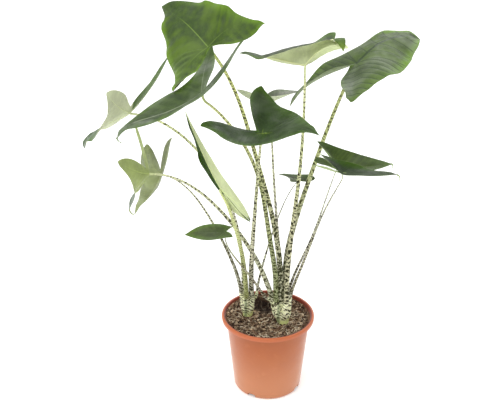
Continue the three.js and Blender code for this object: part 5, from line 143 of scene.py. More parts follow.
        -167,-1500,6106,-76,-1568,6146,-86,-1566,6141,-95,-1565,6137,-105,-1565,6133,-115,-1564,6128,-125,-1564,6124,-135,-1565,6120,-145,-1566,6117,-155,-1567,6113,-165,-1568,6111,-176,-1568,6109,-186,-1566,6109,-196,-1564,6109,-206,-1559,6110,-215,-1555,6111,-225,-1551,6114,-234,-1546,6117,-243,-1542,6120,-252,-1537,6124,-261,-1533,6127,-269,-1527,6130,-266,-1522,6130,-261,-1518,6129,-254,-1513,6127,-247,-1509,6125,-239,-1506,6124,-231,-1502,6122,-221,-1499,6120,-211,-1496,6118,-200,-1494,6116,
        -188,-1494,6113,-177,-1494,6111,-182,-1483,6119,-185,-1471,6126,-186,-1460,6132,-186,-1449,6138,-185,-1439,6142,-183,-1429,6146,-182,-1419,6150,-179,-1411,6153,-176,-1403,6155,-173,-1395,6157,-168,-1391,6157,-161,-1396,6152,-155,-1403,6147,-148,-1411,6143,-142,-1418,6139,-135,-1425,6135,-128,-1433,6133,-122,-1441,6130,-115,-1450,6130,-110,-1459,6129,-106,-1468,6129,-103,-1479,6129,-102,-1489,6130,-100,-1500,6131,-99,-1510,6133,-96,-1520,6134,-93,-1530,6137,-89,-1540,6139,-85,-1549,6141,
        -81,-1559,6143,32,-1649,6195,11,-1646,6186,-11,-1644,6176,-32,-1643,6167,-54,-1642,6157,-75,-1642,6147,-97,-1643,6138,-119,-1645,6130,-141,-1647,6123,-164,-1649,6117,-187,-1649,6113,-210,-1646,6110,-233,-1640,6111,-254,-1630,6112,-275,-1621,6117,-295,-1611,6122,-315,-1601,6129,-335,-1591,6137,-355,-1582,6145,-375,-1572,6152,-393,-1560,6160,-386,-1548,6159,-374,-1538,6156,-360,-1529,6153,-345,-1520,6149,-327,-1512,6145,-308,-1504,6140,-288,-1496,6136,-265,-1490,6131,-241,-1486,6126,
        -215,-1485,6121,-189,-1487,6117,-200,-1462,6135,-206,-1438,6151,-208,-1413,6165,-208,-1389,6177,-206,-1365,6187,-204,-1343,6196,-200,-1323,6203,-195,-1304,6209,-189,-1286,6214,-182,-1271,6218,-171,-1260,6218,-155,-1273,6208,-141,-1288,6197,-126,-1304,6187,-112,-1320,6178,-97,-1336,6171,-82,-1353,6164,-69,-1371,6160,-53,-1389,6157,-42,-1409,6157,-33,-1430,6157,-28,-1453,6159,-24,-1476,6160,-22,-1499,6163,-18,-1522,6166,-13,-1544,6171,-6,-1566,6175,3,-1587,6180,12,-1608,6185,
        21,-1629,6190,157,-1743,6255,122,-1738,6240,87,-1735,6224,52,-1733,6208,17,-1732,6192,-19,-1732,6176,-54,-1734,6160,-89,-1737,6146,-125,-1741,6133,-163,-1744,6123,-200,-1744,6116,-238,-1738,6112,-275,-1729,6111,-309,-1712,6115,-344,-1697,6122,-378,-1681,6132,-411,-1665,6143,-443,-1649,6157,-475,-1633,6170,-507,-1617,6184,-536,-1597,6198,-525,-1577,6196,-505,-1561,6191,-483,-1546,6185,-457,-1532,6179,-429,-1518,6171,-398,-1505,6163,-365,-1493,6156,-328,-1483,6147,-288,-1476,6139,
        -246,-1475,6130,-203,-1478,6123,-219,-1439,6156,-230,-1399,6184,-235,-1359,6206,-234,-1319,6225,-232,-1281,6241,-228,-1245,6255,-222,-1211,6267,-214,-1180,6276,-204,-1151,6284,-193,-1125,6290,-174,-1108,6290,-148,-1128,6272,-125,-1153,6254,-102,-1179,6237,-78,-1205,6223,-53,-1231,6210,-29,-1259,6200,-6,-1288,6192,19,-1317,6189,38,-1350,6188,52,-1386,6190,60,-1423,6192,65,-1461,6197,69,-1498,6202,75,-1535,6208,83,-1572,6216,95,-1607,6223,109,-1642,6231,124,-1676,6239,
        140,-1710,6247,283,-1838,6313,233,-1831,6294,184,-1827,6272,135,-1824,6250,87,-1822,6228,38,-1822,6205,-11,-1825,6182,-60,-1830,6161,-110,-1835,6144,-161,-1839,6129,-214,-1839,6119,-266,-1831,6113,-318,-1817,6113,-366,-1794,6116,-414,-1773,6127,-460,-1751,6140,-505,-1728,6159,-550,-1706,6178,-594,-1685,6199,-638,-1662,6219,-678,-1634,6240,-662,-1607,6238,-635,-1585,6232,-604,-1563,6223,-569,-1543,6213,-530,-1524,6201,-488,-1506,6189,-442,-1489,6176,-391,-1475,6164,-336,-1466,6150,
        -277,-1465,6138,-217,-1470,6131,-239,-1416,6177,-256,-1362,6216,-262,-1305,6247,-263,-1250,6272,-260,-1196,6294,-255,-1146,6313,-247,-1099,6329,-236,-1055,6342,-223,-1015,6353,-205,-980,6361,-179,-956,6360,-142,-984,6335,-109,-1017,6309,-77,-1053,6286,-43,-1088,6264,-9,-1125,6247,25,-1163,6232,57,-1205,6223,91,-1245,6218,118,-1291,6219,137,-1341,6221,148,-1392,6227,155,-1445,6234,160,-1497,6243,167,-1548,6252,180,-1599,6262,196,-1648,6272,216,-1696,6282,237,-1744,6293,
        259,-1792,6303,411,-1933,6362,347,-1924,6339,283,-1919,6315,220,-1915,6288,158,-1912,6260,96,-1912,6231,33,-1916,6202,-30,-1922,6176,-94,-1929,6153,-160,-1934,6136,-227,-1934,6123,-295,-1923,6116,-361,-1906,6114,-422,-1876,6120,-484,-1849,6131,-543,-1821,6151,-600,-1792,6174,-656,-1765,6204,-712,-1737,6232,-766,-1709,6262,-816,-1673,6289,-796,-1637,6288,-762,-1608,6278,-723,-1581,6267,-679,-1554,6252,-630,-1530,6236,-576,-1507,6217,-518,-1485,6200,-454,-1467,6179,-384,-1456,6161,
        -308,-1456,6146,-231,-1462,6137,-259,-1394,6198,-280,-1325,6248,-292,-1253,6288,-293,-1181,6320,-290,-1112,6346,-284,-1047,6370,-275,-987,6390,-261,-930,6407,-242,-880,6421,-219,-834,6431,-183,-805,6429,-135,-838,6394,-93,-881,6361,-51,-925,6329,-8,-971,6302,35,-1018,6279,79,-1068,6262,120,-1121,6251,163,-1173,6248,198,-1232,6247,221,-1296,6253,236,-1362,6261,243,-1429,6273,249,-1495,6286,259,-1561,6297,275,-1626,6310,298,-1689,6320,323,-1751,6333,351,-1812,6343,
        379,-1873,6356,535,-2022,6382,452,-2011,6384,375,-2004,6354,298,-2000,6325,223,-1996,6290,149,-1996,6256,74,-2000,6223,-2,-2008,6191,-80,-2015,6166,-159,-2021,6145,-240,-2022,6131,-321,-2009,6121,-400,-1988,6120,-474,-1952,6123,-548,-1920,6138,-620,-1885,6159,-688,-1852,6192,-754,-1820,6228,-818,-1788,6268,-883,-1754,6304,-945,-1708,6330,-920,-1666,6336,-879,-1631,6325,-832,-1597,6310,-780,-1565,6292,-722,-1534,6270,-658,-1506,6247,-589,-1480,6220,-512,-1459,6196,-428,-1447,6172,
        -337,-1447,6153,-244,-1454,6144,-277,-1373,6218,-304,-1291,6278,-318,-1204,6326,-323,-1118,6364,-319,-1034,6395,-314,-956,6422,-302,-882,6446,-284,-815,6468,-260,-753,6484,-228,-700,6495,-183,-664,6493,-127,-704,6450,-76,-754,6407,-26,-807,6368,24,-861,6331,76,-918,6305,129,-978,6287,178,-1043,6277,231,-1106,6274,271,-1177,6276,300,-1254,6282,317,-1333,6295,325,-1414,6310,332,-1494,6326,344,-1574,6341,366,-1652,6350,394,-1728,6360,428,-1802,6364,462,-1876,6374,
        497,-1950,6376,648,-2104,6362,554,-2092,6368,461,-2085,6380,373,-2079,6347,285,-2074,6314,198,-2074,6276,111,-2078,6242,23,-2087,6208,-67,-2095,6179,-159,-2102,6159,-252,-2102,6142,-345,-2088,6132,-437,-2064,6128,-522,-2023,6131,-608,-1985,6145,-690,-1946,6171,-769,-1907,6206,-842,-1872,6255,-916,-1835,6302,-997,-1793,6326,-1068,-1740,6355,-1038,-1692,6364,-987,-1653,6367,-933,-1613,6350,-873,-1575,6329,-805,-1539,6304,-732,-1506,6276,-652,-1476,6244,-566,-1452,6210,-469,-1438,6182,
        -363,-1439,6160,-256,-1447,6150,-294,-1353,6236,-325,-1259,6306,-345,-1160,6361,-350,-1060,6404,-350,-962,6438,-343,-871,6469,-326,-786,6499,-305,-708,6524,-268,-639,6543,-230,-577,6557,-176,-538,6557,-119,-579,6496,-61,-638,6448,-3,-697,6402,54,-759,6359,114,-824,6322,175,-894,6307,232,-970,6302,292,-1044,6300,340,-1126,6301,373,-1215,6310,392,-1307,6324,400,-1399,6345,408,-1492,6366,422,-1585,6382,448,-1676,6392,484,-1764,6389,525,-1850,6393,566,-1936,6392,
        607,-2021,6394,746,-2177,6322,649,-2165,6355,546,-2156,6370,443,-2151,6364,344,-2146,6327,244,-2145,6295,145,-2150,6258,45,-2160,6224,-56,-2168,6195,-160,-2175,6175,-264,-2175,6157,-368,-2160,6145,-470,-2132,6143,-565,-2087,6142,-661,-2045,6159,-754,-2001,6184,-842,-1958,6223,-924,-1919,6278,-1013,-1872,6313,-1104,-1825,6338,-1181,-1755,6342,-1149,-1715,6382,-1092,-1670,6386,-1026,-1628,6386,-958,-1585,6362,-882,-1544,6336,-800,-1506,6304,-711,-1471,6266,-613,-1445,6227,-506,-1431,6191,
        -388,-1431,6166,-267,-1440,6155,-309,-1335,6252,-345,-1230,6331,-368,-1119,6393,-378,-1006,6438,-378,-897,6476,-370,-794,6514,-351,-698,6547,-317,-611,6578,-273,-533,6598,-222,-465,6607,-161,-419,6610,-103,-464,6541,-44,-533,6491,22,-599,6440,80,-664,6380,147,-737,6338,217,-817,6326,281,-904,6325,348,-987,6324,402,-1079,6325,439,-1179,6333,460,-1283,6351,469,-1386,6376,476,-1490,6403,492,-1594,6422,526,-1696,6425,567,-1797,6419,615,-1894,6406,663,-1992,6403,
        702,-2085,6360,
    ],
    "folded": [
        -880,-950,4844,-965,-902,4966,-961,-899,4955,-957,-897,4944,-952,-894,4932,-948,-891,4921,-944,-889,4910,-939,-887,4899,-933,-886,4888,-927,-886,4877,-920,-887,4867,-913,-890,4857,-906,-894,4848,-898,-900,4840,-891,-906,4833,-883,-911,4825,-875,-915,4816,-867,-918,4807,-859,-922,4799,-851,-926,4790,-844,-931,4782,-837,-938,4775,-838,-941,4778,-840,-943,4782,-843,-945,4787,-846,-947,4792,-849,-948,4797,-853,-950,4803,-856,-951,4809,-860,-952,4816,-865,-953,4822,
        -869,-953,4830,-875,-953,4837,-869,-958,4832,-863,-963,4828,-858,-968,4825,-854,-974,4822,-849,-979,4820,-845,-984,4818,-842,-989,4816,-839,-994,4815,-836,-999,4814,-833,-1003,4814,-831,-1007,4814,-838,-1005,4824,-845,-1002,4833,-852,-998,4841,-859,-994,4850,-867,-990,4858,-874,-986,4867,-880,-985,4877,-886,-984,4887,-892,-982,4897,-899,-978,4906,-906,-974,4915,-913,-968,4923,-920,-961,4929,-926,-953,4936,-933,-945,4941,-940,-937,4946,-946,-928,4951,-952,-919,4956,
        -959,-910,4961,-1064,-841,5115,-1056,-836,5090,-1047,-831,5065,-1038,-824,5040,-1028,-819,5015,-1018,-814,4990,-1007,-810,4966,-995,-808,4941,-982,-808,4917,-967,-811,4894,-951,-818,4873,-935,-827,4853,-919,-839,4836,-902,-852,4819,-885,-864,4802,-867,-873,4783,-850,-880,4763,-833,-888,4744,-816,-897,4725,-799,-909,4708,-784,-924,4692,-787,-930,4699,-793,-934,4708,-798,-939,4718,-805,-942,4729,-812,-946,4741,-820,-949,4753,-828,-953,4767,-837,-955,4781,-846,-957,4796,
        -857,-957,4812,-868,-956,4829,-855,-967,4818,-843,-978,4809,-832,-989,4801,-822,-1001,4795,-812,-1013,4790,-804,-1025,4786,-796,-1036,4782,-788,-1046,4780,-782,-1056,4778,-776,-1066,4777,-773,-1075,4779,-787,-1071,4800,-802,-1064,4819,-818,-1056,4838,-833,-1046,4857,-849,-1036,4875,-864,-1029,4895,-878,-1025,4917,-891,-1023,4939,-905,-1018,4961,-920,-1011,4982,-934,-1001,5001,-950,-988,5018,-965,-972,5034,-980,-956,5047,-995,-938,5060,-1009,-919,5071,-1023,-900,5082,-1037,-880,5093,
        -1051,-861,5104,-1170,-766,5294,-1156,-757,5253,-1142,-749,5211,-1128,-739,5170,-1113,-730,5129,-1097,-723,5088,-1080,-718,5047,-1061,-715,5006,-1040,-715,4967,-1016,-721,4929,-992,-731,4894,-966,-747,4861,-940,-767,4831,-913,-789,4804,-886,-809,4775,-858,-824,4744,-830,-835,4712,-803,-848,4680,-775,-864,4650,-748,-883,4621,-722,-908,4596,-728,-918,4607,-736,-925,4621,-746,-932,4638,-757,-938,4655,-768,-944,4674,-781,-950,4695,-794,-955,4717,-809,-959,4740,-825,-961,4765,
        -842,-961,4791,-860,-960,4819,-839,-976,4801,-819,-995,4786,-801,-1014,4774,-784,-1033,4764,-769,-1053,4755,-754,-1072,4748,-741,-1090,4743,-730,-1107,4738,-719,-1123,4735,-710,-1139,4733,-704,-1154,4736,-726,-1148,4771,-751,-1136,4804,-776,-1122,4835,-801,-1106,4866,-826,-1089,4895,-850,-1077,4929,-872,-1071,4965,-892,-1066,5002,-914,-1058,5039,-936,-1045,5073,-961,-1028,5105,-985,-1007,5133,-1010,-982,5158,-1034,-954,5181,-1058,-925,5202,-1081,-894,5221,-1104,-863,5240,-1126,-830,5257,
        -1149,-798,5276,-1265,-685,5476,-1249,-674,5418,-1230,-663,5360,-1212,-650,5302,-1193,-639,5244,-1173,-631,5186,-1150,-623,5129,-1125,-620,5072,-1097,-622,5017,-1066,-630,4964,-1033,-645,4914,-998,-668,4868,-963,-696,4827,-926,-727,4788,-889,-755,4748,-850,-775,4705,-812,-791,4659,-773,-809,4615,-735,-832,4573,-697,-858,4533,-659,-892,4499,-667,-906,4515,-679,-916,4535,-693,-925,4558,-708,-934,4582,-724,-942,4609,-742,-950,4637,-761,-957,4668,-781,-963,4700,-803,-966,4734,
        -827,-966,4771,-852,-963,4809,-823,-986,4785,-795,-1011,4763,-770,-1038,4746,-747,-1065,4732,-725,-1092,4720,-706,-1118,4710,-688,-1143,4702,-671,-1167,4696,-657,-1190,4691,-644,-1212,4688,-636,-1232,4692,-666,-1224,4741,-699,-1208,4788,-734,-1188,4832,-768,-1166,4875,-802,-1141,4917,-834,-1124,4963,-863,-1114,5015,-891,-1107,5066,-919,-1094,5118,-950,-1077,5166,-982,-1052,5210,-1015,-1022,5250,-1048,-987,5286,-1081,-949,5318,-1113,-907,5347,-1145,-865,5374,-1176,-820,5400,-1207,-775,5425,
        -1236,-730,5451,-1353,-601,5661,-1333,-587,5586,-1312,-574,5510,-1289,-559,5436,-1267,-546,5361,-1243,-536,5286,-1220,-530,5211,-1189,-527,5139,-1158,-531,5067,-1119,-541,4998,-1078,-561,4934,-1034,-590,4875,-988,-626,4821,-942,-666,4771,-893,-701,4720,-844,-727,4664,-795,-747,4606,-746,-772,4549,-695,-800,4495,-644,-834,4446,-595,-877,4404,-605,-895,4424,-621,-907,4450,-639,-919,4478,-659,-930,4509,-680,-941,4543,-703,-950,4579,-727,-960,4618,-754,-967,4660,-782,-971,4704,
        -812,-971,4750,-844,-967,4799,-807,-996,4768,-772,-1028,4740,-739,-1062,4718,-709,-1097,4699,-682,-1131,4684,-657,-1164,4672,-634,-1196,4660,-614,-1227,4652,-595,-1256,4645,-578,-1284,4642,-567,-1310,4647,-605,-1300,4711,-648,-1279,4771,-691,-1254,4829,-734,-1225,4884,-777,-1192,4939,-817,-1169,4999,-854,-1157,5064,-889,-1146,5131,-925,-1131,5197,-963,-1107,5259,-1004,-1075,5316,-1045,-1036,5367,-1086,-991,5413,-1127,-941,5454,-1168,-889,5492,-1207,-834,5527,-1246,-777,5561,-1283,-718,5593,
        -1320,-661,5627,-1427,-519,5834,-1410,-506,5742,-1384,-491,5651,-1357,-473,5562,-1330,-459,5472,-1303,-447,5382,-1277,-441,5291,-1252,-442,5200,-1216,-447,5113,-1173,-461,5029,-1123,-485,4951,-1071,-519,4879,-1016,-563,4814,-958,-610,4755,-899,-651,4693,-840,-684,4626,-782,-708,4554,-722,-738,4486,-660,-773,4422,-597,-813,4363,-532,-864,4317,-546,-885,4341,-565,-900,4372,-587,-914,4406,-611,-928,4443,-638,-940,4483,-666,-952,4526,-696,-962,4572,-728,-971,4622,-762,-975,4675,
        -798,-975,4731,-837,-970,4790,-792,-1005,4753,-749,-1043,4719,-710,-1084,4692,-675,-1125,4669,-643,-1167,4651,-613,-1207,4634,-586,-1246,4620,-561,-1283,4609,-539,-1318,4601,-518,-1351,4596,-505,-1381,4603,-550,-1370,4680,-600,-1346,4754,-652,-1315,4824,-703,-1279,4893,-754,-1240,4959,-801,-1212,5032,-846,-1196,5111,-888,-1183,5191,-933,-1164,5270,-979,-1135,5344,-1027,-1097,5413,-1076,-1050,5475,-1123,-994,5531,-1172,-934,5581,-1216,-869,5627,-1262,-803,5670,-1305,-733,5711,-1348,-662,5751,
        -1387,-591,5793,-1486,-440,5996,-1466,-427,5889,-1448,-415,5783,-1416,-395,5680,-1380,-377,5578,-1349,-364,5474,-1322,-356,5368,-1294,-358,5262,-1277,-374,5154,-1227,-390,5057,-1168,-416,4968,-1107,-456,4884,-1045,-505,4807,-978,-560,4738,-906,-606,4667,-837,-644,4589,-770,-673,4506,-701,-710,4427,-629,-749,4352,-551,-797,4288,-472,-854,4238,-488,-878,4265,-512,-894,4300,-538,-910,4340,-567,-926,4382,-598,-940,4428,-631,-953,4477,-666,-965,4531,-704,-974,4588,-744,-980,4649,
        -786,-979,4713,-830,-973,4782,-778,-1014,4738,-729,-1057,4699,-684,-1104,4667,-643,-1152,4641,-607,-1200,4618,-573,-1247,4599,-542,-1291,4582,-513,-1334,4569,-487,-1374,4559,-463,-1412,4553,-443,-1446,4560,-497,-1434,4651,-557,-1406,4737,-618,-1372,4819,-676,-1330,4898,-732,-1284,4978,-786,-1250,5063,-838,-1232,5154,-892,-1218,5246,-944,-1196,5336,-996,-1162,5422,-1051,-1118,5502,-1107,-1062,5574,-1162,-998,5639,-1211,-926,5698,-1262,-850,5751,-1309,-770,5802,-1358,-689,5850,-1400,-605,5897,
        -1444,-523,5947,-1539,-365,6142,-1515,-355,6026,-1495,-342,5907,-1471,-325,5790,-1431,-303,5675,-1391,-288,5560,-1363,-279,5440,-1336,-282,5319,-1324,-302,5196,-1277,-325,5083,-1209,-354,4983,-1142,-398,4888,-1073,-454,4801,-996,-514,4723,-914,-565,4643,-836,-609,4555,-760,-642,4461,-683,-684,4372,-601,-731,4289,-512,-784,4216,-413,-850,4163,-435,-872,4197,-462,-890,4236,-493,-907,4279,-525,-924,4327,-561,-940,4378,-599,-955,4433,-639,-968,4493,-682,-978,4556,-727,-983,4625,
        -774,-982,4697,-824,-976,4774,-766,-1022,4725,-710,-1070,4681,-660,-1122,4645,-615,-1176,4614,-575,-1230,4588,-537,-1282,4565,-502,-1332,4547,-470,-1380,4531,-441,-1425,4519,-409,-1464,4510,-386,-1502,4518,-448,-1488,4621,-518,-1461,4720,-586,-1423,4812,-651,-1376,4904,-712,-1325,4995,-773,-1285,5092,-834,-1267,5194,-895,-1249,5296,-955,-1226,5397,-1014,-1187,5494,-1075,-1137,5584,-1137,-1075,5664,-1194,-1000,5738,-1249,-918,5805,-1300,-829,5866,-1352,-739,5923,-1401,-645,5978,-1448,-550,6031,
        -1492,-458,6088,
    ],
    "top_centre": [
        611,-300,6950,505,-216,6951,514,-219,6948,522,-223,6944,530,-225,6941,539,-228,6938,548,-230,6936,557,-232,6934,566,-233,6933,576,-234,6933,585,-236,6934,594,-238,6935,604,-240,6938,612,-242,6942,621,-244,6946,629,-246,6951,637,-247,6957,645,-247,6963,653,-247,6969,661,-246,6975,668,-246,6981,676,-247,6987,676,-253,6987,673,-258,6986,670,-264,6985,667,-271,6983,662,-277,6980,657,-283,6977,651,-289,6974,644,-295,6970,636,-300,6966,
        627,-303,6961,618,-305,6956,624,-311,6963,629,-316,6970,634,-322,6977,638,-326,6984,642,-330,6990,645,-334,6997,649,-337,7003,652,-339,7008,656,-341,7014,658,-343,7019,661,-343,7023,658,-333,7020,654,-324,7016,649,-314,7012,644,-305,7009,638,-296,7006,631,-288,7004,623,-280,7004,614,-273,7002,605,-267,7001,595,-262,6999,585,-258,6996,575,-254,6993,565,-250,6989,556,-246,6983,547,-242,6978,538,-238,6972,530,-233,6967,521,-228,6961,
        513,-222,6956,377,-115,6954,395,-123,6946,413,-131,6939,432,-137,6932,451,-142,6926,470,-146,6920,491,-150,6916,511,-153,6913,532,-156,6914,553,-159,6916,574,-163,6920,594,-168,6926,613,-173,6934,632,-177,6943,650,-182,6954,668,-183,6966,685,-183,6979,702,-183,6993,719,-182,7006,736,-181,7020,752,-183,7033,752,-196,7034,747,-208,7032,741,-222,7028,733,-235,7024,723,-249,7018,712,-262,7012,699,-276,7005,684,-289,6996,667,-299,6986,
        647,-306,6975,627,-310,6963,639,-324,6978,651,-337,6993,661,-348,7008,670,-358,7023,678,-367,7038,686,-374,7052,694,-381,7066,702,-386,7078,709,-391,7090,715,-394,7101,721,-394,7111,715,-373,7103,707,-352,7093,698,-330,7085,688,-309,7077,674,-289,7072,659,-271,7068,641,-254,7067,621,-240,7065,599,-227,7063,577,-217,7059,555,-207,7053,533,-198,7046,511,-189,7037,490,-181,7026,470,-172,7014,450,-163,7001,431,-153,6989,413,-142,6976,
        395,-129,6965,224,-3,6964,254,-16,6951,284,-27,6939,314,-36,6927,345,-44,6915,377,-51,6906,410,-56,6899,444,-60,6897,478,-64,6897,512,-70,6903,545,-76,6910,578,-83,6921,610,-91,6932,641,-98,6947,672,-106,6963,702,-108,6982,730,-109,7003,757,-108,7026,785,-106,7048,812,-105,7070,838,-109,7092,839,-129,7093,831,-150,7088,821,-172,7082,808,-194,7074,792,-216,7065,774,-239,7054,753,-261,7042,729,-281,7028,701,-299,7011,
        670,-310,6991,637,-316,6971,659,-340,6994,677,-361,7018,694,-379,7042,708,-396,7067,722,-409,7092,736,-422,7115,749,-432,7137,762,-441,7158,774,-448,7177,786,-454,7194,796,-453,7210,788,-418,7194,777,-383,7178,763,-348,7163,746,-313,7152,723,-280,7145,694,-252,7141,663,-226,7142,627,-206,7140,591,-186,7138,554,-170,7132,517,-154,7124,481,-138,7112,445,-124,7098,412,-109,7080,378,-95,7061,346,-79,7040,315,-63,7020,284,-45,6999,
        254,-26,6980,59,87,6976,103,77,6959,145,63,6942,187,53,6925,231,44,6910,276,37,6897,322,33,6890,370,30,6889,417,25,6895,463,18,6907,508,9,6922,551,-3,6939,594,-15,6957,638,-24,6975,681,-34,6994,724,-36,7017,764,-35,7043,803,-34,7072,841,-31,7102,879,-30,7132,918,-34,7158,921,-62,7157,911,-91,7150,898,-122,7140,880,-153,7129,860,-184,7114,835,-215,7099,807,-245,7080,774,-274,7060,737,-298,7035,
        694,-314,7007,647,-322,6978,678,-355,7009,705,-385,7040,728,-412,7074,750,-434,7108,770,-453,7141,791,-470,7173,810,-485,7203,830,-497,7230,848,-507,7256,868,-513,7278,882,-510,7300,875,-461,7275,860,-413,7248,840,-363,7230,811,-316,7221,772,-274,7219,725,-241,7218,673,-218,7223,620,-195,7222,565,-178,7218,512,-156,7211,460,-137,7198,409,-114,7182,361,-91,7161,315,-68,7137,271,-43,7110,228,-20,7082,186,5,7053,143,29,7024,
        102,58,6998,-116,158,6993,-60,147,6973,-3,140,6953,53,130,6931,110,126,6912,170,121,6899,231,121,6892,293,118,6897,353,112,6912,409,99,6933,461,79,6960,511,57,6986,560,32,7014,614,18,7038,672,15,7055,729,24,7076,783,30,7103,835,37,7134,885,42,7169,936,45,7203,988,41,7234,994,5,7231,985,-32,7217,970,-71,7204,950,-111,7186,925,-151,7167,895,-191,7144,860,-230,7120,820,-267,7091,772,-298,7059,
        717,-319,7022,658,-329,6985,697,-371,7023,733,-410,7062,764,-445,7102,793,-474,7145,822,-499,7184,849,-520,7223,880,-540,7256,907,-556,7289,938,-567,7317,964,-574,7345,991,-567,7367,977,-503,7336,956,-441,7303,922,-378,7289,875,-321,7291,811,-285,7298,741,-262,7297,668,-246,7300,596,-234,7290,524,-216,7282,454,-198,7263,386,-173,7246,321,-147,7222,258,-114,7197,201,-79,7168,145,-42,7138,92,-3,7106,40,33,7071,-11,73,7037,
        -63,111,7004,-284,203,7006,-210,213,6994,-140,207,6972,-70,207,6949,1,204,6928,74,203,6909,149,202,6905,223,199,6914,293,189,6936,358,169,6967,416,139,7002,467,99,7039,523,64,7072,587,42,7103,659,46,7120,727,64,7142,794,85,7165,858,96,7201,918,100,7244,979,105,7285,1048,110,7309,1060,69,7300,1050,24,7283,1036,-23,7263,1013,-71,7241,985,-120,7215,950,-168,7187,910,-216,7155,862,-261,7120,805,-298,7080,
        740,-323,7036,668,-335,6990,716,-386,7036,758,-434,7081,797,-476,7128,834,-513,7174,870,-543,7221,910,-571,7256,947,-594,7294,989,-612,7323,1027,-625,7354,1070,-631,7374,1104,-622,7399,1084,-544,7366,1049,-467,7344,999,-392,7344,922,-347,7361,835,-327,7363,746,-313,7355,658,-310,7338,571,-297,7323,486,-283,7298,402,-261,7275,322,-234,7242,243,-202,7215,169,-162,7181,98,-118,7150,30,-71,7116,-35,-22,7084,-98,32,7055,-159,83,7019,
        -220,145,7017,-431,254,7029,-346,265,7016,-260,278,7006,-178,279,6980,-94,280,6957,-10,280,6937,74,279,6918,159,273,6933,239,258,6963,311,231,7001,373,191,7044,430,142,7086,488,91,7126,564,69,7161,648,74,7182,725,107,7200,803,135,7223,876,146,7267,946,151,7316,1023,168,7350,1102,177,7375,1117,130,7365,1111,77,7343,1095,23,7319,1072,-34,7291,1040,-90,7261,1002,-147,7226,955,-203,7189,901,-255,7146,836,-298,7099,
        760,-327,7048,678,-341,6995,733,-401,7048,782,-455,7099,827,-506,7150,871,-549,7202,919,-586,7243,965,-618,7284,1017,-644,7312,1066,-665,7344,1118,-676,7362,1167,-683,7383,1211,-667,7389,1182,-573,7401,1141,-479,7382,1060,-419,7400,960,-395,7413,854,-390,7401,754,-380,7376,653,-379,7350,554,-365,7322,455,-349,7293,361,-324,7257,269,-292,7220,181,-254,7180,95,-208,7143,15,-155,7103,-65,-100,7065,-146,-39,7040,-221,24,7014,-294,99,7028,
        -366,172,7030,-564,302,7014,-472,316,7043,-375,331,7033,-277,345,7013,-182,346,6988,-87,349,6962,6,346,6939,101,340,6955,188,321,6991,266,287,7034,335,239,7083,396,180,7129,460,124,7173,543,93,7214,637,105,7236,724,144,7254,812,179,7277,894,193,7326,974,203,7378,1062,221,7416,1153,247,7416,1172,191,7416,1165,131,7392,1151,66,7368,1125,2,7336,1091,-64,7302,1048,-127,7263,997,-191,7220,936,-249,7171,865,-298,7117,
        779,-330,7059,687,-346,7000,749,-413,7058,804,-476,7114,855,-532,7170,910,-584,7216,963,-627,7262,1023,-660,7295,1081,-688,7327,1143,-707,7343,1201,-720,7363,1259,-724,7361,1308,-708,7368,1280,-602,7390,1226,-505,7398,1114,-469,7414,992,-455,7443,875,-452,7421,763,-444,7382,653,-443,7342,540,-428,7312,430,-410,7278,326,-381,7236,226,-345,7187,128,-301,7142,31,-248,7100,-58,-188,7053,-146,-120,7005,-241,-49,6981,-335,29,7009,-419,115,7029,
        -494,208,7018,
    ],
    "low_left": [
        -843,-600,3819,-924,-580,3804,-919,-579,3806,-914,-578,3808,-909,-577,3809,-904,-576,3811,-900,-575,3812,-895,-573,3814,-890,-572,3815,-885,-571,3816,-880,-570,3818,-875,-569,3819,-870,-569,3820,-865,-569,3820,-860,-570,3821,-855,-571,3821,-850,-573,3822,-845,-576,3822,-841,-578,3822,-836,-579,3822,-831,-578,3824,-826,-577,3825,-825,-579,3825,-826,-581,3825,-826,-583,3825,-827,-585,3825,-828,-587,3825,-829,-590,3825,-831,-592,3824,-833,-595,3823,-835,-597,3822,
        -837,-599,3821,-840,-601,3820,-837,-604,3821,-834,-607,3821,-832,-611,3822,-831,-614,3822,-830,-617,3822,-829,-620,3822,-828,-623,3822,-828,-626,3822,-828,-629,3822,-827,-631,3822,-828,-633,3822,-833,-631,3820,-838,-629,3819,-843,-627,3817,-849,-626,3816,-855,-626,3814,-860,-626,3813,-866,-625,3812,-871,-623,3810,-876,-621,3809,-881,-618,3808,-886,-614,3807,-890,-611,3807,-894,-607,3806,-899,-603,3806,-903,-599,3805,-907,-595,3805,-911,-591,3805,-915,-587,3805,
        -920,-583,3805,-1021,-555,3788,-1010,-553,3792,-999,-552,3795,-988,-549,3798,-978,-547,3802,-967,-544,3805,-956,-541,3809,-946,-539,3812,-935,-536,3815,-924,-534,3817,-913,-533,3820,-902,-532,3822,-891,-533,3823,-879,-534,3825,-868,-537,3826,-858,-542,3826,-848,-547,3826,-838,-552,3826,-826,-554,3827,-815,-551,3830,-805,-549,3832,-804,-553,3833,-805,-557,3833,-806,-562,3833,-808,-567,3833,-810,-572,3833,-813,-577,3832,-816,-583,3831,-820,-588,3830,-825,-594,3827,
        -830,-598,3825,-836,-602,3822,-829,-609,3823,-823,-616,3824,-819,-623,3825,-816,-631,3825,-814,-638,3826,-812,-645,3826,-810,-651,3826,-809,-658,3826,-809,-663,3826,-808,-669,3826,-810,-673,3825,-821,-669,3822,-832,-663,3819,-844,-659,3816,-856,-657,3813,-868,-657,3810,-880,-657,3807,-892,-654,3804,-904,-651,3801,-915,-645,3798,-926,-639,3796,-937,-632,3794,-946,-624,3793,-956,-615,3792,-965,-607,3791,-974,-598,3790,-983,-589,3790,-992,-580,3789,-1001,-571,3789,
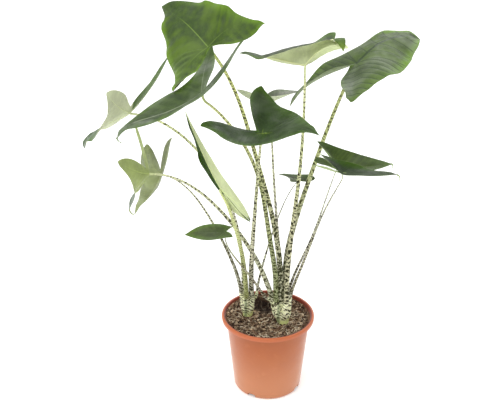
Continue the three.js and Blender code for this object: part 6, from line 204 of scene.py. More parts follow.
        -1011,-563,3789,-1133,-527,3770,-1116,-524,3776,-1098,-521,3781,-1081,-517,3787,-1063,-514,3793,-1046,-509,3799,-1029,-504,3804,-1011,-500,3809,-994,-496,3814,-976,-492,3818,-958,-490,3822,-939,-489,3825,-921,-490,3828,-903,-493,3830,-885,-498,3832,-867,-505,3833,-851,-514,3833,-834,-522,3832,-816,-524,3833,-798,-519,3836,-780,-516,3840,-779,-522,3842,-780,-529,3842,-782,-537,3842,-785,-545,3842,-789,-554,3842,-794,-563,3841,-799,-572,3839,-805,-581,3837,-813,-589,3833,
        -822,-597,3829,-831,-603,3824,-820,-615,3826,-811,-626,3828,-804,-638,3829,-799,-651,3830,-795,-662,3830,-792,-674,3830,-789,-684,3830,-787,-694,3830,-787,-704,3830,-786,-712,3830,-789,-720,3829,-807,-712,3825,-825,-703,3820,-844,-696,3816,-864,-693,3810,-884,-694,3805,-904,-693,3800,-924,-689,3795,-943,-683,3791,-962,-674,3787,-979,-664,3783,-996,-652,3780,-1012,-639,3778,-1027,-625,3776,-1042,-611,3774,-1056,-596,3773,-1071,-581,3772,-1086,-567,3771,-1101,-553,3771,
        -1117,-540,3770,-1246,-497,3751,-1221,-494,3759,-1197,-490,3768,-1173,-485,3776,-1149,-480,3785,-1125,-474,3793,-1101,-468,3800,-1076,-461,3808,-1052,-455,3814,-1027,-450,3819,-1002,-447,3824,-976,-446,3828,-951,-447,3832,-925,-451,3835,-901,-458,3838,-877,-468,3840,-854,-480,3840,-831,-492,3840,-805,-495,3840,-780,-488,3844,-755,-483,3845,-753,-491,3848,-755,-501,3849,-758,-512,3850,-762,-523,3850,-767,-535,3850,-774,-548,3848,-782,-560,3847,-791,-573,3844,-802,-585,3840,
        -814,-595,3833,-826,-604,3826,-810,-620,3829,-798,-637,3831,-789,-654,3833,-782,-670,3834,-776,-687,3834,-772,-702,3835,-768,-717,3835,-766,-731,3835,-765,-744,3835,-764,-756,3835,-768,-766,3835,-794,-756,3829,-819,-743,3822,-845,-733,3816,-872,-729,3809,-900,-730,3802,-928,-728,3795,-956,-724,3788,-983,-715,3782,-1008,-703,3776,-1033,-689,3771,-1056,-672,3766,-1078,-654,3763,-1099,-634,3760,-1119,-614,3757,-1139,-594,3755,-1159,-573,3754,-1180,-553,3753,-1201,-534,3752,
        -1223,-515,3751,-1357,-466,3729,-1326,-462,3741,-1295,-459,3753,-1265,-452,3765,-1234,-446,3777,-1203,-439,3787,-1173,-431,3797,-1142,-422,3806,-1110,-415,3814,-1078,-408,3821,-1046,-404,3826,-1013,-403,3830,-980,-404,3834,-948,-409,3838,-916,-417,3842,-885,-430,3845,-857,-447,3848,-827,-462,3847,-794,-466,3846,-762,-457,3844,-730,-450,3846,-727,-461,3849,-729,-473,3852,-733,-487,3854,-739,-502,3855,-745,-517,3855,-754,-532,3855,-764,-549,3854,-776,-565,3851,-790,-580,3846,
        -806,-594,3838,-822,-606,3828,-801,-626,3832,-786,-647,3835,-774,-669,3837,-765,-690,3838,-757,-711,3839,-752,-731,3839,-747,-750,3840,-745,-768,3840,-743,-785,3841,-743,-800,3841,-747,-813,3841,-780,-800,3834,-812,-783,3826,-845,-770,3817,-881,-765,3808,-917,-767,3799,-953,-764,3791,-988,-758,3783,-1022,-747,3774,-1055,-732,3767,-1086,-713,3760,-1116,-692,3753,-1144,-669,3748,-1171,-644,3744,-1196,-618,3740,-1222,-591,3737,-1248,-565,3735,-1274,-539,3733,-1300,-514,3732,
        -1329,-490,3730,-1457,-435,3702,-1423,-432,3722,-1386,-428,3738,-1350,-422,3755,-1313,-414,3769,-1277,-406,3784,-1240,-396,3796,-1202,-386,3806,-1165,-377,3815,-1126,-369,3821,-1087,-364,3827,-1047,-362,3831,-1007,-363,3835,-968,-369,3839,-930,-379,3843,-893,-395,3848,-858,-415,3851,-823,-434,3852,-784,-438,3846,-746,-427,3844,-707,-420,3840,-703,-432,3846,-705,-448,3850,-709,-464,3854,-716,-481,3856,-725,-500,3860,-735,-519,3860,-748,-538,3860,-762,-557,3857,-780,-576,3852,
        -799,-592,3842,-817,-607,3829,-793,-632,3835,-774,-657,3838,-760,-683,3840,-749,-709,3841,-740,-734,3843,-733,-758,3844,-728,-781,3845,-725,-802,3846,-723,-822,3847,-723,-840,3849,-728,-856,3849,-768,-841,3841,-806,-821,3830,-846,-805,3819,-889,-799,3807,-932,-801,3798,-975,-798,3788,-1018,-791,3778,-1059,-777,3768,-1098,-759,3759,-1136,-736,3750,-1172,-711,3742,-1205,-683,3735,-1237,-652,3728,-1268,-621,3722,-1298,-588,3717,-1328,-556,3713,-1359,-525,3709,-1391,-494,3707,
        -1424,-464,3704,-1547,-403,3671,-1507,-400,3695,-1468,-397,3720,-1427,-391,3741,-1386,-384,3763,-1344,-375,3780,-1302,-365,3795,-1258,-353,3807,-1214,-342,3816,-1169,-333,3823,-1124,-327,3827,-1078,-324,3832,-1032,-326,3835,-986,-332,3839,-941,-344,3842,-899,-362,3848,-860,-386,3853,-819,-408,3852,-775,-413,3845,-732,-401,3834,-687,-393,3829,-682,-407,3836,-683,-424,3845,-688,-443,3850,-695,-463,3856,-705,-484,3860,-718,-506,3864,-732,-528,3865,-750,-550,3864,-770,-572,3857,
        -792,-591,3845,-813,-608,3831,-785,-637,3837,-763,-666,3841,-747,-696,3843,-734,-726,3845,-724,-755,3847,-716,-783,3848,-711,-809,3850,-707,-834,3852,-705,-856,3855,-704,-878,3857,-710,-895,3861,-757,-878,3848,-801,-855,3836,-847,-837,3821,-896,-830,3808,-946,-832,3797,-996,-829,3787,-1046,-820,3775,-1093,-804,3763,-1139,-783,3752,-1182,-757,3742,-1223,-728,3733,-1262,-696,3723,-1298,-660,3714,-1334,-624,3705,-1368,-586,3698,-1402,-549,3691,-1438,-512,3686,-1474,-475,3681,
        -1512,-441,3678,-1623,-370,3635,-1583,-369,3669,-1540,-367,3698,-1497,-362,3728,-1452,-355,3753,-1406,-347,3778,-1358,-336,3795,-1310,-323,3809,-1260,-310,3819,-1209,-299,3823,-1158,-293,3828,-1106,-290,3832,-1054,-291,3835,-1002,-298,3838,-952,-312,3842,-905,-332,3846,-861,-359,3852,-816,-383,3850,-767,-391,3837,-719,-378,3824,-671,-370,3815,-663,-384,3826,-664,-403,3835,-668,-424,3845,-676,-446,3852,-687,-470,3860,-701,-494,3865,-718,-519,3869,-738,-544,3868,-761,-568,3862,
        -786,-590,3849,-810,-609,3833,-778,-641,3840,-754,-674,3843,-735,-708,3846,-720,-741,3848,-709,-774,3850,-701,-805,3853,-694,-835,3856,-690,-862,3859,-688,-888,3862,-687,-910,3869,-694,-930,3873,-746,-911,3859,-797,-886,3841,-848,-866,3824,-903,-858,3808,-960,-861,3797,-1016,-857,3786,-1071,-847,3773,-1125,-829,3759,-1176,-806,3746,-1225,-777,3736,-1271,-744,3724,-1314,-707,3713,-1355,-668,3702,-1394,-626,3691,-1431,-584,3678,-1470,-541,3669,-1508,-498,3659,-1547,-456,3653,
        -1585,-413,3643,
    ],
    "top_right": [
        1557,0,6907,1679,110,6996,1674,96,6991,1670,81,6987,1666,67,6983,1661,52,6979,1657,37,6975,1653,22,6971,1649,7,6967,1644,-7,6963,1638,-21,6958,1632,-35,6953,1625,-48,6948,1616,-59,6941,1607,-70,6934,1596,-79,6927,1586,-88,6919,1576,-98,6912,1565,-107,6905,1555,-116,6897,1544,-125,6891,1532,-133,6884,1528,-126,6884,1526,-117,6884,1525,-108,6885,1525,-98,6886,1525,-87,6888,1525,-75,6890,1526,-62,6892,1529,-49,6894,1532,-36,6897,
        1537,-22,6900,1544,-9,6904,1526,-12,6900,1510,-13,6896,1496,-12,6891,1482,-10,6886,1470,-7,6880,1459,-4,6874,1448,-1,6869,1439,3,6863,1431,7,6857,1424,11,6852,1420,17,6847,1432,27,6850,1445,36,6854,1457,45,6859,1469,53,6865,1481,61,6872,1493,70,6880,1504,78,6888,1515,86,6897,1527,91,6907,1539,95,6916,1552,98,6926,1565,100,6935,1579,101,6943,1593,102,6952,1607,103,6960,1621,104,6967,1635,105,6975,1650,106,6982,
        1664,108,6989,1828,243,7100,1817,211,7089,1808,179,7080,1799,146,7071,1789,114,7062,1780,81,7054,1770,48,7046,1760,16,7038,1750,-16,7028,1737,-47,7018,1723,-77,7007,1707,-105,6995,1688,-131,6981,1667,-154,6966,1643,-173,6949,1621,-194,6933,1599,-215,6916,1576,-235,6900,1553,-256,6885,1529,-276,6870,1503,-292,6855,1494,-277,6854,1490,-258,6856,1488,-238,6857,1487,-215,6860,1487,-191,6863,1488,-165,6867,1491,-138,6872,1496,-109,6877,1503,-79,6884,
        1515,-50,6892,1528,-21,6900,1490,-27,6893,1455,-28,6884,1422,-26,6874,1392,-21,6862,1365,-15,6849,1341,-9,6836,1318,-1,6823,1298,7,6810,1280,16,6798,1265,25,6786,1257,38,6775,1282,60,6781,1310,79,6790,1338,98,6802,1364,117,6815,1390,135,6831,1415,153,6848,1439,172,6867,1464,188,6886,1490,201,6906,1518,209,6927,1547,215,6947,1576,219,6967,1606,222,6986,1637,224,7005,1668,226,7022,1699,228,7039,1731,231,7055,1763,234,7070,
        1796,238,7085,2017,400,7190,2000,348,7175,1984,295,7159,1969,241,7145,1952,188,7132,1936,134,7120,1920,80,7108,1903,27,7096,1884,-25,7083,1863,-76,7067,1839,-125,7052,1811,-172,7034,1778,-214,7015,1742,-252,6993,1701,-283,6969,1664,-318,6945,1626,-352,6919,1589,-385,6893,1551,-419,6868,1511,-452,6844,1468,-478,6820,1453,-454,6819,1447,-422,6821,1443,-388,6824,1441,-352,6828,1442,-312,6834,1445,-270,6840,1450,-225,6847,1458,-178,6856,1470,-130,6867,
        1488,-81,6881,1509,-34,6895,1446,-42,6888,1388,-45,6874,1336,-41,6855,1287,-34,6834,1244,-25,6811,1203,-14,6789,1167,-2,6767,1134,11,6746,1106,25,6725,1081,40,6705,1067,61,6687,1110,97,6696,1155,129,6712,1200,160,6730,1244,191,6753,1286,221,6777,1327,250,6806,1366,281,6835,1407,308,6865,1452,329,6897,1498,344,6928,1546,354,6959,1596,361,6989,1646,366,7020,1697,369,7048,1749,372,7077,1801,376,7102,1854,381,7128,1908,386,7151,
        1962,392,7174,2224,558,7232,2198,485,7217,2174,412,7196,2150,339,7175,2126,265,7158,2102,192,7143,2079,118,7128,2055,43,7116,2028,-29,7099,1998,-101,7084,1964,-169,7065,1924,-234,7046,1876,-293,7025,1823,-348,7004,1765,-392,6977,1711,-441,6947,1657,-488,6914,1604,-535,6880,1550,-581,6848,1495,-627,6815,1433,-662,6785,1412,-629,6785,1403,-586,6788,1396,-539,6792,1394,-488,6798,1395,-433,6805,1399,-374,6813,1407,-312,6823,1418,-248,6835,1437,-181,6850,
        1463,-113,6869,1490,-47,6892,1402,-58,6883,1322,-61,6862,1249,-57,6835,1184,-48,6801,1123,-35,6769,1069,-21,6736,1019,-5,6705,975,13,6672,935,32,6643,903,52,6613,884,81,6586,942,133,6602,1004,177,6626,1065,221,6653,1126,264,6683,1183,306,6720,1241,347,6759,1296,390,6798,1354,429,6838,1418,458,6878,1485,479,6918,1554,494,6956,1624,503,6996,1696,510,7032,1768,515,7070,1842,519,7103,1916,524,7137,1992,530,7165,2068,537,7194,
        2146,546,7213,2434,719,7229,2398,626,7211,2364,534,7190,2331,442,7164,2296,352,7139,2265,259,7120,2235,165,7104,2205,70,7090,2173,-25,7083,2134,-116,7066,2090,-205,7049,2040,-289,7027,1979,-367,7011,1911,-438,6992,1833,-499,6972,1762,-562,6940,1691,-623,6903,1621,-684,6866,1551,-743,6826,1480,-802,6787,1401,-848,6749,1374,-805,6751,1360,-750,6757,1351,-690,6762,1345,-624,6769,1347,-554,6778,1353,-479,6788,1363,-400,6800,1379,-317,6815,1404,-231,6833,
        1438,-145,6858,1472,-60,6888,1357,-73,6879,1256,-77,6852,1165,-74,6810,1081,-63,6767,1006,-48,6720,937,-30,6676,876,-11,6630,820,11,6588,773,35,6545,732,60,6506,713,96,6469,776,167,6502,855,224,6534,932,281,6572,1008,337,6614,1080,391,6662,1152,444,6714,1223,499,6764,1301,549,6810,1385,587,6857,1474,614,6903,1563,633,6951,1655,645,6998,1746,654,7045,1838,660,7092,1932,666,7135,2030,673,7169,2127,681,7203,2230,691,7219,
        2331,702,7240,2618,874,7198,2582,758,7207,2539,648,7179,2498,539,7149,2455,432,7116,2410,327,7080,2372,215,7059,2338,101,7048,2301,-14,7042,2259,-127,7036,2206,-234,7015,2145,-335,6992,2072,-429,6973,1992,-519,6968,1899,-594,6954,1812,-673,6923,1725,-747,6886,1639,-821,6845,1552,-894,6804,1466,-964,6757,1374,-1019,6707,1344,-970,6724,1327,-904,6731,1312,-831,6739,1304,-752,6747,1300,-666,6756,1308,-576,6768,1321,-481,6780,1341,-381,6797,1374,-278,6817,
        1415,-175,6847,1455,-72,6885,1317,-87,6875,1194,-92,6840,1085,-89,6790,988,-79,6730,898,-61,6672,820,-42,6610,747,-19,6553,686,6,6495,630,35,6443,590,63,6385,569,105,6338,641,191,6384,722,266,6440,812,335,6490,898,404,6548,983,470,6610,1069,533,6675,1155,600,6734,1252,661,6785,1357,706,6834,1465,739,6887,1575,762,6941,1685,776,6999,1793,788,7059,1902,795,7118,2014,802,7170,2131,811,7208,2254,824,7218,2376,836,7233,
        2498,853,7216,2761,1028,7121,2722,895,7137,2695,760,7159,2647,634,7128,2600,509,7089,2547,387,7046,2493,265,7004,2456,131,6993,2419,-2,7002,2370,-133,6998,2311,-258,6978,2240,-374,6947,2156,-484,6929,2066,-590,6933,1960,-681,6933,1860,-773,6900,1757,-861,6863,1653,-948,6831,1551,-1033,6786,1457,-1114,6723,1351,-1176,6664,1316,-1121,6688,1302,-1048,6714,1285,-964,6723,1269,-872,6730,1265,-772,6740,1265,-666,6751,1280,-555,6765,1307,-440,6780,1345,-321,6803,
        1393,-202,6837,1439,-84,6882,1279,-100,6871,1137,-106,6831,1013,-104,6766,902,-92,6696,804,-76,6618,714,-55,6546,635,-29,6472,565,1,6404,515,30,6328,470,62,6259,464,105,6194,509,210,6280,604,298,6345,700,384,6414,800,464,6483,891,541,6566,989,614,6644,1090,693,6710,1207,763,6760,1332,816,6810,1460,853,6867,1587,880,6930,1714,897,6997,1838,910,7070,1957,918,7152,2085,927,7218,2229,939,7224,2372,954,7237,2515,968,7230,
        2657,988,7212,2886,1173,7044,2851,1022,7074,2821,869,7099,2789,716,7116,2740,572,7067,2668,446,7008,2605,311,6958,2563,160,6942,2522,10,6957,2473,-139,6965,2405,-278,6941,2326,-407,6903,2231,-532,6883,2133,-655,6900,2016,-759,6909,1903,-863,6875,1786,-965,6846,1667,-1065,6814,1549,-1160,6768,1443,-1251,6694,1326,-1315,6610,1292,-1261,6655,1277,-1179,6684,1262,-1088,6713,1244,-984,6721,1233,-870,6726,1233,-750,6738,1241,-623,6751,1271,-493,6768,1320,-361,6790,
        1374,-227,6828,1424,-94,6880,1244,-112,6867,1086,-119,6820,947,-117,6746,828,-108,6656,719,-90,6568,620,-66,6482,532,-38,6399,466,-9,6307,411,24,6221,377,55,6132,372,102,6057,407,222,6164,495,328,6259,602,427,6338,711,519,6422,810,607,6521,913,688,6621,1029,778,6694,1166,857,6738,1311,916,6785,1456,958,6846,1600,988,6917,1744,1006,6992,1879,1023,7083,2009,1032,7181,2155,1042,7253,2318,1055,7251,2480,1073,7239,2642,1089,7234,
        2772,1127,7150,
    ],
    "rear_centre": [
        -3,1150,5775,64,1185,5802,60,1178,5800,56,1172,5797,52,1165,5795,47,1158,5794,43,1152,5793,38,1145,5794,33,1139,5794,27,1133,5796,21,1127,5798,15,1122,5800,8,1118,5803,1,1114,5805,-6,1110,5808,-14,1107,5810,-21,1104,5812,-29,1102,5814,-37,1100,5815,-45,1099,5816,-53,1097,5817,-61,1097,5817,-62,1101,5814,-60,1105,5810,-57,1109,5807,-54,1114,5803,-50,1119,5799,-46,1124,5795,-41,1129,5791,-35,1134,5787,-29,1139,5783,
        -21,1144,5780,-9,1149,5776,-9,1151,5775,-12,1152,5775,-15,1154,5775,-17,1156,5775,-19,1158,5776,-20,1160,5776,-22,1162,5777,-23,1164,5777,-24,1165,5778,-25,1167,5779,-25,1168,5779,-20,1167,5780,-15,1166,5781,-11,1166,5782,-7,1168,5784,-3,1170,5786,0,1173,5788,4,1175,5790,8,1177,5792,12,1179,5793,17,1181,5794,21,1182,5795,26,1183,5796,31,1183,5796,35,1184,5797,40,1184,5798,45,1184,5798,50,1184,5799,55,1184,5800,
        59,1185,5801,144,1227,5836,135,1213,5829,126,1198,5824,117,1183,5820,107,1168,5818,97,1153,5816,87,1138,5817,75,1124,5819,62,1112,5822,49,1099,5826,35,1089,5831,21,1079,5837,5,1070,5842,-11,1062,5848,-27,1055,5852,-44,1049,5857,-61,1044,5860,-79,1040,5863,-97,1037,5865,-114,1034,5867,-132,1033,5867,-132,1042,5860,-128,1051,5853,-122,1061,5845,-115,1071,5837,-107,1081,5828,-98,1092,5819,-87,1103,5810,-75,1115,5801,-60,1126,5793,
        -44,1136,5785,-17,1147,5777,-17,1151,5775,-23,1155,5775,-29,1159,5775,-34,1163,5776,-38,1168,5776,-42,1172,5777,-45,1176,5778,-47,1180,5780,-49,1184,5781,-51,1187,5783,-51,1190,5784,-41,1188,5786,-31,1185,5788,-21,1185,5791,-12,1188,5796,-4,1193,5801,3,1199,5806,12,1204,5810,20,1209,5813,30,1213,5816,39,1217,5819,49,1220,5821,60,1222,5822,70,1223,5823,81,1224,5825,91,1225,5826,102,1225,5827,112,1225,5829,123,1225,5831,
        133,1226,5833,236,1276,5874,221,1253,5865,208,1228,5856,193,1203,5850,177,1179,5846,160,1154,5845,143,1130,5846,124,1108,5849,103,1087,5854,81,1068,5861,58,1050,5868,34,1033,5877,9,1019,5885,-16,1005,5894,-43,994,5902,-70,984,5909,-99,977,5914,-128,970,5919,-157,965,5923,-186,961,5926,-215,960,5926,-215,974,5915,-208,988,5902,-199,1004,5890,-187,1020,5876,-174,1038,5862,-158,1055,5848,-141,1074,5833,-121,1092,5818,-97,1110,5804,
        -70,1127,5791,-27,1146,5778,-26,1153,5775,-36,1158,5775,-46,1165,5775,-53,1172,5776,-60,1179,5777,-66,1186,5779,-71,1192,5781,-76,1199,5783,-79,1205,5785,-82,1211,5788,-82,1215,5791,-65,1212,5795,-49,1207,5798,-32,1205,5803,-19,1211,5812,-6,1219,5820,7,1228,5828,20,1237,5835,34,1245,5840,49,1252,5845,65,1259,5848,82,1264,5851,98,1267,5853,115,1270,5855,133,1271,5857,150,1272,5859,168,1273,5861,185,1274,5864,202,1274,5867,
        219,1275,5870,329,1329,5907,309,1294,5896,289,1260,5886,269,1225,5879,247,1191,5874,224,1156,5873,199,1123,5876,173,1092,5880,143,1063,5887,113,1036,5896,81,1011,5906,48,987,5917,13,968,5928,-22,948,5940,-59,932,5950,-97,919,5959,-137,909,5967,-177,900,5974,-217,893,5981,-258,888,5985,-298,887,5986,-298,907,5970,-288,927,5953,-275,948,5935,-259,971,5916,-241,995,5896,-219,1019,5876,-195,1044,5856,-167,1070,5835,-134,1095,5815,
        -96,1119,5798,-36,1144,5779,-35,1154,5775,-50,1161,5774,-62,1170,5775,-73,1180,5776,-83,1190,5777,-91,1199,5780,-98,1209,5783,-104,1217,5786,-109,1226,5789,-113,1234,5794,-112,1240,5798,-90,1235,5804,-67,1228,5809,-44,1225,5817,-25,1232,5830,-8,1244,5841,10,1256,5852,28,1269,5860,48,1281,5868,68,1292,5873,90,1301,5878,113,1309,5881,136,1315,5883,160,1319,5885,184,1321,5887,208,1323,5888,233,1324,5891,257,1325,5894,281,1325,5898,
        305,1327,5902,422,1384,5930,396,1340,5918,372,1293,5910,346,1248,5903,318,1203,5900,287,1160,5900,256,1117,5905,221,1077,5912,184,1039,5920,145,1004,5930,104,971,5942,63,940,5954,17,914,5967,-28,889,5981,-75,868,5995,-125,852,6007,-176,839,6018,-227,830,6029,-279,822,6037,-331,816,6046,-383,817,6048,-383,841,6027,-369,867,6004,-353,894,5981,-332,923,5956,-308,953,5931,-280,983,5905,-249,1016,5879,-213,1048,5852,-171,1080,5827,
        -122,1110,5804,-45,1142,5780,-44,1154,5775,-63,1164,5774,-79,1175,5774,-93,1188,5775,-105,1200,5778,-116,1213,5781,-125,1225,5785,-133,1236,5789,-139,1247,5794,-143,1257,5800,-143,1265,5807,-114,1258,5815,-85,1248,5821,-57,1243,5833,-32,1252,5849,-10,1266,5864,12,1284,5877,36,1301,5887,61,1318,5895,87,1332,5901,115,1345,5905,144,1356,5908,174,1364,5909,205,1369,5911,236,1373,5911,267,1376,5913,298,1377,5915,329,1379,5918,360,1379,5922,
        391,1382,5927,507,1440,5932,478,1382,5937,449,1326,5928,417,1270,5925,383,1217,5924,346,1163,5927,308,1112,5934,266,1064,5942,221,1018,5951,174,974,5962,126,933,5973,76,894,5987,21,861,5999,-33,830,6016,-91,806,6032,-151,786,6047,-212,773,6063,-275,763,6077,-337,756,6091,-400,751,6102,-463,754,6106,-462,783,6081,-446,814,6054,-425,846,6025,-400,880,5995,-370,914,5964,-337,951,5933,-299,989,5900,-256,1028,5868,-205,1066,5837,
        -146,1101,5809,-54,1141,5781,-52,1155,5775,-75,1166,5773,-94,1180,5773,-111,1195,5775,-126,1210,5778,-139,1225,5782,-150,1239,5787,-159,1253,5793,-166,1266,5799,-172,1278,5807,-171,1288,5815,-137,1279,5825,-102,1266,5833,-68,1259,5848,-39,1269,5868,-12,1288,5886,15,1309,5901,43,1331,5912,73,1351,5921,105,1370,5926,138,1387,5930,173,1401,5930,209,1411,5930,246,1419,5928,283,1424,5927,321,1428,5925,358,1430,5926,396,1432,5927,433,1433,5930,
        470,1437,5930,583,1493,5916,550,1427,5923,521,1358,5936,484,1293,5936,443,1230,5945,400,1169,5950,356,1108,5960,307,1052,5969,256,998,5979,202,946,5990,146,897,6001,88,850,6012,25,811,6026,-39,775,6043,-107,746,6061,-176,726,6082,-247,711,6101,-319,702,6122,-392,696,6140,-465,695,6157,-537,700,6163,-536,733,6133,-516,766,6100,-492,803,6067,-463,841,6031,-429,881,5995,-390,922,5958,-346,965,5920,-295,1009,5882,-236,1053,5846,
        -168,1094,5815,-62,1139,5782,-60,1156,5774,-86,1168,5772,-109,1184,5772,-128,1201,5774,-145,1219,5778,-160,1236,5783,-173,1253,5789,-183,1269,5796,-192,1284,5804,-198,1297,5813,-197,1308,5825,-157,1298,5835,-118,1283,5845,-79,1274,5862,-46,1285,5886,-15,1307,5907,16,1333,5923,49,1358,5935,84,1383,5943,121,1405,5949,160,1426,5950,200,1442,5950,242,1456,5946,285,1465,5942,328,1472,5936,371,1476,5933,414,1479,5930,457,1482,5929,500,1483,5927,
        543,1488,5927,648,1544,5892,616,1467,5910,583,1390,5926,546,1315,5946,500,1244,5958,450,1174,5972,400,1106,5983,345,1041,5994,287,979,6005,227,920,6014,164,862,6024,98,808,6035,27,763,6047,-45,723,6065,-121,692,6088,-199,669,6112,-279,655,6138,-360,646,6161,-442,646,6190,-525,646,6211,-610,654,6218,-605,689,6182,-583,726,6145,-554,765,6105,-521,807,6066,-482,850,6024,-438,896,5982,-388,944,5938,-331,993,5895,-265,1041,5855,
        -189,1087,5820,-69,1138,5783,-67,1156,5774,-96,1170,5772,-122,1188,5772,-144,1207,5774,-163,1227,5778,-180,1246,5784,-194,1265,5791,-206,1283,5800,-215,1299,5809,-222,1315,5821,-220,1327,5833,-176,1315,5846,-132,1298,5856,-89,1288,5875,-52,1300,5902,-17,1325,5925,18,1354,5943,55,1384,5955,94,1412,5964,136,1439,5968,180,1462,5969,226,1481,5965,273,1497,5960,321,1508,5951,369,1516,5944,417,1521,5935,466,1525,5930,513,1528,5924,561,1530,5921,
        604,1538,5906,
    ],
    "right_upper": [
        1179,-950,5262,1275,-970,5273,1268,-972,5272,1261,-974,5271,1254,-976,5270,1247,-978,5269,1239,-981,5268,1232,-983,5267,1225,-985,5266,1218,-987,5266,1211,-989,5266,1203,-990,5267,1196,-991,5267,1188,-991,5269,1181,-991,5270,1174,-990,5272,1167,-990,5275,1160,-990,5278,1153,-991,5282,1147,-991,5286,1141,-991,5290,1134,-990,5294,1135,-986,5294,1137,-982,5293,1139,-978,5292,1142,-974,5290,1145,-970,5288,1149,-966,5286,1153,-962,5284,1158,-958,5281,1163,-954,5277,
        1168,-951,5273,1173,-948,5269,1169,-942,5275,1165,-935,5280,1162,-928,5284,1159,-921,5287,1157,-914,5289,1155,-907,5290,1153,-901,5291,1151,-894,5292,1150,-889,5292,1150,-883,5292,1151,-879,5290,1157,-882,5287,1163,-885,5283,1169,-889,5280,1175,-893,5278,1182,-897,5276,1188,-902,5274,1195,-906,5273,1201,-910,5273,1208,-915,5272,1214,-919,5272,1220,-924,5272,1227,-929,5272,1233,-935,5272,1238,-940,5272,1244,-945,5272,1250,-950,5272,1256,-956,5272,1262,-961,5273,
        1269,-965,5273,1390,-995,5287,1375,-998,5284,1359,-1003,5281,1343,-1008,5279,1328,-1013,5277,1312,-1018,5274,1297,-1023,5273,1281,-1028,5272,1265,-1032,5271,1249,-1036,5271,1232,-1038,5272,1216,-1039,5274,1200,-1040,5276,1183,-1040,5280,1168,-1038,5284,1152,-1039,5290,1137,-1039,5297,1122,-1039,5305,1108,-1040,5313,1094,-1040,5322,1081,-1038,5331,1082,-1029,5332,1087,-1021,5330,1092,-1012,5327,1098,-1003,5324,1105,-994,5319,1113,-985,5314,1122,-975,5309,1132,-966,5302,1143,-958,5295,
        1155,-952,5285,1167,-947,5276,1157,-933,5291,1149,-918,5303,1143,-902,5311,1136,-886,5316,1131,-871,5320,1126,-856,5323,1121,-842,5325,1118,-828,5327,1116,-816,5327,1114,-804,5326,1116,-794,5323,1130,-800,5315,1143,-808,5308,1157,-816,5302,1171,-825,5297,1185,-834,5293,1199,-844,5290,1214,-853,5288,1229,-862,5286,1243,-873,5285,1257,-883,5285,1270,-894,5285,1284,-905,5285,1297,-916,5285,1310,-928,5285,1323,-940,5285,1336,-951,5285,1349,-962,5285,1363,-974,5286,
        1376,-984,5286,1525,-1023,5305,1499,-1029,5300,1474,-1036,5295,1448,-1044,5291,1423,-1052,5287,1397,-1060,5284,1372,-1069,5281,1346,-1077,5279,1320,-1084,5278,1293,-1090,5278,1267,-1094,5279,1240,-1096,5282,1213,-1097,5286,1187,-1097,5292,1161,-1094,5299,1135,-1095,5309,1111,-1095,5320,1087,-1095,5333,1063,-1096,5346,1041,-1096,5361,1019,-1093,5376,1021,-1079,5377,1028,-1065,5374,1037,-1050,5369,1047,-1036,5363,1058,-1021,5356,1071,-1006,5348,1086,-991,5338,1102,-976,5327,1120,-963,5315,
        1140,-953,5300,1160,-944,5285,1146,-922,5311,1133,-898,5330,1121,-872,5343,1110,-846,5352,1100,-821,5358,1091,-797,5362,1084,-774,5365,1078,-752,5367,1074,-731,5367,1072,-712,5366,1075,-696,5361,1098,-705,5349,1120,-718,5338,1143,-731,5328,1166,-746,5321,1189,-761,5315,1213,-777,5310,1236,-793,5307,1260,-808,5306,1283,-825,5304,1306,-842,5304,1328,-859,5303,1351,-877,5303,1372,-896,5303,1393,-915,5302,1414,-934,5302,1436,-953,5303,1458,-971,5303,1480,-989,5303,
        1502,-1006,5304,1659,-1052,5327,1623,-1060,5319,1588,-1069,5312,1553,-1080,5305,1517,-1091,5300,1482,-1103,5295,1447,-1115,5291,1411,-1126,5288,1375,-1136,5287,1338,-1144,5286,1301,-1149,5288,1264,-1153,5291,1227,-1153,5297,1190,-1153,5305,1154,-1149,5316,1119,-1150,5329,1085,-1151,5344,1051,-1152,5361,1018,-1152,5380,987,-1152,5400,957,-1147,5421,961,-1128,5424,971,-1109,5420,983,-1089,5413,997,-1068,5405,1013,-1048,5395,1030,-1027,5383,1050,-1006,5369,1072,-986,5354,1097,-968,5335,
        1125,-954,5314,1153,-942,5294,1135,-911,5331,1116,-878,5357,1099,-843,5375,1082,-807,5386,1068,-772,5395,1055,-738,5400,1044,-706,5404,1035,-676,5406,1029,-647,5406,1026,-620,5405,1030,-598,5397,1063,-610,5382,1096,-628,5368,1128,-647,5357,1160,-667,5347,1193,-689,5341,1225,-711,5335,1257,-734,5332,1291,-755,5330,1323,-778,5329,1354,-802,5327,1386,-826,5326,1416,-851,5326,1446,-877,5325,1476,-903,5324,1505,-929,5324,1535,-955,5324,1565,-980,5324,1596,-1005,5325,
        1627,-1029,5325,1792,-1081,5351,1747,-1091,5341,1702,-1102,5330,1657,-1116,5322,1612,-1130,5314,1567,-1145,5308,1522,-1160,5302,1477,-1175,5299,1430,-1188,5297,1383,-1197,5297,1336,-1204,5298,1288,-1208,5303,1241,-1209,5310,1194,-1209,5322,1148,-1204,5335,1104,-1205,5352,1060,-1206,5371,1016,-1207,5391,974,-1208,5414,934,-1208,5440,896,-1201,5467,902,-1177,5471,915,-1152,5467,931,-1127,5459,949,-1101,5449,969,-1075,5435,990,-1048,5419,1015,-1021,5401,1042,-995,5379,1074,-972,5355,
        1110,-955,5328,1146,-940,5304,1124,-901,5351,1101,-858,5385,1076,-813,5407,1054,-768,5421,1033,-723,5430,1016,-680,5438,1002,-639,5441,990,-600,5443,983,-563,5443,978,-529,5441,985,-500,5431,1029,-517,5417,1071,-539,5401,1113,-564,5389,1155,-591,5379,1196,-619,5372,1237,-648,5367,1278,-677,5363,1320,-704,5360,1361,-734,5357,1402,-764,5355,1442,-794,5354,1481,-826,5352,1520,-859,5351,1557,-893,5351,1595,-926,5350,1633,-959,5350,1672,-991,5349,1711,-1022,5349,
